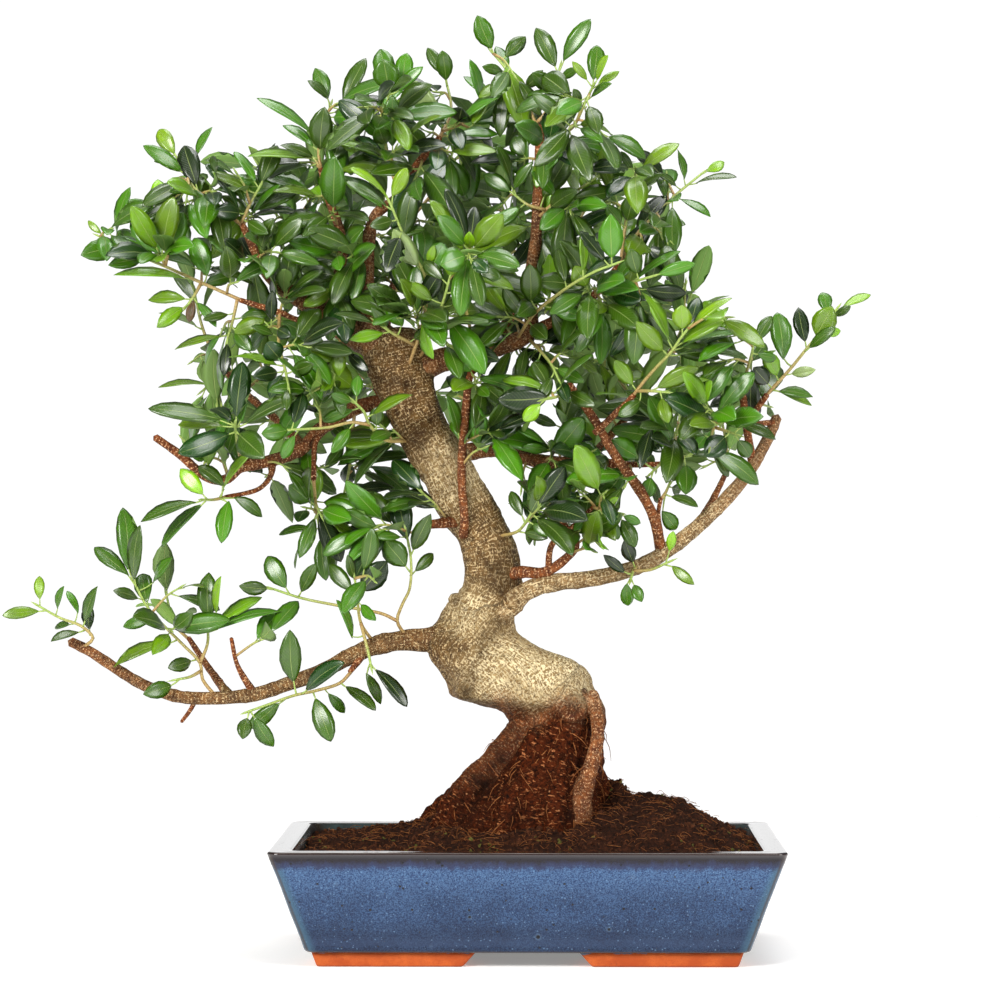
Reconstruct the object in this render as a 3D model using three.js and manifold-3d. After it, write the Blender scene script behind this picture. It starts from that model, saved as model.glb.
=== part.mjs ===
// Chinese banyan bonsai in its pot: a rectangular glazed pot that flares upwards, a mound of soil on two
// drain screens, one S-shaped trunk with its roots, limbs and woody twigs, and leafy green sprays.
// Millimetres, +Z up, -Y the front. The origin is on the standing surface, under the middle of the whole.

import * as THREE from 'three';
import { mergeVertices } from 'three/addons/utils/BufferGeometryUtils.js';
import Module from 'manifold-3d';

const wasm = await Module();
wasm.setup();

// Pot
const RIM_LENGTH = 400;
const RIM_DEPTH = 280;
const POT_HEIGHT = 91.5;
const WALL_TAPER = 28;
const RIM_WIDTH = 18.5;
const FLOOR_THICKNESS = 9;
const CORNER_RADIUS = 9;
const FOOT_HEIGHT = 11.5;
const FOOT_INNER_END = 40;
const FOOT_INSET = 5;
const FOOT_DEPTH = 55;
const FOOT_CHAMFER = 10;
const DRAIN_HOLE_RADIUS = 11;
const DRAIN_HOLE_X = 85;

// Drain screens of woven plastic, one over each hole
const SCREEN_SIZE = 34;
const SCREEN_THICKNESS = 1.2;
const SCREEN_HOLE = 10;
const SCREEN_HOLES_ACROSS = 2;

// Soil, mounded under the trunk: height of its crest along the length of the pot
const SOIL_EDGE_HEIGHT = 83;
const SOIL_CREST_Y = 8;
const SOIL_HALF_DEPTH = 126;
const SOIL_CREST = [
  [-184, 84], [-150, 90], [-103, 97], [-69, 106], [-30, 111], [0, 113], [40, 116],
  [71, 121], [115, 119], [130, 111], [148, 101], [172, 89], [184, 84],
];

// Clearance between pieces that touch, and the growth of a piece that cuts its own socket
const GAP = 0.3;
const SOCKET_GROWTH = 0.4;
const JOIN_TOLERANCE = 0.05;

// Leaves
const BLADE_THICKNESS = 0.7;
const BLADE_ARCH = 0.07;
const LARGE_LEAF_LENGTH = 48;
const LARGE_LEAF_STATIONS = [[0.20, 0.74], [0.48, 1], [0.79, 0.66]];
const SMALL_LEAF_STATIONS = [[0.26, 0.90], [0.68, 0.86]];
const SLENDEREST_BLADE = 0.36;
const STALK_LENGTH = 6;
const GREEN_STEM_RADIUS = 1.8;
const STEM_FOOT = 7;
const TIP_DEPTH = 1.5;
const STEM_TIP = 1.6;
const TIP_STEP = 1.1;

// Sizes across the front are as they show from a standing viewer this far away; depth spreads them
const VIEW_DISTANCE = 2940;
const EYE_X = 17;
const EYE_HEIGHT = 361;

// Trunk sections from the soil up: height, middle (x, y), half width, half depth
const TRUNK_SECTIONS = [
  [78, 0, 4, 46, 40], [111, 1, 2, 55, 47], [134, 3, 1, 52, 45], [150, 9, 1, 46, 41],
  [163, 15, 2, 42, 38], [172, 20, 3, 39, 36], [181, 24, 4, 38, 35], [191, 20, 3, 42, 37], [197, 11, 1, 50, 39],
  [203, -1, -1, 58, 41], [212, -6, -2, 57.5, 42], [221, -10, -3, 59, 42], [231, -19, -3, 57.5, 41],
  [241, -33, -2, 47, 38], [252, -43, -1, 37, 33], [263, -42, 0, 31, 29], [276, -38, 1, 28, 27],
  [293, -30, 2, 23.5, 24], [326, -32, 3, 23, 22], [342, -42, 3, 25, 21.5],
  [358, -52, 2, 25, 21], [375, -60, 1, 24, 21], [391, -70, 0, 25, 21], [407, -79, 0, 24.5, 21.5],
  [423, -88, 1, 22.5, 21], [439, -95, 2, 23, 21], [472, -105, 3, 26.5, 22],
  [489, -108, 2, 26, 20], [499, -112, 2, 18, 15],
];
const TRUNK_SIDES = 10;

// Knobs and knots on the trunk: middle and radii
const TRUNK_KNOBS = [
  [-56, -22, 206, 10, 9, 9], [34, -32, 196, 15, 13, 14], [-68, -14, 268, 10, 9, 10], [-88, -17, 412, 9, 8, 10],
];

// Woody parts as swept rows of x, y, z and radius; every one starts inside what carries it
const ROOTS = [
  [[-2, -22, 182, 11], [-22, -30, 156, 12], [-42, -34, 134, 13], [-58, -37, 114, 13], [-70, -40, 92, 12]],
  [[50, -22, 206, 6], [55, -32, 188, 6], [55, -40, 168, 6], [51, -46, 152, 6.5], [46, -51, 132, 7], [41, -55, 96, 7]],
  [[42, -6, 168, 11], [50, -6, 142, 11], [60, -4, 124, 11], [74, 0, 98, 9]],
  [[8, -30, 172, 11], [0, -44, 146, 11], [-12, -56, 122, 12], [-20, -66, 92, 10]],
  [[24, -30, 170, 10], [24, -46, 142, 10], [21, -60, 118, 10], [22, -72, 90, 8]],
  [[-20, -6, 150, 12], [-44, -6, 130, 11], [-66, -2, 114, 10], [-92, 3, 92, 7]],
  [[10, 30, 168, 11], [2, 46, 142, 11], [-8, 60, 118, 10], [-16, 78, 90, 8]],
  [[28, 26, 170, 10], [38, 42, 142, 10], [48, 54, 120, 9], [62, 72, 92, 7]],
  [[-16, 18, 152, 11], [-38, 34, 130, 10], [-54, 48, 112, 9], [-72, 62, 90, 7]],
];
const LIMBS = [
  [[-48, -6, 252, 12], [-79, -8, 249, 9.6], [-103, -8, 248, 8], [-123, -10, 244, 7.2], [-139, -12, 237, 6.6],
    [-167, -15, 223, 6], [-191, -18, 214, 5.6], [-219, -20, 205, 5.4], [-251, -18, 202, 5], [-279, -13, 203, 4.8],
    [-307, -8, 212, 4.4], [-331, -6, 226, 4.2], [-351, -6, 239, 4], [-367, -7, 247, 3.8]],
  [[-32, -8, 266, 10], [-15, -14, 277, 9.6], [-1, -16, 288, 7.4], [17, -18, 294, 6.8], [57, -16, 299, 6.4],
    [89, -12, 308, 6], [109, -10, 319, 6], [137, -6, 341, 5.6], [165, -4, 369, 5.2], [181, -2, 391, 4.8],
    [193, 0, 413, 4.4], [199, 0, 427, 4]],
  [[107, -9, 317, 5], [101, -16, 345, 4], [89, -22, 369, 4], [69, -26, 397, 3.7], [53, -28, 425, 3.3],
    [33, -32, 453, 2.8]],
  [[-60, 6, 398, 8], [-27, 8, 401, 6], [-7, 8, 396, 5.6], [13, 6, 391, 5.6], [49, 2, 390, 4.8], [72, 4, 390, 3.4]],
  [[-98, 0, 462, 13], [-79, -2, 469, 10.4], [-63, -3, 475, 8.8], [-39, -4, 481, 8], [-19, -5, 485, 7.2],
    [1, -4, 495, 6.2], [2, -2, 512, 5.4], [1, 2, 537, 5], [5, 4, 560, 4.7], [7, 2, 585, 4.4], [9, 0, 641, 3.6],
    [9, 0, 660, 3.2]],
  [[-112, 2, 480, 19], [-123, 3, 489, 16.5], [-147, 4, 501, 12.4], [-171, 6, 517, 9], [-191, 4, 527, 6.6],
    [-209, 0, 541, 4.2], [-220, -4, 562, 3.2], [-229, -6, 581, 2.6]],
  [[-130, 6, 492, 9], [-129, 4, 520, 6], [-128, 2, 565, 5], [-122, 2, 589, 4.4], [-103, 2, 605, 3.8],
    [-89, 0, 629, 3.2], [-71, -4, 651, 2.4]],
  [[-156, 8, 506, 8], [-153, 14, 535, 5.2], [-148, 20, 557, 4.6], [-152, 20, 580, 3.8], [-160, 12, 602, 3],
    [-166, 6, 626, 2.4]],
  [[-92, 10, 438, 8], [-115, 18, 439, 6.4], [-139, 20, 434, 5.8], [-167, 14, 417, 5.4], [-183, 8, 401, 4.9],
    [-207, 0, 392, 4.8], [-231, -8, 387, 4.6], [-243, -10, 377, 4], [-259, -12, 380, 3.6], [-279, -14, 397, 3.2],
    [-299, -16, 411, 2.8]],
];
const WOODY_TWIGS = [
  [[-48, -8, 345, 6], [-71, -12, 342, 4.2], [-87, -14, 339, 3.2], [-92, -15, 327, 2]],
  [[-24, -18, 300, 6], [-5, -22, 303, 4.8], [13, -22, 303, 4.2], [29, -20, 313, 3.6], [38, -20, 325, 3.2],
    [30, -22, 338, 2.8], [23, -24, 357, 2.2]],
  [[16, -21, 305, 3], [19, -25, 325, 2.4], [36, -30, 340, 1.9], [53, -34, 356, 1.6]],
  [[180, -2, 388, 4], [175, -5, 417, 3.2], [173, -7, 434, 3], [171, -8, 450, 2.6]],
  [[174, -5, 420, 3.2], [181, -12, 431, 2.6], [191, -18, 445, 2.3]],
  [[200, 0, 423, 2.6], [173, -14, 422, 1.7], [149, -22, 426, 1.6]],
  [[53, -28, 414, 3], [73, -36, 433, 2.4], [85, -40, 445, 2.1]],
  [[13, 6, 389, 4], [33, 6, 383, 2.8], [57, 4, 377, 2.5]],
  [[66, 4, 390, 2.8], [89, 0, 389, 2.2], [109, -6, 390, 2]],
  [[105, -12, 335, 3], [104, -14, 350, 1.9], [106, -16, 362, 1.7]],
  [[-2, -4, 492, 5], [25, -18, 507, 3.8], [49, -24, 521, 3.3], [73, -22, 549, 2.6]],
  [[8, 1, 636, 3], [17, -8, 643, 2], [30, -14, 655, 1.8]],
  [[-170, 2, 510, 6], [-183, -6, 505, 2.6], [-199, -12, 511, 2.3], [-231, -16, 521, 2.1]],
  [[-52, -14, 332, 4], [-51, -23, 345, 3.6], [-53, -25, 370, 3.4], [-53, -27, 397, 3.4], [-50, -27, 433, 3.2],
    [-46, -24, 462, 2.9], [-30, -18, 480, 2.8]],
  [[-205, 0, 391, 3.4], [-207, -10, 379, 2.2], [-217, -16, 369, 1.9], [-243, -20, 363, 1.7]],
  [[-166, 14, 416, 4], [-171, 2, 405, 2.2], [-172, -4, 377, 2]],
  [[-130, -11, 240, 3.6], [-143, -22, 223, 2]],
  [[-220, -20, 206, 3.6], [-233, -22, 228, 2], [-238, -24, 250, 1.6]],
  [[-274, -13, 204, 3], [-275, -14, 194, 3.2], [-276, -14, 187, 2.4]],
];

// Twigs behind and beside the trunk, which carry the sprays of the back
const BACK_TWIGS = [
  [[-150, 8, 504, 6], [-165, 50, 530, 4], [-180, 90, 560, 3], [-186, 116, 590, 2]],
  [[-120, 8, 488, 8], [-112, 50, 520, 4.6], [-100, 100, 552, 3.4], [-92, 132, 590, 2.2]],
  [[-30, 0, 484, 6], [-14, 44, 506, 4.4], [10, 92, 536, 3.4], [30, 128, 572, 2.2]],
  [[46, 3, 390, 4], [62, 46, 408, 3.2], [86, 84, 436, 2.6], [106, 108, 470, 1.9]],
  [[-180, 8, 403, 4.6], [-196, 50, 420, 3.4], [-226, 84, 446, 2.6], [-252, 100, 474, 1.9]],
  [[-74, 10, 400, 6], [-82, 60, 410, 4], [-106, 106, 428, 3], [-124, 140, 452, 2]],
  [[-240, -16, 204, 4], [-256, 24, 226, 2.8], [-272, 56, 250, 2]],
  [[135, -5, 339, 4.4], [146, 30, 358, 2.8], [160, 58, 386, 2]],
];

// Sprays: name, how far back the tips reach, green stems as rows of x, y, z, then leaves as the x and z
// of the blade's base and tip, the width that shows from the front, and how far the tip lies behind its base
const SPRAYS = [
  ['far_left', -22, [[[-358, -7, 242], [-349, -9, 250], [-359, -6, 260], [-375, -3, 266], [-393, 0, 276]]], [
    [-387, 271, -422, 268, 10, -6], [-354, 262, -345, 292, 10, -10], [-350, 254, -353, 276, 11, 16],
    [-355, 257, -383, 247, 7, -14],
  ]],
  ['left_tall', 42, [[[-250, -18, 203], [-261, -20, 217], [-263, -22, 230], [-277, -24, 245], [-292, -26, 260],
    [-306, -24, 276], [-315, -22, 293]], [[-263, -22, 230], [-257, -26, 246], [-257, -28, 262]],
    [[-262, -21, 224], [-271, -28, 219], [-281, -30, 217]]], [
    [-321, 305, -325, 355, 18, 8], [-316, 297, -311, 341, 14, -12], [-320, 300, -349, 323, 12, 6],
    [-303, 276, -309, 302, 16, 18], [-297, 268, -325, 259, 10, -10], [-280, 250, -333, 226, 9, -4],
    [-256, 265, -256, 303, 17, 4], [-250, 270, -246, 300, 8, -10], [-261, 256, -213, 283, 10, 6],
    [-252, 255, -198, 271, 8, -10], [-266, 233, -289, 226, 12, -16], [-290, 255, -262, 262, 13, 14],
    [-286, 212, -309, 205, 14, -12],
  ]],
  ['left_inner', -45, [[[-142, -22, 223], [-151, -26, 214], [-170, -30, 208], [-188, -32, 204], [-208, -34, 197],
    [-225, -34, 191]]], [
    [-230, 191, -229, 169, 12, -8], [-224, 189, -204, 163, 13, 6], [-188, 215, -191, 257, 18, -6],
    [-183, 211, -147, 231, 14, -16], [-195, 203, -224, 178, 13, 4], [-172, 205, -158, 167, 17, -8],
    [-150, 214, -122, 192, 10, -10],
  ]],
  ['left_neck', -30, [[[-124, -8, 247], [-134, -14, 262], [-137, -16, 281], [-139, -20, 298]],
    [[-134, -14, 262], [-131, -26, 250], [-128, -29, 238], [-126, -30, 228]]], [
    [-127, 226, -97, 195, 11, -6], [-130, 222, -118, 197, 9, 8], [-140, 283, -160, 309, 13, 10],
    [-135, 284, -113, 312, 20, -4],
  ]],
  ['neck_tall', 16, [[[-98, -10, 252], [-105, -18, 264], [-101, -22, 277], [-95, -24, 290], [-94, -28, 313],
    [-98, -30, 336]], [[-105, -18, 264], [-118, -19, 270], [-151, -20, 276], [-181, -20, 282], [-206, -22, 290]]], [
    [-190, 289, -209, 316, 17, 6], [-205, 290, -232, 292, 12, -8], [-184, 284, -170, 310, 12, -14],
    [-95, 303, -115, 329, 20, -4], [-97, 323, -105, 368, 19, 6], [-93, 316, -78, 350, 14, -10],
    [-94, 300, -76, 318, 10, 10],
  ]],
  ['mid_rosette', -38, [[[-229, -9, 386], [-233, -24, 405], [-235, -32, 421]]], [
    [-246, 425, -305, 434, 16, -8], [-240, 415, -281, 398, 19, -18], [-234, 427, -229, 472, 19, 4],
    [-230, 424, -221, 465, 13, 22], [-235, 416, -211, 394, 22, -24], [-245, 420, -281, 421, 11, 12],
    [-226, 422, -185, 443, 13, -8],
  ]],
  ['mid_rear', 55, [[[-240, -8, 378], [-246, 8, 400], [-245, 14, 430], [-250, 16, 455]]], [
    [-243, 443, -256, 461, 13, 10], [-250, 454, -297, 451, 6, 8], [-240, 405, -218, 396, 12, 16],
    [-246, 425, -226, 440, 11, 18], [-243, 400, -262, 408, 12, 20],
  ]],
  ['mid_low', -32, [[[-243, -20, 363], [-252, -22, 361], [-261, -24, 361]]], [
    [-261, 361, -311, 343, 10, -6], [-258, 359, -294, 323, 11, 6], [-240, 360, -246, 326, 14, -10],
    [-236, 363, -213, 347, 10, 10], [-257, 364, -279, 386, 14, 6], [-245, 368, -221, 399, 8, -12],
    [-244, 372, -263, 388, 12, 16],
  ]],
  ['mid_hanging', 28, [[[-172, -4, 378], [-170, -6, 356], [-167, -8, 336]]], [
    [-174, 356, -192, 373, 18, -8], [-176, 380, -178, 404, 16, 12], [-170, 352, -136, 341, 10, -12],
    [-166, 330, -162, 296, 14, -6], [-165, 329, -157, 302, 12, 16],
  ]],
  ['mid_inner', 48, [[[-139, 18, 432], [-141, 6, 410], [-143, -2, 388], [-148, -8, 364]]], [
    [-148, 405, -163, 386, 10, -6], [-149, 396, -146, 374, 13, 14], [-134, 400, -130, 424, 12, -6],
    [-138, 388, -95, 396, 11, -12], [-145, 361, -107, 370, 10, -14], [-149, 360, -160, 336, 14, -6],
    [-140, 376, -120, 362, 11, 10], [-138, 406, -158, 420, 11, 8],
  ]],
  ['crook', -46, [[[-94, -8, 408], [-115, -24, 409], [-127, -28, 421], [-132, -34, 432], [-139, -36, 439]],
    [[-127, -28, 421], [-142, -30, 423], [-160, -32, 419], [-192, -34, 417]]], [
    [-188, 417, -214, 414, 14, -14], [-190, 420, -181, 447, 14, 10], [-184, 414, -197, 394, 10, 8],
    [-140, 420, -158, 398, 11, -8], [-143, 437, -136, 461, 10, 8], [-130, 427, -92, 445, 9, -10],
    [-124, 414, -121, 436, 12, -12], [-138, 432, -165, 424, 10, 6],
  ]],
  ['left_drape', -54, [[[-199, -12, 511], [-200, -16, 488], [-195, -20, 466], [-192, -22, 452]],
    [[-200, -14, 499], [-206, -20, 500], [-211, -24, 497]]], [
    [-206, 504, -205, 529, 10, -12], [-211, 505, -236, 495, 14, -8], [-197, 470, -210, 487, 18, -12],
    [-201, 463, -221, 459, 13, -16], [-196, 466, -207, 442, 12, 6], [-201, 467, -241, 475, 6, -6],
    [-194, 462, -172, 470, 13, -10],
  ]],
  ['shoulder', -34, [[[-149, 2, 496], [-152, -14, 482], [-155, -18, 464], [-157, -18, 454]]], [
    [-157, 479, -187, 459, 16, -12], [-156, 484, -152, 459, 12, -18], [-144, 478, -128, 464, 10, -8],
    [-158, 452, -148, 428, 11, -8],
  ]],
  ['left_arch', 34, [[[-228, -16, 520], [-262, -20, 535], [-291, -22, 548], [-312, -24, 557], [-330, -26, 567],
    [-343, -28, 572]], [[-291, -22, 548], [-288, -18, 566], [-291, -14, 590]],
    [[-262, -20, 535], [-268, -24, 524], [-274, -26, 516]], [[-233, -17, 522], [-237, -20, 504], [-241, -22, 490]]], [
    [-239, 490, -244, 460, 10, -8], [-236, 500, -222, 480, 13, -10], [-243, 491, -284, 481, 7, -4],
    [-232, 505, -209, 509, 12, 8], [-325, 563, -359, 557, 18, -10], [-305, 555, -337, 549, 13, -16],
    [-331, 569, -319, 612, 10, 4], [-343, 573, -353, 585, 6, 4], [-308, 564, -329, 577, 13, 12],
    [-295, 588, -321, 601, 10, -6], [-292, 593, -297, 618, 14, 10], [-279, 556, -277, 592, 18, -10],
    [-286, 578, -264, 590, 12, 8], [-257, 541, -268, 571, 18, 6], [-272, 533, -333, 541, 9, -6],
    [-272, 524, -305, 521, 11, 10], [-273, 518, -298, 499, 13, -12], [-262, 532, -238, 540, 12, 14],
  ]],
  ['upper_left_crest', 48, [[[-227, -6, 579], [-250, -10, 597], [-268, -14, 611], [-276, -16, 626], [-284, -18, 639]],
    [[-230, -6, 582], [-223, -12, 598], [-215, -14, 612]]], [
    [-279, 635, -296, 658, 14, 8], [-273, 621, -309, 645, 13, -10], [-262, 612, -276, 645, 19, 14],
    [-216, 605, -256, 623, 10, -12], [-211, 613, -201, 645, 16, 6], [-219, 613, -203, 648, 10, 18],
    [-226, 590, -252, 592, 16, -14], [-225, 596, -240, 622, 10, 8], [-215, 612, -236, 640, 9, 6],
    [-229, 586, -208, 574, 12, -16],
  ]],
  ['crown_left', 44, [[[-166, 6, 625], [-168, 2, 640], [-164, -2, 660], [-158, -4, 678]]], [
    [-172, 653, -218, 683, 9, -4], [-170, 641, -197, 661, 9, 10], [-166, 632, -199, 645, 9, -8],
    [-160, 637, -163, 676, 20, -12], [-150, 683, -171, 707, 14, 6], [-148, 678, -130, 715, 14, 6],
    [-166, 640, -150, 655, 11, -18],
  ]],
  ['crown_middle', -26, [[[-103, 2, 604], [-112, 4, 634], [-115, 4, 662], [-111, 4, 690]]], [
    [-114, 684, -116, 714, 22, -8], [-111, 692, -119, 722, 18, 12], [-101, 695, -97, 719, 15, 4],
    [-104, 688, -84, 708, 10, -6], [-122, 656, -152, 681, 18, 4], [-117, 649, -134, 668, 12, -12],
    [-110, 643, -121, 663, 15, -20], [-115, 633, -156, 647, 8, -8], [-109, 630, -139, 651, 14, 12],
  ]],
  ['crown_right', 56, [[[-72, -4, 649], [-62, -6, 672], [-66, -6, 698]], [[-69, -5, 656], [-54, -2, 662], [-36, 0, 674]]], [
    [-69, 699, -81, 723, 11, 6], [-62, 692, -69, 721, 14, -10], [-72, 661, -93, 697, 16, -10],
    [-84, 642, -99, 660, 16, -16], [-70, 652, -69, 672, 13, 14], [-53, 650, -53, 675, 20, -14],
    [-60, 654, -23, 683, 7, -10], [-30, 681, -52, 700, 9, 6], [-33, 676, -47, 714, 9, -4],
    [-40, 670, -16, 660, 13, 8],
  ]],
  ['front_arch', -22, [[[-95, -18, 470], [-84, -34, 505], [-82, -46, 537], [-99, -54, 571], [-110, -58, 597]],
    [[-91, -25, 485], [-108, -34, 494], [-121, -38, 503]]], [
    [-109, 604, -97, 627, 12, -4], [-113, 603, -143, 627, 7, -6], [-108, 593, -147, 616, 9, 8],
    [-106, 585, -127, 580, 12, -16], [-106, 574, -114, 542, 20, -10], [-84, 545, -109, 579, 17, -20],
    [-79, 540, -68, 567, 17, 14], [-86, 520, -104, 536, 12, -10], [-113, 492, -144, 489, 10, -8],
    [-122, 506, -156, 510, 7, 2], [-101, 500, -113, 525, 14, -12],
  ]],
  ['front_fork', -24, [[[-87, -6, 474], [-75, -40, 500], [-68, -50, 520], [-63, -54, 538]]], [
    [-77, 521, -97, 536, 11, -6], [-70, 535, -84, 552, 11, 8], [-62, 540, -58, 562, 13, -12],
    [-64, 526, -19, 531, 8, -8], [-66, 514, -24, 524, 8, 10], [-69, 500, -30, 503, 9, -14],
  ]],
  ['front_light', -26, [[[-42, -12, 482], [-50, -44, 515], [-51, -56, 545], [-47, -60, 562]]], [
    [-54, 556, -79, 601, 14, -6], [-50, 567, -66, 609, 13, 12], [-43, 563, -20, 590, 20, -8],
    [-44, 566, -7, 595, 11, 10], [-46, 550, -22, 538, 14, -6], [-54, 538, -42, 520, 12, -16],
  ]],
  ['crown_tip', 22, [[[9, 0, 654], [3, 2, 669], [-1, 3, 680], [-10, 4, 695], [-21, 2, 710], [-28, 0, 718]],
    [[6, 1, 662], [14, -3, 671], [19, -5, 682], [22, -6, 694], [25, -6, 706]]], [
    [-29, 719, -41, 749, 16, -4], [-20, 714, -2, 732, 13, 6], [-5, 688, 12, 705, 10, -12],
    [-16, 700, -26, 724, 10, 14], [-5, 684, -27, 681, 12, 14], [22, 703, 6, 739, 16, 6],
    [28, 712, 50, 746, 14, -4], [18, 688, 3, 703, 14, -14],
  ]],
  ['crown_side', -44, [[[29, -14, 654], [37, -18, 661], [46, -20, 680], [52, -20, 692]]], [
    [52, 694, 55, 725, 15, 4], [48, 680, 67, 694, 7, -14], [38, 660, 61, 662, 9, -12],
    [40, 662, 28, 676, 10, 12],
  ]],
  ['heart_upper', 36, [[[8, 0, 587], [20, -16, 598], [38, -24, 608], [56, -26, 620]],
    [[14, -9, 593], [0, -13, 597], [-12, -14, 606]]], [
    [12, 603, 35, 641, 19, -8], [51, 611, 47, 641, 20, -10], [18, 590, 40, 609, 16, -24],
    [24, 604, 2, 622, 10, -10], [-10, 608, -25, 645, 9, -4], [-13, 603, -36, 622, 13, 8],
    [-5, 594, -28, 580, 12, -12], [-12, 609, 4, 632, 9, -8],
  ]],
  ['heart_middle', -34, [[[-10, -6, 488], [5, -28, 510], [30, -40, 530], [52, -46, 543], [70, -48, 550]]], [
    [43, 540, 43, 574, 9, -4], [14, 521, 17, 558, 14, 12], [2, 520, 1, 550, 18, -14],
    [64, 551, 41, 575, 12, 12], [40, 533, 75, 555, 11, -8], [28, 535, 24, 562, 12, 14],
    [-4, 508, -20, 531, 13, -10], [14, 515, 47, 507, 13, -8], [-2, 505, 15, 489, 14, -18],
    [24, 526, 49, 512, 16, 8], [66, 554, 66, 590, 20, -10],
  ]],
  ['heart_hanging', -32, [[[0, -4, 490], [8, -22, 482], [18, -26, 470], [24, -26, 458]]], [
    [-2, 482, -8, 456, 11, -10], [10, 479, 1, 454, 10, 8], [22, 470, 45, 455, 11, -10],
    [24, 461, 32, 438, 11, 6], [20, 463, 8, 440, 10, -10],
  ]],
  ['heart_low', -20, [[[32, -32, 452], [24, -52, 444], [12, -60, 441]]], [
    [22, 443, -25, 441, 22, -6], [12, 438, -4, 424, 12, 10], [32, 446, 54, 436, 12, -16],
  ]],
  ['right_top', 46, [[[72, -22, 547], [80, -20, 562], [89, -18, 576], [103, -18, 590], [117, -20, 604], [129, -20, 614],
    [139, -20, 622]], [[74, -22, 551], [77, -30, 575], [81, -32, 600], [87, -32, 622]]], [
    [91, 626, 121, 646, 12, 6], [78, 607, 108, 622, 7, -10], [75, 580, 84, 606, 16, -14],
    [78, 578, 62, 597, 12, -10],
  ]],
  ['right_shelf', -34, [[[52, -24, 525], [70, -38, 532], [86, -44, 536], [100, -46, 540]]], [
    [81, 541, 122, 560, 8, 4], [101, 541, 134, 550, 11, -4], [74, 537, 99, 522, 10, 14],
    [62, 528, 91, 520, 18, -14], [60, 523, 86, 503, 19, 4], [88, 538, 82, 562, 14, -10],
  ]],
  ['right_light', -32, [[[83, -39, 443], [97, -43, 461], [115, -45, 480], [121, -46, 489], [128, -46, 498]],
    [[87, -40, 448], [98, -50, 448], [110, -52, 447]]], [
    [112, 484, 90, 528, 9, -4], [122, 493, 123, 517, 16, -8], [129, 501, 136, 523, 13, 10],
    [120, 482, 160, 506, 12, -10], [131, 501, 163, 522, 8, 4], [118, 479, 169, 495, 5, 6],
    [114, 475, 176, 474, 7, 8], [110, 478, 86, 504, 16, -12], [84, 447, 69, 473, 13, -6],
    [98, 450, 137, 467, 14, -6], [110, 450, 146, 457, 8, 12], [108, 444, 112, 422, 12, -8],
    [90, 440, 72, 428, 12, -10],
  ]],
  ['right_heart', 42, [[[107, -6, 390], [115, -12, 400], [119, -16, 416], [122, -18, 434]],
    [[113, -10, 397], [121, -14, 395], [130, -18, 397]], [[112, -10, 396], [105, -15, 389], [98, -16, 382]]], [
    [124, 436, 146, 457, 13, -4], [123, 412, 143, 433, 21, -10], [118, 424, 78, 434, 7, -8],
    [113, 412, 66, 417, 19, -14], [125, 436, 160, 466, 10, 10], [125, 393, 159, 396, 7, -6],
    [126, 389, 126, 365, 18, -8], [88, 395, 66, 409, 19, -10], [130, 399, 148, 420, 14, 4],
    [98, 384, 94, 362, 13, -8],
  ]],
  ['right_tip', 34, [[[189, -17, 443], [197, -20, 452], [209, -24, 465], [222, -28, 481], [231, -30, 492],
    [240, -32, 505], [247, -32, 514]]], [
    [226, 489, 243, 516, 20, -8], [250, 515, 274, 525, 7, 4], [222, 478, 246, 499, 10, -12],
    [220, 484, 216, 515, 13, 8], [193, 452, 180, 467, 15, -10], [197, 459, 189, 481, 14, -14],
    [204, 473, 199, 511, 18, 4], [195, 446, 228, 443, 9, -6], [190, 438, 227, 436, 7, 4],
  ]],
  ['right_post', -44, [[[171, -8, 449], [174, -10, 461], [178, -12, 475], [180, -12, 484]]], [
    [182, 488, 195, 508, 11, 4], [178, 484, 168, 502, 12, -6], [173, 450, 145, 456, 11, 10],
    [169, 445, 145, 435, 10, -14], [178, 468, 190, 486, 12, 14],
  ]],
  ['right_drop', -24, [[[151, -22, 425], [147, -26, 414], [145, -28, 402]], [[149, -24, 419], [158, -26, 416], [167, -24, 413]]], [
    [161, 414, 141, 396, 19, -10], [167, 412, 177, 395, 13, 6], [171, 421, 198, 409, 10, -8],
    [148, 399, 186, 373, 16, -6], [146, 410, 128, 420, 12, 8],
  ]],
  ['trunk_edge', -22, [[[-22, -14, 332], [-8, -24, 336], [0, -28, 346]]], [
    [0, 351, 15, 378, 19, -4], [1, 347, 19, 332, 11, -6], [-7, 332, 16, 330, 9, -10],
    [-4, 344, -14, 368, 10, 8],
  ]],
  ['centre_right', 34, [[[18, 2, 394], [22, -10, 407], [29, -16, 420]]], [
    [17, 415, 52, 409, 8, -8], [28, 422, 1, 429, 9, -6], [33, 412, 62, 384, 14, -4],
    [20, 397, -5, 403, 10, -12], [31, 424, 47, 442, 10, 10],
  ]],
  ['centre_under', 24, [[[34, 5, 384], [40, -6, 376], [46, -10, 366]]], [
    [45, 374, 56, 388, 11, -10], [46, 365, 15, 359, 10, -6], [48, 368, 66, 358, 11, 8],
    [42, 372, 30, 350, 11, 10],
  ]],
  ['centre_low', -18, [[[52, -34, 355], [62, -36, 352], [74, -36, 350]]], [
    [58, 348, 72, 329, 11, 6], [72, 346, 86, 323, 13, -6], [72, 353, 90, 342, 8, 6],
    [50, 349, 70, 328, 11, -14],
  ]],
  ['limb_shoots', -16, [[[88, -13, 309], [84, -24, 304], [82, -28, 297]], [[84, -24, 304], [98, -27, 305], [112, -26, 311]]], [
    [82, 309, 77, 330, 12, -8], [77, 303, 60, 317, 9, -6], [79, 294, 80, 276, 11, 8],
    [115, 308, 133, 293, 9, -6],
  ]],
  ['limb_twig_leaves', 24, [[[106, -16, 361], [110, -20, 367], [113, -22, 374]]], [
    [106, 356, 136, 355, 8, -8], [112, 372, 122, 368, 11, 12], [107, 352, 119, 337, 13, -6],
    [112, 375, 125, 388, 9, 8],
  ]],
];

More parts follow.
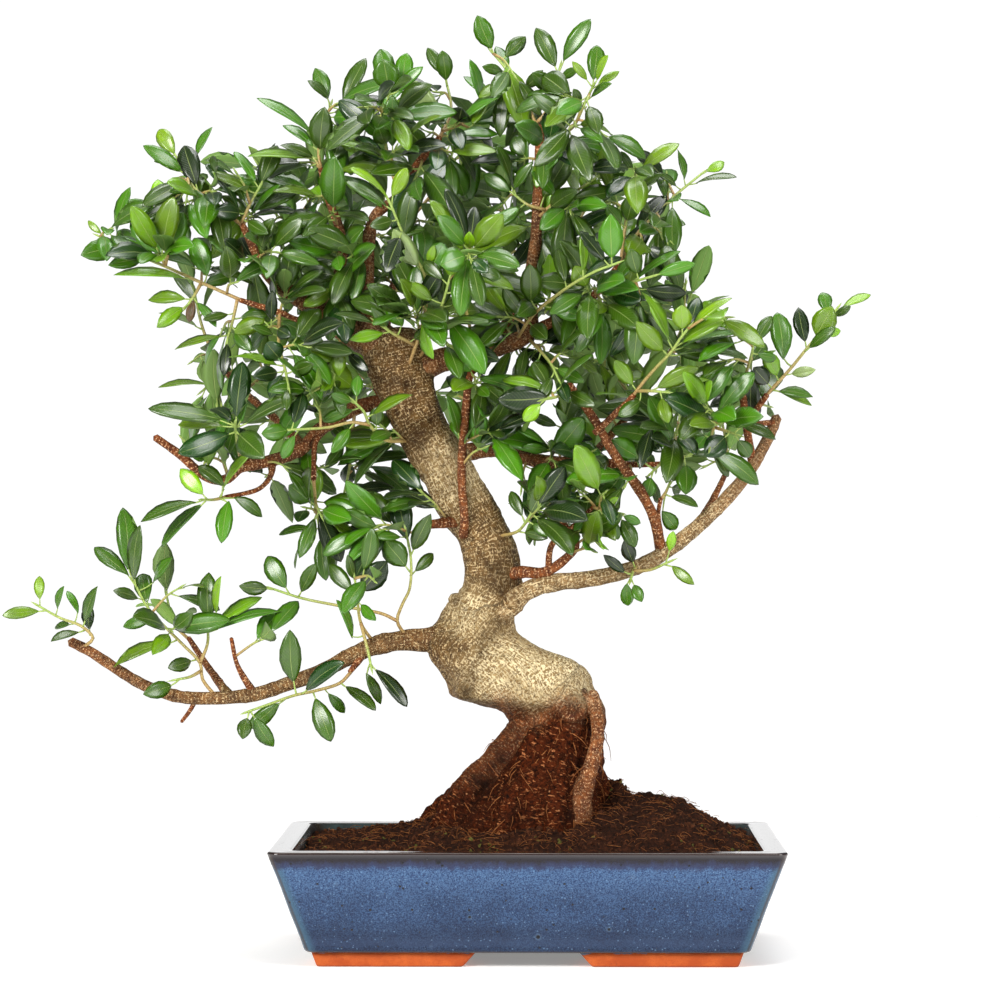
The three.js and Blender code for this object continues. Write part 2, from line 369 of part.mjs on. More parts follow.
// Sprays of the back and sides: name, stem rows of x, y, z, number of leaves, and the seed of their draw
const BACK_SPRAYS = [
  ['back_1', [[-180, 90, 558], [-196, 112, 590], [-204, 126, 616]], 6, 11],
  ['back_2', [[-184, 112, 586], [-170, 142, 610], [-160, 158, 634]], 5, 12],
  ['back_3', [[-96, 116, 572], [-120, 140, 604], [-134, 152, 634]], 6, 13],
  ['back_4', [[-92, 130, 588], [-70, 152, 616], [-58, 160, 646]], 6, 14],
  ['back_5', [[12, 96, 540], [-8, 132, 566], [-20, 156, 594]], 6, 15],
  ['back_6', [[30, 126, 570], [48, 148, 598], [58, 158, 628]], 6, 16],
  ['back_7', [[88, 86, 438], [72, 118, 458], [60, 142, 484]], 5, 17],
  ['back_8', [[106, 106, 468], [122, 124, 496], [130, 132, 524]], 6, 18],
  ['back_9', [[-228, 84, 448], [-212, 116, 462], [-200, 140, 484]], 5, 19],
  ['back_10', [[-251, 100, 472], [-262, 112, 502], [-268, 118, 530]], 5, 20],
  ['back_11', [[-108, 108, 430], [-90, 138, 440], [-78, 160, 460]], 5, 21],
  ['back_12', [[-124, 138, 450], [-146, 158, 476], [-158, 170, 504]], 5, 22],
  ['back_13', [[-271, 54, 248], [-284, 80, 262], [-290, 100, 284]], 4, 23],
  ['back_14', [[159, 57, 384], [158, 84, 408], [152, 104, 436]], 4, 24],
];

// A point that shows at x and z from the front, at its own depth y
function seen(x, y, z) {
  const spread = 1 + y / VIEW_DISTANCE;
  return new THREE.Vector3(EYE_X + (x - EYE_X) * spread, y, EYE_HEIGHT + (z - EYE_HEIGHT) * spread);
}

// A closed body of a three.js geometry
function bodyOf(geometry) {
  geometry.deleteAttribute('normal');
  geometry.deleteAttribute('uv');
  const merged = mergeVertices(geometry);
  return new wasm.Manifold(new wasm.Mesh({
    numProp: 3,
    vertProperties: new Float32Array(merged.attributes.position.array),
    triVerts: new Uint32Array(merged.index.array),
  }));
}

// A body of listed points and triangles
function facetedBody(points, faces) {
  const geometry = new THREE.BufferGeometry().setFromPoints(points);
  geometry.setIndex(faces);
  return bodyOf(geometry);
}

// A body stretched over rings of equal point count that run anticlockwise about the way of travel
function loft(rings) {
  const sides = rings[0].length;
  const last = (rings.length - 1) * sides;
  const faces = [];
  for (let start = 0; start < last; start += sides) {
    for (let i = 0; i < sides; i++) {
      const here = start + i;
      const beside = start + (i + 1) % sides;
      faces.push(here, beside, beside + sides, here, beside + sides, here + sides);
    }
  }
  for (let i = 1; i < sides - 1; i++) {
    faces.push(0, i + 1, i, last, last + i, last + i + 1);
  }
  return facetedBody(rings.flat(), faces);
}

// A round ring about a middle, square to a direction
function roundRing(middle, normal, direction, radius, sides) {
  const across = new THREE.Vector3().crossVectors(direction, normal);
  return Array.from({ length: sides }, (_, i) => {
    const angle = (2 * Math.PI * i) / sides;
    return middle.clone()
      .addScaledVector(normal, radius * Math.cos(angle))
      .addScaledVector(across, radius * Math.sin(angle));
  });
}

// A swept round piece through rows of middle and radius, grown all over to cut its own socket
function sweep(middles, radii, sides, growth) {
  const count = middles.length;
  const ways = middles.map((_, i) => new THREE.Vector3()
    .subVectors(middles[Math.min(i + 1, count - 1)], middles[Math.max(i - 1, 0)]).normalize());
  const guide = Math.abs(ways[0].y) < 0.7 ? new THREE.Vector3(0, 1, 0) : new THREE.Vector3(0, 0, 1);
  let normal = guide.addScaledVector(ways[0], -guide.dot(ways[0])).normalize();
  const rings = [];
  for (let i = 0; i < count; i++) {
    if (i > 0) {
      const turn = new THREE.Quaternion().setFromUnitVectors(ways[i - 1], ways[i]);
      normal = normal.clone().applyQuaternion(turn);
    }
    const middle = middles[i].clone();
    if (i === 0) middle.addScaledVector(ways[i], -growth);
    if (i === count - 1) middle.addScaledVector(ways[i], growth);
    rings.push(roundRing(middle, normal, ways[i], radii[i] + growth, sides));
  }
  return loft(rings);
}

// The piece of a body that holds the most material, with the needless corners of its joins taken out
function largestPiece(body) {
  const pieces = body.asOriginal().simplify(JOIN_TOLERANCE).decompose();
  return pieces.reduce((best, piece) => (piece.volume() > best.volume() ? piece : best));
}

// A rectangle with rounded corners, anticlockwise seen from above
function roundedRectangle(halfLength, halfDepth, radius, height) {
  const steps = 3;
  const corners = [[1, 1, 0], [-1, 1, 1], [-1, -1, 2], [1, -1, 3]];
  return corners.flatMap(([sx, sy, quarter]) => Array.from({ length: steps + 1 }, (_, i) => {
    const angle = (Math.PI / 2) * (quarter + i / steps);
    return new THREE.Vector3(
      sx * (halfLength - radius) + radius * Math.cos(angle),
      sy * (halfDepth - radius) + radius * Math.sin(angle),
      height,
    );
  }));
}

// A box with its middle at x, y and its underside at z
function boxBody(length, depth, height, x, y, z) {
  return bodyOf(new THREE.BoxGeometry(length, depth, height).translate(x, y, z + height / 2));
}

// Pot
const FLOOR_TOP = FOOT_HEIGHT + FLOOR_THICKNESS;

function potCavity(clearance, bottom) {
  const slope = WALL_TAPER / (POT_HEIGHT - FOOT_HEIGHT);
  const inset = (height) => RIM_WIDTH + (POT_HEIGHT - height) * slope + clearance;
  const ring = (height) => roundedRectangle(
    RIM_LENGTH / 2 - inset(height), RIM_DEPTH / 2 - inset(height), CORNER_RADIUS - 2, height);
  return loft([ring(bottom), ring(POT_HEIGHT + 60)]);
}

function foot(sideX, sideY) {
  const outerEnd = RIM_LENGTH / 2 - WALL_TAPER - FOOT_INSET;
  const outerSide = RIM_DEPTH / 2 - WALL_TAPER - FOOT_INSET;
  const ring = (height, inner, outer, near, far) => {
    const xs = [sideX * inner, sideX * outer].sort((a, b) => a - b);
    const ys = [sideY * near, sideY * far].sort((a, b) => a - b);
    return [[xs[0], ys[0]], [xs[1], ys[0]], [xs[1], ys[1]], [xs[0], ys[1]]]
      .map(([x, y]) => new THREE.Vector3(x, y, height));
  };
  const innerSide = outerSide - FOOT_DEPTH;
  return loft([
    ring(0, FOOT_INNER_END + FOOT_CHAMFER, outerEnd - 4, innerSide + 4, outerSide - 3),
    ring(FOOT_HEIGHT + 2, FOOT_INNER_END, outerEnd, innerSide, outerSide),
  ]);
}

function potBody() {
  const bottomRound = 3;
  const outside = (height, inset, radius) => roundedRectangle(
    RIM_LENGTH / 2 - inset, RIM_DEPTH / 2 - inset, radius, height);
  let pot = loft([
    outside(FOOT_HEIGHT, WALL_TAPER + bottomRound, CORNER_RADIUS),
    outside(FOOT_HEIGHT + bottomRound, WALL_TAPER - 1, CORNER_RADIUS),
    outside(POT_HEIGHT - 1.5, 0.5, CORNER_RADIUS),
    outside(POT_HEIGHT, 1.5, CORNER_RADIUS),
  ]);
  for (const [sideX, sideY] of [[-1, -1], [1, -1], [-1, 1], [1, 1]]) {
    pot = pot.add(foot(sideX, sideY));
  }
  pot = pot.subtract(potCavity(0, FLOOR_TOP));
  for (const side of [-1, 1]) {
    const hole = new THREE.CylinderGeometry(DRAIN_HOLE_RADIUS, DRAIN_HOLE_RADIUS, 4 * FLOOR_THICKNESS, 12);
    pot = pot.subtract(bodyOf(hole.rotateX(Math.PI / 2).translate(side * DRAIN_HOLE_X, 0, FOOT_HEIGHT)));
  }
  return pot;
}

// Drain screens: a thin square plate with square holes
function screenBody(side) {
  let screen = boxBody(SCREEN_SIZE, SCREEN_SIZE, SCREEN_THICKNESS, side * DRAIN_HOLE_X, 0, FLOOR_TOP + GAP);
  const pitch = (SCREEN_SIZE - 4) / SCREEN_HOLES_ACROSS;
  const first = -pitch * (SCREEN_HOLES_ACROSS - 1) / 2;
  for (let row = 0; row < SCREEN_HOLES_ACROSS; row++) {
    for (let column = 0; column < SCREEN_HOLES_ACROSS; column++) {
      screen = screen.subtract(boxBody(SCREEN_HOLE, SCREEN_HOLE, 3 * SCREEN_THICKNESS,
        side * DRAIN_HOLE_X + first + pitch * column, first + pitch * row, FLOOR_TOP - SCREEN_THICKNESS));
    }
  }
  return screen;
}

// Soil: a height over the pot's plan, cut to the cavity, the screens and the roots
function crestHeight(x) {
  const next = SOIL_CREST.findIndex(([at]) => at >= x);
  if (next <= 0) return SOIL_CREST[next === 0 ? 0 : SOIL_CREST.length - 1][1];
  const [x0, z0] = SOIL_CREST[next - 1];
  const [x1, z1] = SOIL_CREST[next];
  return z0 + (z1 - z0) * (x - x0) / (x1 - x0);
}

function soilHeight(x, y) {
  const fromCrest = Math.min(1, Math.abs(y - SOIL_CREST_Y) / SOIL_HALF_DEPTH);
  const fall = 1 - fromCrest ** 2;
  const clods = 1.1 * Math.sin(0.11 * x + 0.07 * y) + 0.9 * Math.sin(0.05 * x - 0.13 * y);
  return SOIL_EDGE_HEIGHT + (crestHeight(x) - SOIL_EDGE_HEIGHT) * fall + clods;
}

function soilBody(woodSocket) {
  const columns = 13;
  const rows = 7;
  const halfLength = 186;
  const halfDepth = 128;
  const points = [];
  const faces = [];
  const layer = (columns + 1) * (rows + 1);
  for (const top of [false, true]) {
    for (let row = 0; row <= rows; row++) {
      for (let column = 0; column <= columns; column++) {
        const x = -halfLength + (2 * halfLength * column) / columns;
        const y = -halfDepth + (2 * halfDepth * row) / rows;
        points.push(new THREE.Vector3(x, y, top ? soilHeight(x, y) : FLOOR_TOP - 5));
      }
    }
  }
  const at = (column, row) => row * (columns + 1) + column;
  for (let row = 0; row < rows; row++) {
    for (let column = 0; column < columns; column++) {
      const a = at(column, row);
      const b = at(column + 1, row);
      const c = at(column + 1, row + 1);
      const d = at(column, row + 1);
      faces.push(a, c, b, a, d, c, layer + a, layer + b, layer + c, layer + a, layer + c, layer + d);
    }
  }
  const wall = (a, b) => faces.push(a, b, layer + b, a, layer + b, layer + a);
  for (let column = 0; column < columns; column++) {
    wall(at(column, 0), at(column + 1, 0));
    wall(at(column + 1, rows), at(column, rows));
  }
  for (let row = 0; row < rows; row++) {
    wall(at(columns, row), at(columns, row + 1));
    wall(at(0, row + 1), at(0, row));
  }
  let soil = facetedBody(points, faces).intersect(potCavity(GAP, FLOOR_TOP + GAP)).subtract(woodSocket);
  for (const side of [-1, 1]) {
    const pocket = SCREEN_SIZE + 2 * GAP;
    soil = soil.subtract(boxBody(pocket, pocket, SCREEN_THICKNESS + 3 * GAP, side * DRAIN_HOLE_X, 0, FLOOR_TOP));
  }
  return largestPiece(soil);
}

// Trunk, roots, limbs and woody twigs: one grown piece
function trunkCore(growth) {
  const rings = TRUNK_SECTIONS.map(([height, middleX, middleY, halfWidth, halfDepth]) => {
    const middle = seen(middleX, middleY, height);
    return Array.from({ length: TRUNK_SIDES }, (_, i) => {
      const angle = (2 * Math.PI * i) / TRUNK_SIDES;
      const lumps = 1 + 0.04 * Math.sin(3 * angle + 0.09 * height) + 0.03 * Math.sin(5 * angle - 0.06 * height);
      return new THREE.Vector3(
        middle.x + (halfWidth * lumps + growth) * Math.cos(angle),
        middle.y + (halfDepth * lumps + growth) * Math.sin(angle),
        middle.z,
      );
    });
  });
  rings[0].forEach((point) => { point.z -= growth; });
  rings.at(-1).forEach((point) => { point.z += growth; });
  return loft(rings);
}

function knobBody([x, y, z, radiusX, radiusY, radiusZ], growth) {
  const knob = new THREE.DodecahedronGeometry(1, 0);
  knob.scale(radiusX + growth, radiusY + growth, radiusZ + growth);
  const middle = seen(x, y, z);
  return bodyOf(knob.translate(middle.x, middle.y, middle.z));
}

function woodSweep(rows, sides, growth) {
  return sweep(rows.map(([x, y, z]) => seen(x, y, z)), rows.map((row) => row[3]), sides, growth);
}

function woodBody(growth) {
  let wood = trunkCore(growth);
  for (const knob of TRUNK_KNOBS) wood = wood.add(knobBody(knob, growth));
  for (const root of ROOTS) wood = wood.add(woodSweep(root, 5, growth));
  for (const limb of LIMBS) wood = wood.add(woodSweep(limb, 5, growth));
  for (const twig of WOODY_TWIGS) wood = wood.add(woodSweep(twig, twig[0][3] > 3.5 ? 4 : 3, growth));
  for (const twig of BACK_TWIGS) wood = wood.add(woodSweep(twig, 4, growth));
  return wood;
}

// Leaves
function squareTo(vector, direction) {
  return vector.clone().addScaledVector(direction, -vector.dot(direction)).normalize();
}

// One leaf: arched along its length and of one thickness, widening from its root in the stem
function leafBody({ root, base, tip, facing, width }, growth, fromStem) {
  const along = new THREE.Vector3().subVectors(tip, base);
  const length = along.length();
  along.normalize();
  const up = squareTo(facing, along);
  const right = new THREE.Vector3().crossVectors(along, up);
  const half = BLADE_THICKNESS / 2 + growth;
  const corner = (share, side, level) => base.clone()
    .addScaledVector(along, length * share)
    .addScaledVector(right, side)
    .addScaledVector(up, 4 * BLADE_ARCH * length * share * (1 - share) + level);
  const start = fromStem ? root : base;
  const points = [
    start.clone().addScaledVector(up, half),
    start.clone().addScaledVector(up, -half),
  ];
  const stations = length > LARGE_LEAF_LENGTH ? LARGE_LEAF_STATIONS : SMALL_LEAF_STATIONS;
  for (const [share, fullness] of stations) {
    const edge = (fullness * width) / 2 + growth;
    points.push(corner(share, -edge, half), corner(share, edge, half));
    points.push(corner(share, edge, -half), corner(share, -edge, -half));
  }
  points.push(corner(1 + growth / length, 0, half), corner(1 + growth / length, 0, -half));

  const faces = [0, 3, 2, 0, 1, 4, 0, 4, 3, 1, 5, 4, 1, 0, 2, 1, 2, 5];
  const last = 4 * stations.length - 2;
  for (let ring = 2; ring < last; ring += 4) {
    for (let i = 0; i < 4; i++) {
      const here = ring + i;
      const beside = ring + (i + 1) % 4;
      faces.push(here, beside, beside + 4, here, beside + 4, here + 4);
    }
  }
  const top = last + 4;
  const bottom = last + 5;
  faces.push(
    last, last + 1, top, last + 1, last + 2, bottom, last + 1, bottom, top,
    last + 2, last + 3, bottom, last + 3, last, top, last + 3, top, bottom,
  );
  return facetedBody(points, faces);
}

// The place on a spray's stems that is nearest to a point in the front view, clear of the wood at their foot
function nearestOnStems(stems, x, z, order) {
  let best = null;
  for (const stem of stems) {
    for (let i = 0; i < stem.length - 1; i++) {
      const start = new THREE.Vector3(...stem[i]);
      const end = new THREE.Vector3(...stem[i + 1]);
      const reach = start.distanceTo(end);
      const spanX = end.x - start.x;
      const spanZ = end.z - start.z;
      const along = ((x - start.x) * spanX + (z - start.z) * spanZ) / (spanX ** 2 + spanZ ** 2);
      const least = stem === stems[0] && i === 0 ? Math.min(1, (STEM_FOOT + TIP_STEP * (order % 3)) / reach) : 0;
      const most = i === stem.length - 2 ? 1 - (STEM_TIP + TIP_STEP * (order % 4)) / reach : 1;
      const place = start.lerp(end, Math.max(least, Math.min(most, along)));
      const distance = Math.hypot(place.x - x, place.z - z);
      if (best === null || distance < best.distance) best = { place, distance };
    }
  }
  return best.place;
}

// A leaf from its row: turned about its length until it shows the stated width, its upper face up
function leafFromRow(stems, [baseX, baseZ, tipX, tipZ, shownWidth, tipDepth], order) {
  const place = nearestOnStems(stems, baseX, baseZ, order);
  const root = seen(place.x, place.y, place.z);
  const tip = seen(tipX, place.y + TIP_DEPTH * tipDepth, tipZ);
  let base = seen(baseX, place.y + 0.1 * tipDepth, baseZ);
  const toTip = new THREE.Vector3().subVectors(tip, root).normalize();
  const toBase = new THREE.Vector3().subVectors(base, root);
  if (toBase.length() < STALK_LENGTH || toBase.normalize().dot(toTip) < 0.3) {
    base = root.clone().addScaledVector(toTip, STALK_LENGTH);
  }
  const along = new THREE.Vector3().subVectors(tip, base);
  const width = Math.max(shownWidth, SLENDEREST_BLADE * along.length());
  along.normalize();
  const front = squareTo(new THREE.Vector3(0, -1, 0), along);
  const upward = squareTo(new THREE.Vector3(0, -0.3, 1), along);
  const over = squareTo(upward, front).normalize();
  const turn = Math.acos(Math.min(1, shownWidth / width));
  const facing = front.multiplyScalar(Math.cos(turn)).addScaledVector(over, Math.sin(turn)).normalize();
  return { root, base, tip, facing, width };
}

// Repeatable draws between 0 and 1
function seededDraw(seed) {
  let state = seed;
  return () => {
    state = (state + 0x6D2B79F5) | 0;
    let mixed = Math.imul(state ^ (state >>> 15), 1 | state);
    mixed = (mixed + Math.imul(mixed ^ (mixed >>> 7), 61 | mixed)) ^ mixed;
    return ((mixed ^ (mixed >>> 14)) >>> 0) / 4294967296;
  };
}

// Leaves set round a stem by the golden angle, wide at its foot and closing towards its tip
function leavesRoundStem(stem, count, seed) {
  const draw = seededDraw(seed);
  const path = stem.map(([x, y, z]) => seen(x, y, z));
  const leaves = [];
  for (let i = 0; i < count; i++) {
    const share = 0.24 + (0.72 * i) / (count - 1);
    const place = share * (path.length - 1);
    const index = Math.min(path.length - 2, Math.floor(place));
    const way = new THREE.Vector3().subVectors(path[index + 1], path[index]).normalize();
    const root = path[index].clone().lerp(path[index + 1], place - index);
    const side = squareTo(new THREE.Vector3(1, 0, 0), way);
    side.applyAxisAngle(way, i * 2.39996 + seed);
    const lean = (68 - 34 * share + 10 * (draw() - 0.5)) * Math.PI / 180;
    const along = way.clone().multiplyScalar(Math.cos(lean)).addScaledVector(side, Math.sin(lean));
    const length = 40 * (0.82 + 0.36 * draw());
    const base = root.clone().addScaledVector(along, STALK_LENGTH);
    const tip = base.clone().addScaledVector(along, length);
    tip.z -= 0.12 * length * draw();
    const facing = way.clone().addScaledVector(new THREE.Vector3(0, 0, 1), 0.8).normalize();
    leaves.push({ root, base, tip, facing, width: length * (0.40 + 0.06 * draw()) });
  }
  return leaves;
}

// Small shifts of the tip in depth and turns about the length, tried in order until a leaf crosses nothing
const BENDS = [];
for (const turn of [0, 0.5, -0.5, 0.9]) {
  for (const shift of [0, -8, 8, -16, 16, -26, 26]) BENDS.push([shift, turn]);
}

function bent(leaf, [shift, turn]) {
  const tip = leaf.tip.clone();
  tip.y += shift;
  const along = new THREE.Vector3().subVectors(tip, leaf.base).normalize();
  return { ...leaf, tip, facing: squareTo(leaf.facing, along).applyAxisAngle(along, turn) };
}

function boxesMeet(a, b) {
  return [0, 1, 2].every((i) => a.min[i] <= b.max[i] && b.min[i] <= a.max[i]);
}

// A body with its box, for quick tests
function boxed(body) {
  return { body, box: body.boundingBox() };
}

function crosses(one, other) {
  return boxesMeet(one.box, other.box) && !one.body.intersect(other.body).isEmpty();
}

// Stems drawn back in depth, more and more towards the tips
function drawnBack(stems, reach) {
  const [footX, , footZ] = stems[0][0];
  const away = ([x, , z]) => Math.hypot(x - footX, z - footZ);
  const farthest = Math.max(...stems.flat().map(away));
  return stems.map((rows) => rows.map((row) => {
    const share = away(row) / farthest;
    return [row[0], row[1] + reach * share ** 1.3, row[2]];
  }));
}

// Green stems of a spray, cut to the wood that carries them
function stemsBody(stems, woodSocket) {
  let body = null;
  for (const rows of stems) {
    const radii = rows.map((_, i) => GREEN_STEM_RADIUS * (1 - 0.28 * i / (rows.length - 1)));
    const stem = sweep(rows.map(([x, y, z]) => seen(x, y, z)), radii, 3, 0);
    body = body ? body.add(stem) : stem;
  }
  return largestPiece(body.subtract(woodSocket));
}

// The whole plant and pot
const wood = woodBody(0);
const woodSocket = woodBody(SOCKET_GROWTH);
const woodTest = boxed(woodSocket);

const sprays = [
  ...SPRAYS.map(([name, reach, flatStems, rows]) => {
    const stems = drawnBack(flatStems, reach);
    return { name, stems, leaves: rows.map((row, i) => leafFromRow(stems, row, i)) };
  }),
  ...BACK_SPRAYS.map(([name, stem, count, seed]) => (
    { name, stems: [stem], leaves: leavesRoundStem(stem, count, seed) })),
].map((spray) => ({ ...spray, body: stemsBody(spray.stems, woodSocket), placed: [] }));

for (const spray of sprays) {
  const others = sprays.filter((other) => other !== spray);
  const stemsOfOthers = others.map((other) => boxed(stemsBody(other.stems, woodSocket)));
  for (const leaf of spray.leaves) {
    const clear = (bend, ownToo) => {
      const trial = bent(leaf, bend);
      const blade = boxed(leafBody(trial, GAP, false));
      if (crosses(blade, woodTest)) return false;
      if (ownToo && spray.placed.some((own) => crosses(blade, own.blade))) return false;
      const whole = boxed(leafBody(trial, GAP, true));
      if (stemsOfOthers.some((stem) => crosses(whole, stem))) return false;
      return !others.some((other) => other.placed.some((placed) => crosses(whole, placed.whole)));
    };
    const bend = BENDS.find((each) => clear(each, true)) ?? BENDS.find((each) => clear(each, false));
    if (bend) {
      const settled = bent(leaf, bend);
      spray.placed.push({ blade: boxed(leafBody(settled, 0, false)), whole: boxed(leafBody(settled, 0, true)) });
    }
  }
}

// Materials of the sub-parts
const finishes = {
  glaze: new THREE.MeshStandardMaterial({ color: 0x2c4a78, roughness: 0.18, metalness: 0 }),
  peat: new THREE.MeshStandardMaterial({ color: 0x2e1a0f, roughness: 0.95, metalness: 0 }),
  bark: new THREE.MeshStandardMaterial({ color: 0x7d6242, roughness: 0.85, metalness: 0 }),
  leaf: new THREE.MeshStandardMaterial({ color: 0x3f7a2c, roughness: 0.35, metalness: 0 }),
  screen: new THREE.MeshStandardMaterial({ color: 0x1c1c1c, roughness: 0.6, metalness: 0 }),
};

function meshOf(name, body, material) {
  const { vertProperties, triVerts } = body.getMesh();
  const geometry = new THREE.BufferGeometry();
  geometry.setAttribute('position', new THREE.BufferAttribute(new Float32Array(vertProperties), 3));
  geometry.setIndex(new THREE.BufferAttribute(new Uint32Array(triVerts), 1));
  geometry.computeVertexNormals();
  const mesh = new THREE.Mesh(geometry, material);
  mesh.name = name;
  return mesh;
}

const group = new THREE.Group();
group.add(meshOf('pot', potBody(), finishes.glaze));
group.add(meshOf('drain_screen_left', screenBody(-1), finishes.screen));
group.add(meshOf('drain_screen_right', screenBody(1), finishes.screen));
group.add(meshOf('soil', soilBody(woodSocket), finishes.peat));
group.add(meshOf('trunk', largestPiece(wood), finishes.bark));
for (const spray of sprays) {
  const joined = spray.placed.reduce((body, leaf) => body.add(leaf.whole.body), spray.body);
  group.add(meshOf(`spray_${spray.name}`, largestPiece(joined.subtract(woodSocket)), finishes.leaf));
}

const box = new THREE.Box3().setFromObject(group);
const centre = box.getCenter(new THREE.Vector3());
group.position.set(-centre.x, -centre.y, -box.min.z);
group.updateMatrixWorld(true);

export default group;
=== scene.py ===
import math
import random

import bpy
import numpy as np
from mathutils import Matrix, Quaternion, Vector, kdtree, noise
from mathutils.bvhtree import BVHTree


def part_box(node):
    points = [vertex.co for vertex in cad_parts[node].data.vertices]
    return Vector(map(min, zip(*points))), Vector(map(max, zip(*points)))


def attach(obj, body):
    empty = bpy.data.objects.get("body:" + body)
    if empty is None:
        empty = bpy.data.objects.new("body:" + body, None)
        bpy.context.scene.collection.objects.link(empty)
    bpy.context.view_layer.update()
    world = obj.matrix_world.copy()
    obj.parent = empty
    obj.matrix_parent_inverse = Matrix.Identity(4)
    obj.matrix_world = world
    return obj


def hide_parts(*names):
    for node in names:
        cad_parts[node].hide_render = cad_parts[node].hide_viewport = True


# A chinese banyan bonsai in its blue glazed pot. Shapes are worked out in millimetres with zero under the
# middle of the pot, and set down in metres in the frame when a mesh is made.

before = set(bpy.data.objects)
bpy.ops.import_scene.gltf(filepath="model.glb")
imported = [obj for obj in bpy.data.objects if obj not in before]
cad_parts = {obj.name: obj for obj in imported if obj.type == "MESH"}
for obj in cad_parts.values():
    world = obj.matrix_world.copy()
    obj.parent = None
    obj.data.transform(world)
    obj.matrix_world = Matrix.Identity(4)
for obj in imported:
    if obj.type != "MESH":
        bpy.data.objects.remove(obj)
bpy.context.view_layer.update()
pot_low, pot_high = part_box("pot")
MM = 0.001
POT_MIDDLE = np.array(((pot_low.x + pot_high.x) / 2, (pot_low.y + pot_high.y) / 2, 0.0))

# Pot
RIM_LENGTH = 400
RIM_DEPTH = 280
POT_HEIGHT = 91.5
WALL_TAPER = 28
RIM_WIDTH = 18.5
FLOOR_TOP = 20.5
CORNER_RADIUS = 9
FOOT_HEIGHT = 11.5
FOOT_INNER_END = 40
FOOT_INSET = 5
FOOT_DEPTH = 55
FOOT_CHAMFER = 10
DRAIN_HOLE_RADIUS = 11
DRAIN_HOLE_X = 85
EDGE_ROUND = 1.6
EDGE_INSET = 0.6

# Soil
SOIL_EDGE_HEIGHT = 83
SOIL_UNDERSIDE = 22.0
SOIL_CREST_Y = 8
SOIL_HALF_DEPTH = 126
SOIL_CREST = [
    (-184, 84), (-150, 90), (-103, 97), (-69, 106), (-30, 111), (0, 113), (40, 116),
    (71, 121), (115, 119), (130, 111), (148, 101), (172, 89), (184, 84),
]

SOIL_CLODS = [(63, -4, 11, 17), (-66, -24, 18, 6), (90, 8, 16, 5), (52, 24, 16, 8)]

# Leaves and green stems
STALK_LENGTH = 6
SLENDEREST_BLADE = 0.36
BLADE_ARCH = 0.07
TIP_DEPTH = 1.5
STEM_FOOT = 7
STEM_TIP = 1.6
TIP_STEP = 1.1
GREEN_STEM_RADIUS = 1.5
BACK_LEAF_LENGTH = 40
SHOOT_LEAF_LENGTH = 42
GOLDEN_ANGLE = 2.39996

# Widths and heights are as they show to a standing viewer this far away; depth spreads them
VIEW_DISTANCE = 2940
EYE_X = 17.4
EYE_HEIGHT = 360.8
VIEW_TURN = math.radians(0.78)
LENS = 132.2

# Trunk sections from the soil up: middle x, y, height, half width, half depth
TRUNK_SECTIONS = [
    (0, 4, 78, 46, 40), (1, 2, 111, 55, 47), (3, 1, 134, 52, 45), (9, 1, 150, 46, 41), (15, 2, 163, 42, 38),
    (20, 3, 172, 39, 36), (24, 4, 181, 38, 35), (20, 3, 191, 42, 37), (11, 1, 197, 50, 39),
    (-1, -1, 203, 58, 41), (-6, -2, 212, 57.5, 42), (-10, -3, 221, 59, 42), (-19, -3, 231, 57.5, 41),
    (-33, -2, 241, 47, 38), (-43, -1, 252, 37, 33), (-42, 0, 263, 31, 29), (-38, 1, 276, 28, 27),
    (-30, 2, 293, 23.5, 24), (-32, 3, 326, 23, 22), (-42, 3, 342, 25, 21.5), (-52, 2, 358, 25, 21),
    (-60, 1, 375, 24, 21), (-70, 0, 391, 25, 21), (-79, 0, 407, 24.5, 21.5), (-88, 1, 423, 22.5, 21),
    (-95, 2, 439, 23, 21), (-105, 3, 472, 26.5, 22), (-108, 2, 489, 26, 20), (-112, 2, 499, 18, 15),
]

# Roots and limbs as rows of x, y, z and radius; every one starts inside what carries it
ROOTS = [
    [(-2, -22, 182, 11), (-22, -30, 156, 12), (-42, -34, 134, 13), (-58, -37, 114, 13), (-70, -40, 92, 12)],
    [(50, -22, 206, 6), (55, -32, 188, 6), (55, -40, 168, 6), (51, -46, 152, 6.5), (46, -51, 132, 7),
     (41, -55, 96, 7)],
    [(42, -6, 168, 11), (50, -6, 142, 11), (60, -4, 124, 11), (74, 0, 98, 9)],
    [(8, -30, 172, 11), (0, -44, 146, 11), (-12, -56, 122, 12), (-20, -66, 92, 10)],
    [(24, -30, 170, 10), (24, -46, 142, 10), (21, -60, 118, 10), (22, -72, 90, 8)],
    [(-20, -6, 150, 12), (-44, -6, 130, 11), (-66, -2, 114, 10), (-92, 3, 92, 7)],
    [(10, 30, 168, 11), (2, 46, 142, 11), (-8, 60, 118, 10), (-16, 78, 90, 8)],
    [(28, 26, 170, 10), (38, 42, 142, 10), (48, 54, 120, 9), (62, 72, 92, 7)],
    [(-16, 18, 152, 11), (-38, 34, 130, 10), (-54, 48, 112, 9), (-72, 62, 90, 7)],
]
ROOT_MASS = [
    (-4, -2, 88, 76, 76), (0, -4, 118, 62, 65), (9, -4, 142, 50, 54), (18, -2, 168, 40, 43),
    (22, 0, 190, 34, 32),
]
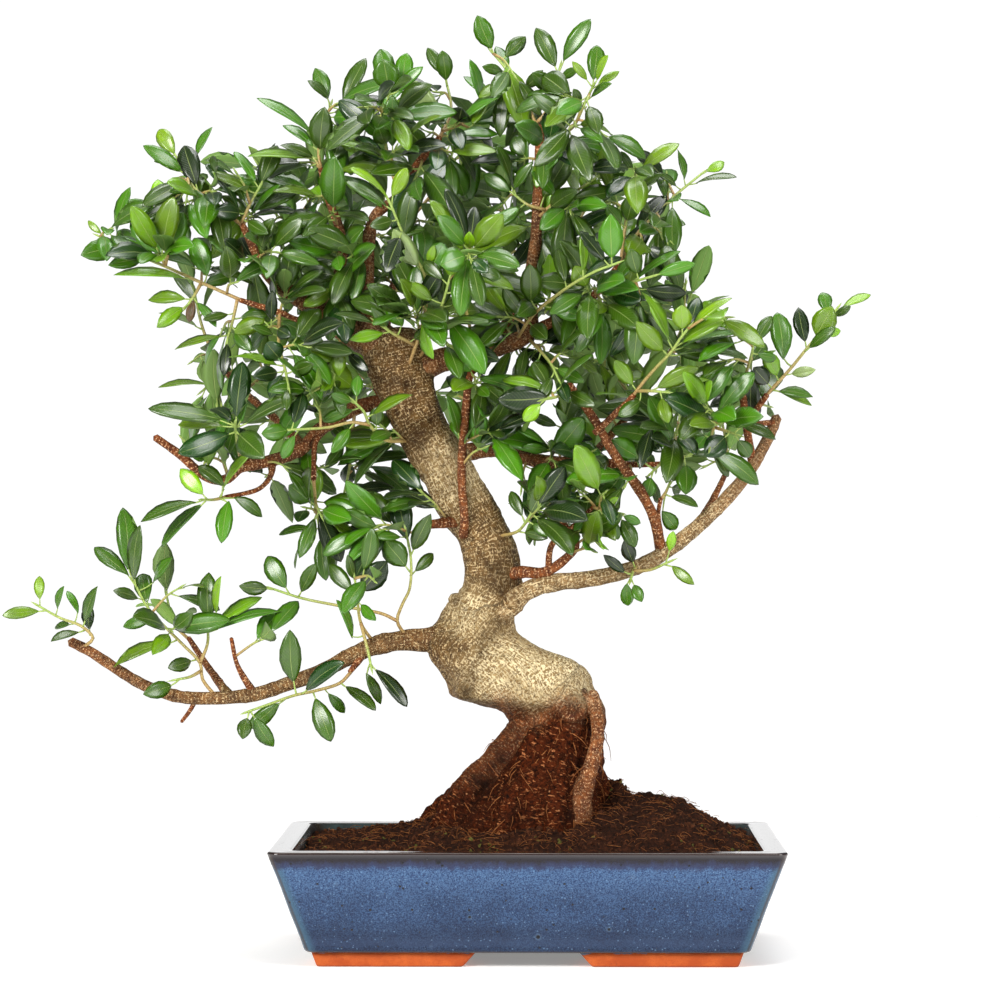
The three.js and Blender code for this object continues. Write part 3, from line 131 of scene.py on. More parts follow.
LIMBS = [
    [(-48, -6, 252, 12), (-79, -8, 249, 9.6), (-103, -8, 248, 8), (-123, -10, 244, 7.2),
     (-139, -12, 237, 6.6), (-167, -15, 223, 6), (-191, -18, 214, 5.6), (-219, -20, 205, 5.4),
     (-251, -18, 202, 5), (-279, -13, 203, 4.8), (-307, -8, 212, 4.4), (-331, -6, 226, 4.2),
     (-351, -6, 239, 4), (-367, -7, 247, 3.8)],
    [(-32, -8, 266, 10), (-15, -14, 277, 9.6), (-1, -16, 288, 7.4), (17, -18, 294, 6.8),
     (57, -16, 299, 6.4), (89, -12, 308, 6), (109, -10, 319, 6), (137, -6, 341, 5.6), (165, -4, 369, 5.2),
     (181, -2, 391, 4.8), (193, 0, 413, 4.4), (199, 0, 427, 4)],
    [(107, -9, 317, 5), (101, -16, 345, 4), (89, -22, 369, 4), (69, -26, 397, 3.7), (53, -28, 425, 3.3),
     (33, -32, 453, 2.8)],
    [(-60, 6, 398, 8), (-27, 8, 401, 6), (-7, 8, 396, 5.6), (13, 6, 391, 5.6), (49, 2, 390, 4.8),
     (72, 4, 390, 3.4)],
    [(-98, 0, 462, 13), (-79, -2, 469, 10.4), (-63, -3, 475, 8.8), (-39, -4, 481, 8), (-19, -5, 485, 7.2),
     (1, -4, 495, 6.2), (2, -2, 512, 5.4), (1, 2, 537, 5), (5, 4, 560, 4.7), (7, 2, 585, 4.4),
     (9, 0, 641, 3.6), (9, 0, 660, 3.2)],
    [(-112, 2, 480, 19), (-123, 3, 489, 16.5), (-147, 4, 501, 12.4), (-171, 6, 517, 9), (-191, 4, 527, 6.6),
     (-209, 0, 541, 4.2), (-220, -4, 562, 3.2), (-229, -6, 581, 2.6)],
    [(-130, 6, 492, 9), (-129, 4, 520, 6), (-128, 2, 565, 5), (-122, 2, 589, 4.4), (-103, 2, 605, 3.8),
     (-89, 0, 629, 3.2), (-71, -4, 651, 2.4)],
    [(-156, 8, 506, 8), (-153, 14, 535, 5.2), (-148, 20, 557, 4.6), (-152, 20, 580, 3.8),
     (-160, 12, 602, 3), (-166, 6, 626, 2.4)],
    [(-92, 10, 438, 8), (-115, 18, 439, 6.4), (-139, 20, 434, 5.8), (-167, 14, 417, 5.4),
     (-183, 8, 401, 4.9), (-207, 0, 392, 4.8), (-231, -8, 387, 4.6), (-243, -10, 377, 4),
     (-259, -12, 380, 3.6), (-279, -14, 397, 3.2), (-299, -16, 411, 2.8)],
]
WOODY_TWIGS = [
    [(-48, -8, 345, 6), (-71, -12, 342, 4.2), (-87, -14, 339, 3.2), (-92, -15, 327, 2)],
    [(-20, -4, 300, 6), (-5, -15, 303, 4.8), (13, -20, 303, 4.2), (29, -20, 313, 3.6), (38, -20, 325, 3.2),
     (30, -22, 338, 2.8), (23, -24, 357, 2.2)],
    [(16, -21, 305, 3), (19, -25, 325, 2.4), (36, -30, 340, 1.9), (53, -34, 356, 1.6)],
    [(180, -2, 388, 4), (175, -5, 417, 3.2), (173, -7, 434, 3), (171, -8, 450, 2.6)],
    [(174, -5, 420, 3.2), (181, -12, 431, 2.6), (191, -18, 445, 2.3)],
    [(200, 0, 423, 2.6), (173, -14, 422, 1.7), (149, -22, 426, 1.6)],
    [(53, -28, 414, 3), (73, -36, 433, 2.4), (85, -40, 445, 2.1)],
    [(13, 6, 389, 4), (33, 6, 383, 2.8), (57, 4, 377, 2.5)],
    [(66, 4, 390, 2.8), (89, 0, 389, 2.2), (109, -6, 390, 2)],
    [(105, -12, 335, 3), (104, -14, 350, 1.9), (106, -16, 362, 1.7)],
    [(-2, -4, 492, 5), (25, -18, 507, 3.8), (49, -24, 521, 3.3), (73, -22, 549, 2.6)],
    [(8, 1, 636, 3), (17, -8, 643, 2), (30, -14, 655, 1.8)],
    [(-170, 2, 510, 6), (-183, -6, 505, 2.6), (-199, -12, 511, 2.3), (-231, -16, 521, 2.1)],
    [(-52, -14, 332, 4), (-51, -23, 345, 3.6), (-53, -25, 370, 3.4), (-53, -27, 397, 3.4),
     (-50, -27, 433, 3.2), (-46, -24, 462, 2.9), (-30, -18, 480, 2.8)],
    [(-205, 0, 391, 3.4), (-207, -10, 379, 2.2), (-217, -16, 369, 1.9), (-243, -20, 363, 1.7)],
    [(-166, 14, 416, 4), (-171, 2, 405, 2.2), (-172, -4, 377, 2)],
    [(-130, -11, 240, 3.6), (-143, -22, 223, 2)],
    [(-220, -20, 206, 3.6), (-233, -22, 228, 2), (-238, -24, 250, 1.6)],
    [(-266, -13, 205, 2.8), (-270, -14, 194, 1.9), (-278, -14, 183, 1.4)],
]
BACK_TWIGS = [
    [(-150, 8, 504, 6), (-165, 50, 530, 4), (-180, 90, 560, 3), (-186, 116, 590, 2)],
    [(-120, 8, 488, 8), (-112, 50, 520, 4.6), (-100, 100, 552, 3.4), (-92, 132, 590, 2.2)],
    [(-30, 0, 484, 6), (-14, 44, 506, 4.4), (10, 92, 536, 3.4), (30, 128, 572, 2.2)],
    [(46, 3, 390, 4), (62, 46, 408, 3.2), (86, 84, 436, 2.6), (106, 108, 470, 1.9)],
    [(-180, 8, 403, 4.6), (-196, 50, 420, 3.4), (-226, 84, 446, 2.6), (-252, 100, 474, 1.9)],
    [(-74, 10, 400, 6), (-82, 60, 410, 4), (-106, 106, 428, 3), (-124, 140, 452, 2)],
    [(-240, -16, 204, 4), (-256, 24, 226, 2.8), (-272, 56, 250, 2)],
    [(135, -5, 339, 4.4), (146, 30, 358, 2.8), (160, 58, 386, 2)],
]

# Tone of a leaf: dead, dark, middle, skylit, light, bright and pale
W, D, M, G, L, B, P = 0, 1, 2, 3, 4, 5, 6

# Sprays: name, how far back the tips reach, green stems as rows of x, y, z, then leaves as the x and z
# of the blade's base and tip, the width that shows, how far the tip lies behind, and the tone.
# The second list of a spray holds its young leaves, which are too small to be solids of their own.
SPRAYS = [
    ("far_left", -22, [[(-358, -7, 242), (-349, -9, 250), (-359, -6, 260), (-375, -3, 266),
     (-393, 0, 276)]],
     [(-387, 271, -422, 268, 10, -6, L), (-354, 262, -345, 292, 10, -10, M),
      (-350, 254, -353, 276, 11, 16, D), (-355, 257, -383, 247, 7, -14, M)],
     [(-392, 278, -392, 300, 9, 4, B), (-377, 272, -372, 292, 6, -8, M), (-361, 270, -370, 288, 6, 6, M),
      (-365, 259, -380, 258, 6, 12, M)]),
    ("left_tall", 42, [[(-250, -18, 203), (-261, -20, 217), (-263, -22, 230), (-277, -24, 245),
     (-292, -26, 260), (-306, -24, 276), (-315, -22, 293)], [(-263, -22, 230), (-257, -26, 246),
     (-257, -28, 262)], [(-262, -21, 224), (-271, -28, 219), (-281, -30, 217)]],
     [(-321, 305, -325, 355, 18, 8, G), (-316, 297, -311, 341, 14, -12, M),
      (-320, 300, -349, 323, 12, 6, M), (-303, 276, -309, 302, 16, 18, M),
      (-297, 268, -325, 259, 10, -10, M), (-280, 250, -333, 226, 9, -4, L),
      (-256, 265, -256, 303, 17, 4, M), (-250, 270, -246, 300, 8, -10, B), (-261, 256, -213, 283, 10, 6, L),
      (-252, 255, -198, 271, 8, -10, M), (-266, 233, -289, 226, 12, -16, M),
      (-290, 255, -262, 262, 13, 14, D), (-286, 212, -309, 205, 14, -12, M)],
     [(-301, 294, -285, 315, 8, -14, M), (-310, 280, -333, 288, 9, -16, M)]),
    ("left_inner", -45, [[(-142, -22, 223), (-151, -26, 214), (-170, -30, 208), (-188, -32, 204),
     (-208, -34, 197), (-225, -34, 191)]],
     [(-230, 191, -229, 169, 12, -8, M), (-224, 189, -204, 163, 13, 6, M),
      (-188, 215, -191, 257, 18, -6, M), (-183, 211, -147, 231, 14, -16, D),
      (-195, 203, -224, 178, 13, 4, M), (-172, 205, -158, 167, 17, -8, M),
      (-150, 214, -122, 192, 10, -10, M)],
     [(-163, 208, -147, 190, 9, 10, M)]),
    ("left_neck", -30, [[(-124, -8, 247), (-134, -14, 262), (-137, -16, 281), (-139, -20, 298)],
     [(-134, -14, 262), (-131, -26, 250), (-128, -29, 238), (-126, -30, 228)]],
     [(-127, 226, -97, 195, 11, -6, D), (-130, 222, -118, 197, 9, 8, M), (-140, 283, -160, 309, 13, 10, M),
      (-135, 284, -113, 312, 20, -4, D)],
     [(-141, 250, -154, 281, 7, -6, M), (-139, 293, -145, 317, 8, -12, M),
      (-137, 280, -122, 264, 9, -14, M)]),
    ("neck_tall", 16, [[(-98, -10, 252), (-105, -18, 264), (-101, -22, 277), (-95, -24, 290),
     (-94, -28, 313), (-98, -30, 336)], [(-105, -18, 264), (-118, -19, 270), (-151, -20, 276),
     (-181, -20, 282), (-206, -22, 290)]],
     [(-190, 289, -209, 316, 17, 6, M), (-205, 290, -232, 292, 12, -8, M),
      (-184, 284, -170, 310, 12, -14, M), (-95, 303, -115, 329, 20, -4, M), (-97, 323, -105, 368, 19, 6, D),
      (-93, 316, -78, 350, 14, -10, M), (-94, 300, -76, 318, 10, 10, M)],
     [(-98, 334, -122, 331, 8, -14, M)]),
    ("mid_rosette", -38, [[(-229, -9, 386), (-233, -24, 405), (-235, -32, 421)]],
     [(-246, 425, -305, 434, 16, -8, G), (-240, 415, -281, 398, 19, -18, D),
      (-234, 427, -229, 472, 19, 4, D), (-230, 424, -221, 465, 13, 22, M),
      (-235, 416, -211, 394, 22, -24, M), (-245, 420, -281, 421, 11, 12, B),
      (-226, 422, -185, 443, 13, -8, G)],
     [(-238, 424, -254, 434, 10, 22, D)]),
    ("mid_rear", 55, [[(-240, -8, 378), (-246, 8, 400), (-245, 14, 430), (-250, 16, 455)]],
     [(-243, 443, -256, 461, 13, 10, M), (-250, 454, -297, 451, 6, 8, L), (-240, 405, -218, 396, 12, 16, M),
      (-246, 425, -226, 440, 11, 18, M), (-243, 400, -262, 408, 12, 20, M)],
     [(-250, 458, -249, 474, 7, 4, B)]),
    ("mid_low", -32, [[(-243, -20, 363), (-252, -22, 361), (-261, -24, 361)]],
     [(-261, 361, -311, 343, 10, -6, M), (-258, 359, -294, 323, 11, 6, M),
      (-240, 360, -246, 326, 14, -10, M), (-236, 363, -213, 347, 10, 10, M),
      (-257, 364, -279, 386, 14, 6, B), (-245, 368, -221, 399, 8, -12, B),
      (-244, 372, -263, 388, 12, 16, M)],
     []),
    ("mid_hanging", 28, [[(-172, -4, 378), (-170, -6, 356), (-167, -8, 336)]],
     [(-174, 356, -192, 373, 18, -8, M), (-176, 380, -178, 404, 16, 12, M),
      (-170, 352, -136, 341, 10, -12, M), (-166, 330, -162, 296, 14, -6, M),
      (-165, 329, -157, 302, 12, 16, M)],
     [(-169, 335, -200, 333, 7, 8, M), (-160, 334, -137, 347, 7, 10, M)]),
    ("mid_inner", 48, [[(-139, 18, 432), (-141, 6, 410), (-143, -2, 388), (-148, -8, 364)]],
     [(-148, 405, -163, 386, 10, -6, M), (-149, 396, -146, 374, 13, 14, D),
      (-134, 400, -130, 424, 12, -6, M), (-138, 388, -95, 396, 11, -12, M),
      (-145, 361, -107, 370, 10, -14, D), (-149, 360, -160, 336, 14, -6, D),
      (-140, 376, -120, 362, 11, 10, M), (-138, 406, -158, 420, 11, 8, M)],
     [(-141, 389, -141, 411, 10, -14, M)]),
    ("crook", -46, [[(-94, -8, 408), (-115, -24, 409), (-127, -28, 421), (-132, -34, 432),
     (-139, -36, 439)], [(-127, -28, 421), (-142, -30, 423), (-160, -32, 419), (-192, -34, 417)]],
     [(-188, 417, -214, 414, 14, -14, M), (-190, 420, -181, 447, 14, 10, D),
      (-184, 414, -197, 394, 10, 8, M), (-140, 420, -158, 398, 11, -8, M), (-143, 437, -136, 461, 10, 8, M),
      (-130, 427, -92, 445, 9, -10, L), (-124, 414, -121, 436, 12, -12, M),
      (-138, 432, -165, 424, 10, 6, M)],
     [(-141, 441, -158, 446, 10, -14, M)]),
    ("left_drape", -54, [[(-199, -12, 511), (-200, -16, 488), (-195, -20, 466), (-192, -22, 452)],
     [(-200, -14, 499), (-206, -20, 500), (-211, -24, 497)]],
     [(-206, 504, -205, 529, 10, -12, D), (-211, 505, -236, 495, 14, -8, L),
      (-197, 470, -210, 487, 18, -12, D), (-201, 463, -221, 459, 13, -16, D),
      (-196, 466, -207, 442, 12, 6, D), (-201, 467, -241, 475, 6, -6, L),
      (-194, 462, -172, 470, 13, -10, M)],
     [(-205, 497, -190, 492, 12, -10, D), (-192, 455, -193, 432, 9, -6, M),
      (-200, 492, -222, 500, 8, -14, M), (-197, 480, -180, 488, 10, 12, M)]),
    ("shoulder", -34, [[(-149, 2, 496), (-152, -14, 482), (-155, -18, 464), (-157, -18, 454)]],
     [(-157, 479, -187, 459, 16, -12, D), (-156, 484, -152, 459, 12, -18, L),
      (-144, 478, -128, 464, 10, -8, D), (-158, 452, -148, 428, 11, -8, M)],
     [(-157, 463, -166, 447, 10, -12, L), (-157, 455, -183, 451, 6, 8, M)]),
    ("left_arch", 34, [[(-228, -16, 520), (-262, -20, 535), (-291, -22, 548), (-312, -24, 557),
     (-330, -26, 567), (-343, -28, 572)], [(-291, -22, 548), (-288, -18, 566), (-291, -14, 590)],
     [(-262, -20, 535), (-268, -24, 524), (-274, -26, 516)], [(-233, -17, 522), (-237, -20, 504),
     (-241, -22, 490)]],
     [(-239, 490, -244, 460, 10, -8, D), (-236, 500, -222, 480, 13, -10, M),
      (-243, 491, -284, 481, 7, -4, L), (-232, 505, -209, 509, 12, 8, M),
      (-325, 563, -359, 557, 18, -10, M), (-305, 555, -337, 549, 13, -16, M),
      (-331, 569, -319, 612, 10, 4, M), (-343, 573, -353, 585, 6, 4, B), (-308, 564, -329, 577, 13, 12, G),
      (-295, 588, -321, 601, 10, -6, M), (-292, 593, -297, 618, 14, 10, B),
      (-279, 556, -277, 592, 18, -10, M), (-286, 578, -264, 590, 12, 8, M),
      (-257, 541, -268, 571, 18, 6, M), (-272, 533, -333, 541, 9, -6, L), (-272, 524, -305, 521, 11, 10, L),
      (-273, 518, -298, 499, 13, -12, L), (-262, 532, -238, 540, 12, 14, M)],
     [(-233, 510, -261, 505, 8, -12, M), (-284, 586, -305, 583, 9, -18, M),
      (-294, 580, -303, 559, 7, 10, M), (-262, 524, -272, 503, 8, 6, W), (-264, 520, -250, 499, 8, -8, M)]),
    ("upper_left_crest", 48, [[(-227, -6, 579), (-250, -10, 597), (-268, -14, 611), (-276, -16, 626),
     (-284, -18, 639)], [(-230, -6, 582), (-223, -12, 598), (-215, -14, 612)]],
     [(-279, 635, -296, 658, 14, 8, B), (-273, 621, -309, 645, 13, -10, M),
      (-262, 612, -276, 645, 19, 14, D), (-216, 605, -256, 623, 10, -12, L),
      (-211, 613, -201, 645, 16, 6, M), (-219, 613, -203, 648, 10, 18, D),
      (-226, 590, -252, 592, 16, -14, D), (-225, 596, -240, 622, 10, 8, M), (-215, 612, -236, 640, 9, 6, M),
      (-229, 586, -208, 574, 12, -16, M)],
     [(-266, 637, -253, 660, 8, 6, M), (-270, 613, -288, 607, 9, -14, M),
      (-284, 640, -300, 632, 8, -10, M)]),
    ("crown_left", 44, [[(-166, 6, 625), (-168, 2, 640), (-164, -2, 660), (-158, -4, 678)]],
     [(-172, 653, -218, 683, 9, -4, M), (-170, 641, -197, 661, 9, 10, M), (-166, 632, -199, 645, 9, -8, M),
      (-160, 637, -163, 676, 20, -12, G), (-150, 683, -171, 707, 14, 6, M),
      (-148, 678, -130, 715, 14, 6, M), (-166, 640, -150, 655, 11, -18, M)],
     [(-160, 683, -177, 697, 8, -10, M)]),
    ("crown_middle", -26, [[(-103, 2, 604), (-112, 4, 634), (-115, 4, 662), (-111, 4, 690)]],
     [(-114, 684, -116, 714, 22, -8, M), (-111, 692, -119, 722, 18, 12, G), (-101, 695, -97, 719, 15, 4, M),
      (-104, 688, -84, 708, 10, -6, M), (-122, 656, -152, 681, 18, 4, D),
      (-117, 649, -134, 668, 12, -12, M), (-110, 643, -121, 663, 15, -20, M),
      (-115, 633, -156, 647, 8, -8, L), (-109, 630, -139, 651, 14, 12, D)],
     [(-107, 665, -89, 677, 10, 10, M)]),
    ("crown_right", 56, [[(-72, -4, 649), (-62, -6, 672), (-66, -6, 698)], [(-69, -5, 656), (-54, -2, 662),
     (-36, 0, 674)]],
     [(-69, 699, -81, 723, 11, 6, M), (-62, 692, -69, 721, 14, -10, M), (-72, 661, -93, 697, 16, -10, P),
      (-84, 642, -99, 660, 16, -16, M), (-70, 652, -69, 672, 13, 14, M), (-53, 650, -53, 675, 20, -14, D),
      (-60, 654, -23, 683, 7, -10, M), (-30, 681, -52, 700, 9, 6, M), (-33, 676, -47, 714, 9, -4, G),
      (-40, 670, -16, 660, 13, 8, M)],
     []),
    ("front_arch", -22, [[(-95, -18, 470), (-84, -34, 505), (-82, -46, 537), (-99, -54, 571),
     (-110, -58, 597)], [(-91, -25, 485), (-108, -34, 494), (-121, -38, 503)]],
     [(-109, 604, -97, 627, 12, -4, B), (-113, 603, -143, 627, 7, -6, B), (-108, 593, -147, 616, 9, 8, M),
      (-106, 585, -127, 580, 12, -16, M), (-106, 574, -114, 542, 20, -10, D),
      (-84, 545, -109, 579, 17, -20, P), (-79, 540, -68, 567, 17, 14, G), (-86, 520, -104, 536, 12, -10, M),
      (-113, 492, -144, 489, 10, -8, L), (-122, 506, -156, 510, 7, 2, M),
      (-101, 500, -113, 525, 14, -12, M)],
     [(-80, 550, -75, 565, 8, -8, B), (-110, 498, -126, 515, 10, -14, M),
      (-95, 488, -78, 498, 10, -10, M)]),
    ("front_fork", -24, [[(-87, -6, 474), (-75, -40, 500), (-68, -50, 520), (-63, -54, 538)]],
     [(-77, 521, -97, 536, 11, -6, L), (-70, 535, -84, 552, 11, 8, M), (-62, 540, -58, 562, 13, -12, L),
      (-64, 526, -19, 531, 8, -8, L), (-66, 514, -24, 524, 8, 10, M), (-69, 500, -30, 503, 9, -14, M)],
     [(-60, 495, -72, 515, 9, -6, D)]),
    ("front_light", -26, [[(-42, -12, 482), (-50, -44, 515), (-51, -56, 545), (-47, -60, 562)]],
     [(-54, 556, -79, 601, 14, -6, L), (-50, 567, -66, 609, 13, 12, D), (-43, 563, -20, 590, 20, -8, L),
      (-44, 566, -7, 595, 11, 10, M), (-46, 550, -22, 538, 14, -6, M), (-54, 538, -42, 520, 12, -16, M)],
     [(-51, 560, -47, 576, 9, -16, B)]),
    ("crown_tip", 22, [[(9, 0, 654), (3, 2, 669), (-1, 3, 680), (-10, 4, 695), (-21, 2, 710),
     (-28, 0, 718)], [(6, 1, 662), (14, -3, 671), (19, -5, 682), (22, -6, 694), (25, -6, 706)]],
     [(-29, 719, -41, 749, 16, -4, M), (-20, 714, -2, 732, 13, 6, M), (-5, 688, 12, 705, 10, -12, M),
      (-16, 700, -26, 724, 10, 14, M), (-5, 684, -27, 681, 12, 14, M), (22, 703, 6, 739, 16, 6, M),
      (28, 712, 50, 746, 14, -4, M), (18, 688, 3, 703, 14, -14, M)],
     [(-18, 702, -37, 708, 9, -14, M), (23, 697, 41, 706, 8, -12, M)]),
    ("crown_side", -44, [[(29, -14, 654), (37, -18, 661), (46, -20, 680), (52, -20, 692)]],
     [(52, 694, 55, 725, 15, 4, M), (48, 680, 67, 694, 7, -14, M), (38, 660, 61, 662, 9, -12, M),
      (40, 662, 28, 676, 10, 12, M)],
     [(47, 697, 35, 712, 7, -6, B), (55, 697, 64, 717, 7, -10, B), (54, 692, 73, 704, 7, 4, B),
      (46, 674, 36, 690, 8, -12, M)]),
    ("heart_upper", 36, [[(8, 0, 587), (20, -16, 598), (38, -24, 608), (56, -26, 620)], [(14, -9, 593),
     (0, -13, 597), (-12, -14, 606)]],
     [(12, 603, 35, 641, 19, -8, M), (51, 611, 47, 641, 20, -10, M), (18, 590, 40, 609, 16, -24, G),
      (24, 604, 2, 622, 10, -10, M), (-10, 608, -25, 645, 9, -4, M), (-13, 603, -36, 622, 13, 8, G),
      (-5, 594, -28, 580, 12, -12, G), (-12, 609, 4, 632, 9, -8, M)],
     [(59, 624, 57, 643, 9, 4, B), (54, 625, 42, 645, 8, 8, M), (60, 616, 78, 624, 9, -10, M)]),
    ("heart_middle", -34, [[(-10, -6, 488), (5, -28, 510), (30, -40, 530), (52, -46, 543), (70, -48, 550)]],
     [(43, 540, 43, 574, 9, -4, L), (14, 521, 17, 558, 14, 12, L), (2, 520, 1, 550, 18, -14, M),
      (64, 551, 41, 575, 12, 12, D), (40, 533, 75, 555, 11, -8, D), (28, 535, 24, 562, 12, 14, M),
      (-4, 508, -20, 531, 13, -10, M), (14, 515, 47, 507, 13, -8, M), (-2, 505, 15, 489, 14, -18, M),
      (24, 526, 49, 512, 16, 8, M), (66, 554, 66, 590, 20, -10, M)],
     []),
    ("heart_hanging", -32, [[(0, -4, 490), (8, -22, 482), (18, -26, 470), (24, -26, 458)]],
     [(-2, 482, -8, 456, 11, -10, M), (10, 479, 1, 454, 10, 8, M), (22, 470, 45, 455, 11, -10, M),
      (24, 461, 32, 438, 11, 6, D), (20, 463, 8, 440, 10, -10, M)],
     []),
    ("heart_low", -20, [[(32, -32, 452), (24, -52, 444), (12, -60, 441)]],
     [(22, 443, -25, 441, 22, -6, D), (12, 438, -4, 424, 12, 10, B), (32, 446, 54, 436, 12, -16, M)],
     []),
    ("right_top", 46, [[(72, -22, 547), (80, -20, 562), (89, -18, 576), (103, -18, 590), (117, -20, 604),
     (129, -20, 614), (139, -20, 622)], [(74, -22, 551), (77, -30, 575), (81, -32, 600), (87, -32, 622)]],
     [(91, 626, 121, 646, 12, 6, B), (78, 607, 108, 622, 7, -10, M), (75, 580, 84, 606, 16, -14, M),
      (78, 578, 62, 597, 12, -10, M)],
     [(139, 624, 157, 631, 9, 4, B), (130, 611, 167, 619, 6, -6, M), (124, 614, 119, 642, 6, 6, M),
      (121, 611, 104, 622, 6, -8, M), (108, 600, 104, 622, 9, 12, M), (121, 600, 146, 587, 8, -10, M),
      (103, 586, 126, 581, 9, -12, M), (98, 590, 84, 604, 9, -14, G), (84, 622, 74, 640, 7, -8, M),
      (79, 592, 99, 612, 8, 8, M), (86, 620, 70, 612, 9, -8, M)]),
    ("right_shelf", -34, [[(52, -24, 525), (70, -38, 532), (86, -44, 536), (100, -46, 540)]],
     [(81, 541, 122, 560, 8, 4, M), (101, 541, 134, 550, 11, -4, M), (74, 537, 99, 522, 10, 14, M),
      (62, 528, 91, 520, 18, -14, D), (60, 523, 86, 503, 19, 4, M), (88, 538, 82, 562, 14, -10, M)],
     []),
    ("right_light", -32, [[(83, -39, 443), (97, -43, 461), (115, -45, 480), (121, -46, 489),
     (128, -46, 498)], [(87, -40, 448), (98, -50, 448), (110, -52, 447)]],
     [(112, 484, 90, 528, 9, -4, L), (122, 493, 123, 517, 16, -8, B), (129, 501, 136, 523, 13, 10, D),
      (120, 482, 160, 506, 12, -10, L), (131, 501, 163, 522, 8, 4, B), (118, 479, 169, 495, 5, 6, M),
      (114, 475, 176, 474, 7, 8, M), (110, 478, 86, 504, 16, -12, L), (84, 447, 69, 473, 13, -6, L),
      (98, 450, 137, 467, 14, -6, L), (110, 450, 146, 457, 8, 12, B), (108, 444, 112, 422, 12, -8, L),
      (90, 440, 72, 428, 12, -10, M)],
     []),
    ("right_heart", 42, [[(107, -6, 390), (115, -12, 400), (119, -16, 416), (122, -18, 434)],
     [(113, -10, 397), (121, -14, 395), (130, -18, 397)], [(112, -10, 396), (105, -15, 389),
     (98, -16, 382)]],
     [(124, 436, 146, 457, 13, -4, M), (123, 412, 143, 433, 21, -10, M), (118, 424, 78, 434, 7, -8, G),
      (113, 412, 66, 417, 19, -14, M), (125, 436, 160, 466, 10, 10, M), (125, 393, 159, 396, 7, -6, G),
      (126, 389, 126, 365, 18, -8, M), (88, 395, 66, 409, 19, -10, M), (130, 399, 148, 420, 14, 4, M),
      (98, 384, 94, 362, 13, -8, M)],
     [(119, 432, 111, 453, 10, 6, M), (112, 399, 100, 417, 7, -10, M), (111, 396, 97, 409, 10, 8, D),
      (94, 380, 104, 358, 8, 8, M)]),
    ("right_tip", 34, [[(189, -17, 443), (197, -20, 452), (209, -24, 465), (222, -28, 481), (231, -30, 492),
     (240, -32, 505), (247, -32, 514)]],
     [(226, 489, 243, 516, 20, -8, L), (250, 515, 274, 525, 7, 4, B), (222, 478, 246, 499, 10, -12, M),
      (220, 484, 216, 515, 13, 8, D), (193, 452, 180, 467, 15, -10, D), (197, 459, 189, 481, 14, -14, L),
      (204, 473, 199, 511, 18, 4, G), (195, 446, 228, 443, 9, -6, M), (190, 438, 227, 436, 7, 4, L)],
     [(238, 508, 235, 527, 12, 6, G), (243, 503, 258, 516, 7, -8, G), (232, 492, 250, 496, 8, 8, B),
      (207, 459, 230, 465, 9, -8, P)]),
    ("right_post", -44, [[(171, -8, 449), (174, -10, 461), (178, -12, 475), (180, -12, 484)]],
     [(182, 488, 195, 508, 11, 4, M), (178, 484, 168, 502, 12, -6, G), (173, 450, 145, 456, 11, 10, P),
      (169, 445, 145, 435, 10, -14, D), (178, 468, 190, 486, 12, 14, M)],
     [(181, 478, 198, 474, 9, 10, M), (174, 465, 166, 479, 9, 8, M), (171, 453, 161, 464, 8, -8, M)]),
    ("right_drop", -24, [[(151, -22, 425), (147, -26, 414), (145, -28, 402)], [(149, -24, 419),
     (158, -26, 416), (167, -24, 413)]],
     [(161, 414, 141, 396, 19, -10, D), (167, 412, 177, 395, 13, 6, M), (171, 421, 198, 409, 10, -8, M),
      (148, 399, 186, 373, 16, -6, M), (146, 410, 128, 420, 12, 8, M)],
     [(146, 398, 160, 379, 9, 10, M)]),
    ("trunk_edge", -22, [[(-22, -14, 332), (-8, -24, 336), (0, -28, 346)]],
     [(0, 351, 15, 378, 19, -4, M), (1, 347, 19, 332, 11, -6, M), (-7, 332, 16, 330, 9, -10, M),
      (-4, 344, -14, 368, 10, 8, M)],
     []),
    ("centre_right", 34, [[(18, 2, 394), (22, -10, 407), (29, -16, 420)]],
     [(17, 415, 52, 409, 8, -8, D), (28, 422, 1, 429, 9, -6, M), (33, 412, 62, 384, 14, -4, M),
      (20, 397, -5, 403, 10, -12, M), (31, 424, 47, 442, 10, 10, M)],
     [(26, 412, 27, 398, 7, -14, L)]),
    ("centre_under", 24, [[(34, 5, 384), (40, -6, 376), (46, -10, 366)]],
     [(45, 374, 56, 388, 11, -10, M), (46, 365, 15, 359, 10, -6, M), (48, 368, 66, 358, 11, 8, M),
      (42, 372, 30, 350, 11, 10, M)],
     [(38, 380, 17, 384, 7, -12, M)]),
    ("centre_low", -18, [[(52, -34, 355), (62, -36, 352), (74, -36, 350)]],
     [(58, 348, 72, 329, 11, 6, M), (72, 346, 86, 323, 13, -6, M), (72, 353, 90, 342, 8, 6, M),
      (50, 349, 70, 328, 11, -14, L)],
     [(54, 359, 72, 363, 6, -10, B), (48, 350, 36, 336, 9, -10, M)]),
    ("limb_shoots", -16, [[(88, -13, 309), (84, -24, 304), (82, -28, 297)], [(84, -24, 304), (98, -27, 305),
     (112, -26, 311)]],
     [(82, 309, 77, 330, 12, -8, D), (77, 303, 60, 317, 9, -6, D), (79, 294, 80, 276, 11, 8, M),
      (115, 308, 133, 293, 9, -6, L)],
     [(83, 294, 91, 279, 10, -6, M), (113, 320, 116, 336, 8, -6, B)]),
    ("limb_twig_leaves", 24, [[(106, -16, 361), (110, -20, 367), (113, -22, 374)]],
     [(106, 356, 136, 355, 8, -8, M), (112, 372, 122, 368, 11, 12, M), (107, 352, 119, 337, 13, -6, M),
      (112, 375, 125, 388, 9, 8, M)],
     []),
]

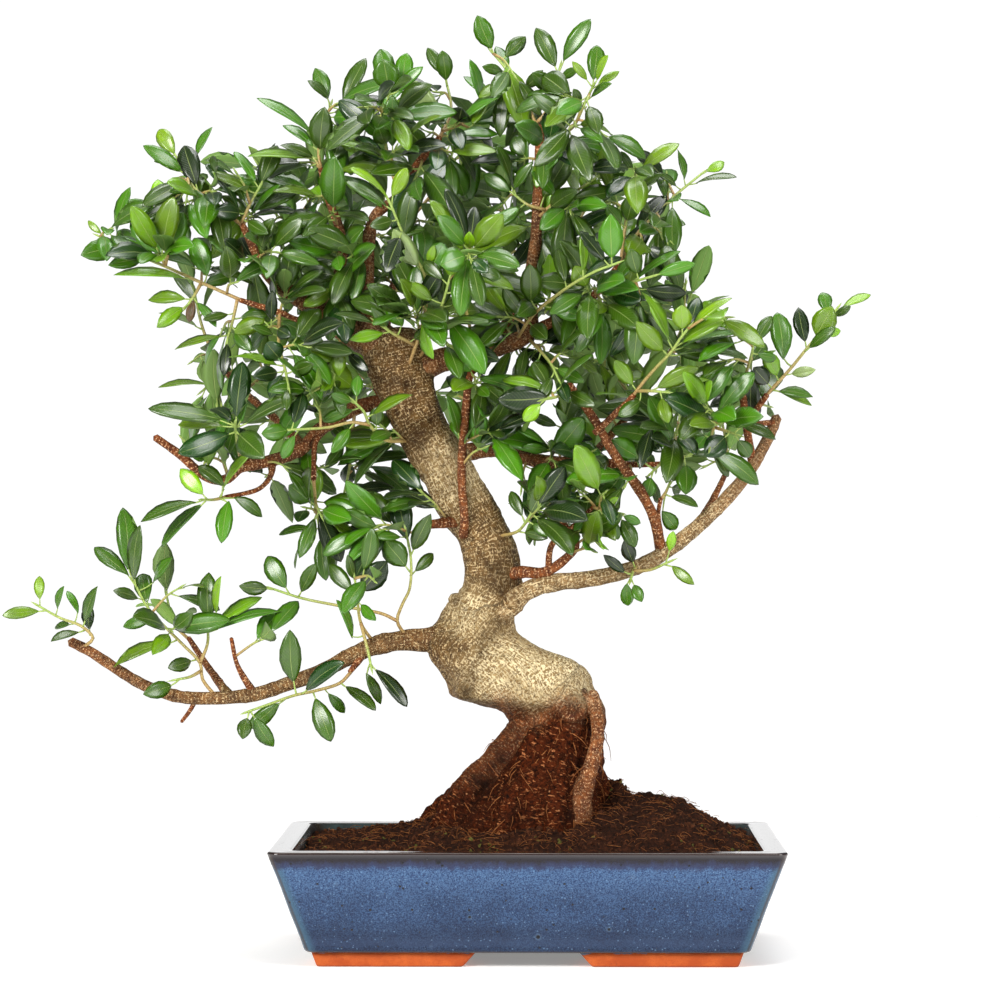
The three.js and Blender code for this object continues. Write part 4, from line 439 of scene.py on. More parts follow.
# Sprays of the back: name, stem rows, number of leaves and the seed of their draw
BACK_SPRAYS = [
    ('back_1', [(-180, 90, 558), (-196, 112, 590), (-204, 126, 616)], 6, 11),
    ('back_2', [(-184, 112, 586), (-170, 142, 610), (-160, 158, 634)], 5, 12),
    ('back_3', [(-96, 116, 572), (-120, 140, 604), (-134, 152, 634)], 6, 13),
    ('back_4', [(-92, 130, 588), (-70, 152, 616), (-58, 160, 646)], 6, 14),
    ('back_5', [(12, 96, 540), (-8, 132, 566), (-20, 156, 594)], 6, 15),
    ('back_6', [(30, 126, 570), (48, 148, 598), (58, 158, 628)], 6, 16),
    ('back_7', [(88, 86, 438), (72, 118, 458), (60, 142, 484)], 5, 17),
    ('back_8', [(106, 106, 468), (122, 124, 496), (130, 132, 524)], 6, 18),
    ('back_9', [(-228, 84, 448), (-212, 116, 462), (-200, 140, 484)], 5, 19),
    ('back_10', [(-251, 100, 472), (-262, 112, 502), (-268, 118, 530)], 5, 20),
    ('back_11', [(-108, 108, 430), (-90, 138, 440), (-78, 160, 460)], 5, 21),
    ('back_12', [(-124, 138, 450), (-146, 158, 476), (-158, 170, 504)], 5, 22),
    ('back_13', [(-271, 54, 248), (-284, 80, 262), (-290, 100, 284)], 4, 23),
    ('back_14', [(159, 57, 384), (158, 84, 408), (152, 104, 436)], 4, 24),
]


# Places and curves

def seen(x, y, z):
    """The place at depth y that shows at x and z from the front."""
    spread = 1 + y / VIEW_DISTANCE
    return Vector((EYE_X + (x - EYE_X) * spread, y, EYE_HEIGHT + (z - EYE_HEIGHT) * spread))


def square_to(vector, direction):
    return (vector - direction * vector.dot(direction)).normalized()


def ease(value, low, high):
    """0 below low, 1 above high, and smooth between them; low may be the greater."""
    share = np.clip((np.asarray(value, float) - low) / (high - low), 0, 1)
    return share * share * (3 - 2 * share)


def smooth_rows(rows, step):
    """Rows of numbers, place first, refined to one about every step millimetres along a smooth curve."""
    rows = np.array(rows, float)
    spans = np.linalg.norm(np.diff(rows[:, :3], axis=0), axis=1)
    slopes = np.empty_like(rows)
    slopes[1:-1] = (rows[2:] - rows[:-2]) / (spans[1:] + spans[:-1])[:, None]
    slopes[0] = (rows[1] - rows[0]) / spans[0]
    slopes[-1] = (rows[-1] - rows[-2]) / spans[-1]
    fine = []
    for i, span in enumerate(spans):
        count = max(1, round(span / step))
        for t in np.arange(count) / count:
            fine.append((1 + 2 * t) * (1 - t) ** 2 * rows[i] + t * (1 - t) ** 2 * span * slopes[i]
                        + t * t * (3 - 2 * t) * rows[i + 1] + t * t * (t - 1) * span * slopes[i + 1])
    fine.append(rows[-1])
    return np.array(fine)


def travel_frames(middles):
    """Distance along a path, its direction, and two directions square to it that turn as it turns."""
    middles = np.asarray(middles, float)
    ways = np.gradient(middles, axis=0)
    ways /= np.linalg.norm(ways, axis=1)[:, None]
    along = np.concatenate(([0], np.cumsum(np.linalg.norm(np.diff(middles, axis=0), axis=1))))
    guide = np.array((0.0, 1.0, 0.0)) if abs(ways[0][1]) < 0.7 else np.array((0.0, 0.0, 1.0))
    normals = np.empty_like(middles)
    for i, way in enumerate(ways):
        guide = guide - way * guide.dot(way)
        guide /= np.linalg.norm(guide)
        normals[i] = guide
    return along, ways, normals, np.cross(ways, normals)


class Form:
    """The points and faces of one piece while it is made, with named numbers for its materials."""

    def __init__(self, *names):
        self.points = []
        self.faces = []
        self.kinds = []
        self.values = {name: [] for name in names}

    def add(self, points, faces, kind=0, **values):
        start = len(self.points)
        self.points.extend(map(tuple, points))
        self.faces.extend(tuple(start + i for i in face) for face in faces)
        self.kinds.extend([kind] * len(faces))
        for name, stored in self.values.items():
            given = values.get(name, 0.0)
            stored.extend(given if np.ndim(given) and len(given) == len(points) else [given] * len(points))

    def piece(self, name, *materials):
        return mesh_piece(name, self.points, self.faces, materials, self.kinds, **self.values)


def set_values(mesh, **values):
    """Stores a number or a vector for each point of a mesh, for its materials."""
    for key, numbers in values.items():
        numbers = np.asarray(numbers, np.float32)
        kind, field = ("FLOAT_VECTOR", "vector") if numbers.ndim == 2 else ("FLOAT", "value")
        mesh.attributes.new(key, kind, "POINT").data.foreach_set(field, numbers.ravel())


def mesh_piece(name, points, faces, materials, kinds=None, **values):
    """A mesh in the frame from points in millimetres, with values at its points for its materials."""
    mesh = bpy.data.meshes.new(name)
    mesh.from_pydata((np.asarray(points, float) * MM + POT_MIDDLE).tolist(), [], [list(f) for f in faces])
    for material in materials:
        mesh.materials.append(material)
    if kinds is not None:
        mesh.polygons.foreach_set("material_index", kinds)
    mesh.polygons.foreach_set("use_smooth", [True] * len(mesh.polygons))
    set_values(mesh, **values)
    mesh.update()
    piece = bpy.data.objects.new(name, mesh)
    bpy.context.scene.collection.objects.link(piece)
    return piece


def points_of(piece):
    """A mesh's points in millimetres from the middle of the pot."""
    flat = np.empty(len(piece.data.vertices) * 3, np.float32)
    piece.data.vertices.foreach_get("co", flat)
    return (flat.reshape(-1, 3).astype(float) - POT_MIDDLE) / MM


def move_points(piece, points):
    piece.data.vertices.foreach_set("co", ((points * MM) + POT_MIDDLE).astype(np.float32).ravel())
    piece.data.update()


def settle_modifiers(piece):
    """The piece's own mesh with its modifiers worked into it."""
    graph = bpy.context.evaluated_depsgraph_get()
    mesh = bpy.data.meshes.new_from_object(piece.evaluated_get(graph))
    piece.modifiers.clear()
    old = piece.data
    piece.data = mesh
    mesh.name = piece.name
    bpy.data.meshes.remove(old)
    return piece


def finish_piece(piece, slot, *nodes):
    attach(piece, "root")
    if nodes:
        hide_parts(*nodes)
    return piece


def ring_faces(rings, sides):
    """Faces between rings of points that follow each other."""
    return [(start + k, start + (k + 1) % sides, start + sides + (k + 1) % sides, start + sides + k)
            for start in range(0, (rings - 1) * sides, sides) for k in range(sides)]


def skin(rings):
    """Points and faces of a closed skin over rings that run anticlockwise about the way of travel."""
    count = len(rings[0])
    points = [point for ring in rings for point in ring]
    faces = ring_faces(len(rings), count)
    for start, turn in ((0, -1), (len(points) - count, 1)):
        middle = len(points)
        points.append(tuple(np.mean(points[start:start + count], axis=0)))
        for k in range(count):
            pair = (start + k, start + (k + 1) % count)
            faces.append((*pair[::turn], middle))
    return points, faces


def tube(form, rows, step, sides, swell=None, round_tip=True, **values):
    """A closed round stem through rows of x, y, z and radius, with its own grain coordinates."""
    fine = smooth_rows(rows, step)
    along, ways, normals, across = travel_frames(fine[:, :3])
    points, grain, share = [], [], []
    for i, radius in enumerate(fine[:, 3]):
        for angle in np.arange(sides) * 2 * math.pi / sides:
            out = radius * (swell(along[i], angle) if swell else 1)
            c, s = out * math.cos(angle), out * math.sin(angle)
            points.append(fine[i, :3] + c * normals[i] + s * across[i])
            grain.append((c, s, along[i]))
            share.append(along[i] / along[-1])
    tip = len(points)
    last = tip - sides
    reach = fine[-1, 3] * (0.7 if round_tip else 0.1)
    points += [fine[-1, :3] + reach * ways[-1], fine[0, :3]]
    grain += [(0, 0, along[-1] + reach), (0, 0, 0)]
    share += [1, 0]
    faces = ring_faces(len(fine), sides)
    for k in range(sides):
        faces += [(last + k, last + (k + 1) % sides, tip), ((k + 1) % sides, k, tip + 1)]
    given = {key: [value(s) for s in share] if callable(value) else value for key, value in values.items()}
    form.add(points, faces, grain=grain, **given)


# Nodes

class Level:
    """A value, colour or place that nodes work out; a sum with it lays down the Math node that it needs."""

    def __init__(self, socket):
        self.socket = socket

    def __add__(self, other):
        return calc("ADD", self, other)

    def __radd__(self, other):
        return calc("ADD", other, self)

    def __sub__(self, other):
        return calc("SUBTRACT", self, other)

    def __rsub__(self, other):
        return calc("SUBTRACT", other, self)

    def __mul__(self, other):
        return calc("MULTIPLY", self, other)

    def __truediv__(self, other):
        return calc("DIVIDE", self, other)

    def __rtruediv__(self, other):
        return calc("DIVIDE", other, self)

    def __pow__(self, other):
        return calc("POWER", self, other)

    def __abs__(self):
        return calc("ABSOLUTE", self)


def feed(socket, value):
    if isinstance(value, Level):
        socket.id_data.links.new(value.socket, socket)
    else:
        socket.default_value = value


def outputs_of(node):
    """A node's outputs by number and by name."""
    named = {socket.name: Level(socket) for socket in node.outputs}
    return named | {i: Level(socket) for i, socket in enumerate(node.outputs)}


def add(tree, kind, inputs=(), **settings):
    node = tree.nodes.new(kind)
    for key, value in settings.items():
        setattr(node, key, value)
    for key, value in dict(inputs).items():
        feed(node.inputs[key], value)
    return outputs_of(node)


def add_beside(values, kind, inputs, **settings):
    """Adds a node to the tree that the first worked-out value among values is in."""
    tree = next(value.socket.id_data for value in values if isinstance(value, Level))
    return add(tree, kind, inputs, **settings)


def calc(operation, *values):
    return add_beside(values, "ShaderNodeMath", enumerate(values), operation=operation)[0]


def greater(first, second):
    return calc("MAXIMUM", first, second)


def between(value, low, high, to_low=0.0, to_high=1.0):
    """A value eased from one range to another and held at its ends."""
    spread = {"Value": value, "From Min": low, "From Max": high, "To Min": to_low, "To Max": to_high}
    return add_beside([value], "ShaderNodeMapRange", spread, interpolation_type="SMOOTHSTEP")[0]


def mixed(share, first, second):
    values = (share, first, second)
    return add_beside(values, "ShaderNodeMix", zip((0, 6, 7), values), data_type="RGBA")[2]


def axes(vector):
    return add_beside([vector], "ShaderNodeSeparateXYZ", {0: vector})


def stretched(vector, factors):
    return add_beside([vector], "ShaderNodeVectorMath", {0: vector, 1: factors}, operation="MULTIPLY")[0]


def cloud(vector, scale, detail=3.0, roughness=0.5, distortion=0.0):
    given = {"Scale": scale, "Detail": detail, "Roughness": roughness, "Distortion": distortion}
    return add_beside([vector], "ShaderNodeTexNoise", {"Vector": vector, **given})[0]


def ladder(value, colours):
    """A colour in even steps, from the first where the value is 0 to the last where it is 1."""
    colour = add_beside([value], "ShaderNodeValToRGB", {0: value})[0]
    stops = colour.socket.node.color_ramp.elements
    while len(stops) < len(colours):
        stops.new(0.5)
    for step, shown in colours.items():
        stops[step].position = step / (len(colours) - 1)
        stops[step].color = shown
    return colour


def attribute(tree, name, field="Fac"):
    return add(tree, "ShaderNodeAttribute", attribute_name=name)[field]


def tint(red, green, blue):
    """A colour as it looks on screen, 0 to 255, as the shader's own linear colour."""
    def linear(value):
        value /= 255
        return value / 12.92 if value <= 0.04045 else ((value + 0.055) / 1.055) ** 2.4
    return (linear(red), linear(green), linear(blue), 1.0)


def finish(name, **fixed):
    """A new material; numbers that are the same all over go straight on its shader."""
    material = bpy.data.materials.new(name)
    material.use_nodes = True
    shader = material.node_tree.nodes["Principled BSDF"]
    for key, value in fixed.items():
        shader.inputs[key.replace("_", " ")].default_value = value
    return material, material.node_tree


def dress(material, colour, roughness, height=None, depth=0.0, **more):
    """Feeds the shader what changes over the surface, with relief of a depth in millimetres."""
    tree = material.node_tree
    given = {"Base_Color": colour, "Roughness": roughness, **more}
    if height is not None:
        given["Normal"] = add(tree, "ShaderNodeBump", {"Height": height, "Distance": depth * MM})[0]
    for key, value in given.items():
        feed(tree.nodes["Principled BSDF"].inputs[key.replace("_", " ")], value)
    return material


def new_group(name, **numbers):
    """A shader node group that makes a mask from a place and named numbers, with their usual values."""
    group = bpy.data.node_groups.new(name, "ShaderNodeTree")
    group.interface.new_socket(name="Vector", in_out="INPUT", socket_type="NodeSocketVector")
    for label, usual in numbers.items():
        socket = group.interface.new_socket(name=label, in_out="INPUT", socket_type="NodeSocketFloat")
        socket.default_value = usual
    group.interface.new_socket(name="Mask", in_out="OUTPUT", socket_type="NodeSocketFloat")
    given = outputs_of(group.nodes.new("NodeGroupInput"))
    return group, given, group.nodes.new("NodeGroupOutput").inputs[0]


def pattern(group, vector, **numbers):
    """The mask that a group makes over places."""
    return add_beside([vector], "ShaderNodeGroup", {"Vector": vector, **numbers}, node_tree=group)[0]


def make_specks():
    """Scattered round specks: glaze pits, crystals, clay grit and pale bark dots."""
    group, given, result = new_group("scattered specks", Spacing=4.0, Cover=0.3, Size=0.25)
    scale = 1.0 / given["Spacing"]
    cells = add(group, "ShaderNodeTexVoronoi",
                {"Vector": given["Vector"], "Scale": scale, "Randomness": 1.0})
    pick = add(group, "ShaderNodeSeparateColor", {0: cells["Color"]})
    chosen = calc("LESS_THAN", pick[0], given["Cover"])
    size = given["Size"] * (0.4 + pick[1])
    near = 1.0 - cells["Distance"] / size
    spot = between(near, 0.0, 0.55)
    feed(result, spot * chosen)
    return group


def make_cross_dashes():
    """Short strokes that lie across the grain: the breathing pores of the bark."""
    group, given, result = new_group("cross dashes", Around=0.3, Along=1.2, Cover=0.5)
    around, along = given["Around"], given["Along"]
    factors = add(group, "ShaderNodeCombineXYZ", {0: around, 1: around, 2: along})[0]
    fine = cloud(stretched(given["Vector"], factors), 1.0, 2.0, 0.55, 0.35)
    level = 0.8 - given["Cover"] * 0.5
    feed(result, between(fine - level, 0.0, 0.13))
    return group


def make_ring_rows():
    """Rows of pale strokes round a stem, broken up at random."""
    group, given, result = new_group("ring rows", Pitch=2.3, Wander=1.5, Cover=0.5)
    along = axes(given["Vector"])[2] / given["Pitch"]
    drift = cloud(stretched(given["Vector"], (0.09, 0.09, 0.09)), 1.0) * given["Wander"]
    ring = calc("SINE", (along + drift) * (2 * math.pi))
    breaks = cloud(stretched(given["Vector"], (0.55, 0.55, 0.8)), 1.0, 2.0, 0.6)
    level = ring + (breaks - 0.5) * 9.0
    start = 1.9 - given["Cover"] * 2.4
    feed(result, between(level - start, 0.0, 0.55))
    return group


def make_mottle():
    """Soft uneven patches at two scales."""
    group, given, result = new_group("soft mottle", Size=20.0, Low=0.35, High=0.65)
    scale = 1.0 / given["Size"]
    large = cloud(given["Vector"], scale, 4.0, 0.62)
    feed(result, between(large, given["Low"], given["High"]))
    return group


SPECKS = make_specks()
CROSS_DASHES = make_cross_dashes()
RING_ROWS = make_ring_rows()
MOTTLE = make_mottle()


def place_mm(tree):
    """The place on the piece in millimetres from the middle of the pot, for patterns."""
    spot = add(tree, "ShaderNodeTexCoord")["Object"]
    middle = add(tree, "ShaderNodeVectorMath", {0: spot, 1: tuple(POT_MIDDLE)}, operation="SUBTRACT")[0]
    return stretched(middle, (1 / MM,) * 3)


# Finishes

def glaze_finish():
    """Blue ash glaze that ran down the walls: brown where it is thin at the rim and the corners."""
    material, tree = finish("blue ash glaze", IOR=1.5, Specular_IOR_Level=0.3)
    place = place_mm(tree)
    height = axes(place)[2]
    runs = cloud(stretched(place, (0.16, 0.16, 0.03)), 1.0, 4.0, 0.6)
    ripple = cloud(place, 0.9, 3.0, 0.7)
    level = height + ((runs - 0.5) * 9.0 + (ripple - 0.5) * 6.0)
    grain = cloud(place, 0.85, 4.0, 0.9)
    patches = pattern(MOTTLE, place, Size=34.0, Low=0.3, High=0.7)
    corner = attribute(tree, "corner")

    light = mixed(between(grain, 0.43, 0.58), tint(19, 40, 78), tint(68, 98, 134))
    deep = mixed(between(grain, 0.43, 0.59), tint(8, 22, 52), tint(42, 68, 102))
    middle = mixed(patches, deep, mixed(0.5, deep, light))
    colour = mixed(between(level, 48.0, 76.0), middle, light)
    colour = mixed(between(level, 46.0, 22.0, 0.0, 0.5), colour, tint(11, 18, 38))
    foot_band = between(level, 15.0, 18.0) * between(level, 27.0, 20.0)
    colour = mixed(foot_band * 0.3, colour, tint(50, 66, 94))
    ragged = corner + (ripple - 0.5) * 0.5
    teal = between(ragged, 0.25, 0.95) * 0.75
    colour = mixed(teal, colour, tint(56, 88, 108))
    speckled = pattern(SPECKS, place, Spacing=2.4, Cover=0.36, Size=0.26)
    colour = mixed(speckled * 0.55, colour, tint(98, 128, 160))
    violet = between(level, 77.0, 81.5) * 0.85
    colour = mixed(violet, colour, tint(32, 34, 62))
    thin = between(level, 81.0, 86.0)
    colour = mixed(thin, colour, mixed(ripple, tint(14, 10, 14), tint(30, 25, 33)))
    bare = greater(between(corner, 0.84, 0.97), between(height, 13.6, 12.2))
    colour = mixed(bare * 0.8, colour, tint(44, 32, 28))
    edge = attribute(tree, "edge")
    colour = mixed(edge, colour, mixed(ripple, tint(20, 10, 7), tint(58, 38, 30)))
    inner = attribute(tree, "inner")
    colour = mixed(inner, colour, mixed(patches, tint(34, 20, 14), tint(56, 72, 74)))
    pits = pattern(SPECKS, place, Spacing=6.5, Cover=0.5, Size=0.15)
    craters = pattern(SPECKS, place, Spacing=26.0, Cover=0.6, Size=0.085)
    holes = greater(pits, craters)
    halo = pattern(SPECKS, place, Spacing=26.0, Cover=0.6, Size=0.15)
    halo = halo * between(level, 78.0, 72.0, 0.0, 0.22)
    colour = mixed(halo, colour, tint(104, 130, 156))
    colour = mixed(between(holes, 0.1, 0.6), colour, tint(10, 12, 22))
    roughness = 0.1 + grain * 0.12 - between(height, 88.0, 90.5) * 0.09 + holes * 0.4
    coat = between(height, 86.0, 90.0, 0.05, 0.9)
    swell = cloud(place, 0.05, 1.0, 0.4) * between(height, 90.0, 84.0, 0.0, 0.8)
    relief = swell + cloud(place, 0.8, 1.0) * 0.05 - holes * 0.5
    return dress(material, colour, roughness, relief, 0.8, Coat_Weight=coat)


def terracotta_finish():
    """Bare orange clay with dull drips of glaze where it meets the wall, grit, and darker brown at the very
    bottom.
    """
    material, tree = finish("bare terracotta", IOR=1.4)
    place = place_mm(tree)
    height = axes(place)[2]
    grit = cloud(place, 1.1, 4.0, 0.7)
    patches = pattern(MOTTLE, place, Size=16.0, Low=0.35, High=0.7)
    colour = mixed(patches, tint(160, 66, 18), tint(184, 88, 32))
    colour = mixed(between(grit, 0.5, 0.75), colour, tint(146, 60, 20))
    specks = pattern(SPECKS, place, Spacing=4.0, Cover=0.3, Size=0.16)
    colour = mixed(specks * 0.7, colour, tint(110, 48, 24))
    drip = cloud(stretched(place, (0.05, 0.05, 0.02)), 1.0, 3.0, 0.6)
    drop = height + (drip - 0.5) * 14.0
    glazed = between(drop, 11.4, 12.2)
    colour = mixed(glazed, colour, tint(98, 112, 130))
    # Darker brown at the very bottom of the feet
    darker_foot_bottom = between(height, 1.6, 0.2) * 0.7
    colour = mixed(darker_foot_bottom, colour, tint(96, 52, 36))
    return dress(material, colour, 0.82 - glazed * 0.55, grit - specks * 0.5, 0.5)


def mesh_plastic_finish():
    """Black plastic netting with a matt, slightly dusty face."""
    material, tree = finish("black netting", IOR=1.46)
    place = place_mm(tree)
    dust = pattern(MOTTLE, place, Size=6.0, Low=0.4, High=0.7)
    colour = mixed(dust, tint(22, 22, 23), tint(50, 44, 38))
    return dress(material, colour, 0.4 + dust * 0.35, cloud(place, 1.2, 2.0), 0.15)


def peat_finish(name, dark, light, spot):
    """Damp peat, or what is made of it: dark to light in small grains, with crumbs in the colour of spot."""
    material, tree = finish(name, IOR=1.35, Specular_IOR_Level=0.2)
    place = place_mm(tree)
    grain = cloud(place, 0.42, 6.0, 0.75)
    patches = pattern(MOTTLE, place, Size=22.0, Low=0.35, High=0.65)
    colour = mixed(between(grain, 0.35, 0.7), dark, light)
    colour = mixed(patches * 0.5, colour, dark)
    crumbs = pattern(SPECKS, place, Spacing=2.6, Cover=0.35, Size=0.3)
    colour = mixed(crumbs * 0.55, colour, spot)
    return dress(material, colour, between(grain, 0.2, 0.8, 0.8, 1.0), grain + crumbs, 1.6)


def bark_finish():
    """Ficus bark: rows of cream strokes on brown, red-brown when young, dark and fibrous in the ground, with
    dark knot scars and painted shade in its creases, folds and hollows.
    """
    material, tree = finish("ficus bark", IOR=1.4)
    grain = attribute(tree, "grain", "Vector")
    pale, ruddy, earthy, hollow = (attribute(tree, name) for name in ("pale", "ruddy", "earthy", "hollow"))
    wide = pattern(MOTTLE, grain, Size=34.0, Low=0.4, High=0.62)
    small = pattern(MOTTLE, grain, Size=6.0, Low=0.34, High=0.66)
    ground = mixed(small, tint(74, 50, 23), tint(120, 89, 50))
    ground = mixed(wide * 0.7, ground, tint(58, 40, 18))
    ground = mixed(pale, ground, mixed(small, tint(120, 95, 58), tint(154, 130, 88)))
    rows = pattern(RING_ROWS, grain, Pitch=3.0, Wander=2.2, Cover=0.42 + pale * 0.2)
    strokes = pattern(CROSS_DASHES, grain, Around=0.8, Along=0.22, Cover=0.48 + pale * 0.22)
    dashes = greater(rows * 0.85, strokes)
    shaded = 1.0 - wide * 0.5
    cream = mixed(pale, tint(214, 186, 138), tint(216, 198, 157))
    colour = mixed(dashes * shaded, ground, cream)
    gaps = pattern(CROSS_DASHES, stretched(grain, (1.1, 1.1, 1.3)), Around=0.34, Along=0.62, Cover=0.46)
    colour = mixed(gaps * 0.5, colour, tint(58, 36, 13))

    red_ground = mixed(small, tint(80, 34, 14), tint(136, 74, 36))
    red_ground = mixed(wide * 0.5, red_ground, tint(60, 28, 14))
    rings = pattern(RING_ROWS, stretched(grain, (1.4, 1.4, 1.0)), Pitch=3.4, Wander=3.0, Cover=0.34)
    specks = pattern(SPECKS, grain, Spacing=2.2, Cover=0.34, Size=0.26)
    light = greater(rings * 0.8, specks)
    colour = mixed(ruddy, colour, mixed(light, red_ground, tint(224, 176, 130)))

    fibres = cloud(stretched(grain, (0.26, 0.26, 0.34)), 1.0, 6.0, 0.75, 0.8)
    soil_red = mixed(between(fibres, 0.34, 0.68), tint(13, 4, 1), tint(86, 36, 12))
    flakes = pattern(CROSS_DASHES, stretched(grain, (1.0, 1.0, 1.2)), Around=0.2, Along=0.66, Cover=0.43)
    soil_red = mixed(flakes * 0.75, soil_red, tint(190, 122, 76))
    grit = pattern(SPECKS, grain, Spacing=4.4, Cover=0.22, Size=0.16)
    soil_red = mixed(grit * 0.5, soil_red, tint(206, 150, 104))
    colour = mixed(earthy, colour, soil_red)
    # Dark knot scars, and painted shade in the creases, folds and hollows
    colour = mixed(hollow, colour, tint(24, 11, 6))
    roughness = between(small, 0.0, 1.0, 0.62, 0.86)
    relief = dashes * 0.5 + small * 0.5 + fibres * earthy * 1.5 - gaps * 0.6
    gleam = between(greater(earthy, hollow), 0.0, 1.0, 0.25, 0.08)
    return dress(material, colour, roughness, relief, 1.0, Specular_IOR_Level=gleam)


def shoot_finish():
    """Young stems: tan at the foot, yellow-green at the tip, with faint rings and dots."""
    material, tree = finish("green shoot", Coat_Weight=0.15, IOR=1.42)
    grain = attribute(tree, "grain", "Vector")
    age = attribute(tree, "age")
    fine = cloud(stretched(grain, (0.5, 0.5, 1.4)), 1.0, 3.0, 0.6)
    woody = mixed(between(fine, 0.35, 0.65), tint(120, 74, 40), tint(176, 134, 88))
    green = mixed(between(fine, 0.3, 0.7), tint(120, 146, 66), tint(158, 178, 92))
    tan = mixed(between(fine, 0.3, 0.7), tint(140, 116, 66), tint(172, 152, 92))
    colour = mixed(between(age, 0.0, 0.35), woody, tan)
    colour = mixed(between(age, 0.3, 0.9), colour, green)
    dots = pattern(SPECKS, grain, Spacing=1.8, Cover=0.3, Size=0.25)
    colour = mixed(dots * 0.4, colour, tint(208, 190, 140))
    return dress(material, colour, between(fine, 0.0, 1.0, 0.38, 0.62), fine + dots * 0.4, 0.3)


def leaf_finish():
    """A ficus leaf: glossy above, matt and lighter below, pale midrib and margin, feathered side veins."""
    material, tree = finish("ficus leaf", IOR=1.45, Coat_Roughness=0.2, Specular_IOR_Level=0.45)
    blade = axes(attribute(tree, "blade", "Vector"))
    across, along = abs(blade[0]), blade[1]
    tone, chance, under = (attribute(tree, name) for name in ("tone", "chance", "under"))
    place = place_mm(tree)

    colour = ladder(tone / 6.0, {
        W: tint(122, 96, 60), D: tint(12, 42, 2), M: tint(52, 90, 0), G: tint(56, 92, 20),
        L: tint(98, 142, 20), B: tint(120, 168, 32), P: tint(160, 190, 118)})
    patches = pattern(MOTTLE, place, Size=9.0, Low=0.3, High=0.7)
    colour = add(tree, "ShaderNodeHueSaturation", {
        "Hue": between(chance, 0.0, 1.0, 0.487, 0.51), "Saturation": between(patches, 0.0, 1.0, 0.95, 1.08),
        "Value": 0.6 + chance ** 2.0 * 1.25 + patches * 0.12, "Color": colour})[0]

    slant = along * 15.0 - across * 3.4
    feather = calc("SINE", slant * (2 * math.pi))
    veins = between(feather, 0.72, 1.0) * between(across, 0.95, 0.7)
    midrib = between(across, 0.085 - along * 0.05, 0.015)
    margin = between(across, 0.962, 0.99)
    pale = mixed(0.55, colour, tint(186, 206, 120))
    colour = mixed(veins * 0.08, colour, pale)
    below = mixed(0.5, colour, tint(128, 160, 84))
    colour = mixed(under, colour, below)
    rib = midrib * (0.55 + under * 0.25)
    colour = mixed(greater(rib, margin * 0.25), colour, pale)
    roughness = 0.27 + under * 0.28 + patches * 0.1
    relief = veins * 0.2 + cloud(place, 1.6, 2.0) * 0.15 - midrib
    return dress(material, colour, roughness, relief, 0.35, Coat_Weight=(1.0 - under) * 0.5)


# A pale paper floor that glows faintly: painted light that lifts the shadows on it and lights the pot from
# below
def glowing_paper_finish():
    material, tree = finish("white paper sweep", Emission_Strength=0.25,
                            Emission_Color=(1.0, 0.985, 0.96, 1.0))
    place = add(tree, "ShaderNodeTexCoord")["Object"]
    colour = mixed(cloud(place, 40.0), (0.9, 0.89, 0.88, 1), (0.93, 0.925, 0.915, 1))
    return dress(material, colour, between(cloud(place, 25.0), 0.0, 1.0, 0.8, 0.95))


# Pot

ARC_STEPS = 7
# Marks along each straight side between two corners, closer together near the corners
SIDE_SHARES = (0.016, 0.045, 0.11, 0.24, 0.42, 0.58, 0.76, 0.89, 0.955, 0.984)


def rounded_outline(half_length, half_depth, radius, height):
    arcs = []
    for quarter, (side_x, side_y) in enumerate(((1, 1), (-1, 1), (-1, -1), (1, -1))):
        angles = [math.pi / 2 * (quarter + i / ARC_STEPS) for i in range(ARC_STEPS + 1)]
        arcs.append([(side_x * (half_length - radius) + radius * math.cos(angle),
                      side_y * (half_depth - radius) + radius * math.sin(angle)) for angle in angles])
    ring = []
    for arc, following in zip(arcs, arcs[1:] + arcs[:1]):
        ring += [(x, y, height) for x, y in arc]
        (x0, y0), (x1, y1) = arc[-1], following[0]
        ring += [(x0 + (x1 - x0) * s, y0 + (y1 - y0) * s, height) for s in SIDE_SHARES]
    return ring


def wall_inset(height):
    """How far the flared wall stands in from the rim's edge at a height."""
    return WALL_TAPER * (POT_HEIGHT - height) / (POT_HEIGHT - FOOT_HEIGHT)


def quarter_turns():
    """Sine and cosine at three steps round a small quarter arc."""
    return [(math.sin(math.radians(turn)), math.cos(math.radians(turn))) for turn in (30, 60, 90)]


def pot_profile():
    """Inset from the rim's outline and height, from under the wall, over the rim and down to the floor."""
    def inner(height):
        return RIM_WIDTH + wall_inset(height)

    rows = [(WALL_TAPER + 14, FOOT_HEIGHT), (WALL_TAPER + 2.6, FOOT_HEIGHT),
            (WALL_TAPER + 0.6, FOOT_HEIGHT + 0.7), (wall_inset(FOOT_HEIGHT + 2.2), FOOT_HEIGHT + 2.2)]
    rows += [(wall_inset(z), z) for z in (16, 19, 24, 32, 42, 52, 62, 71, 78, 82, 85.5, 88.3)]
    rows += [(EDGE_INSET, POT_HEIGHT - EDGE_ROUND)]
    rows += [(EDGE_INSET + EDGE_ROUND * (1 - c), POT_HEIGHT - EDGE_ROUND * (1 - s))
             for s, c in quarter_turns()]
    rows += [(3.4, POT_HEIGHT), (8.5, POT_HEIGHT - 0.25), (13.5, POT_HEIGHT - 0.15),
             (RIM_WIDTH - 2.2, POT_HEIGHT)]
    rows += [(RIM_WIDTH - EDGE_ROUND + EDGE_ROUND * s, POT_HEIGHT - EDGE_ROUND * (1 - c))
             for s, c in quarter_turns()]
    rows += [(inner(z), z) for z in (87, 82, 74, 60, 44, 30, 24)]
    rows += [(inner(FLOOR_TOP) + 1.5, FLOOR_TOP + 1), (inner(FLOOR_TOP) + 5, FLOOR_TOP)]
    return rows


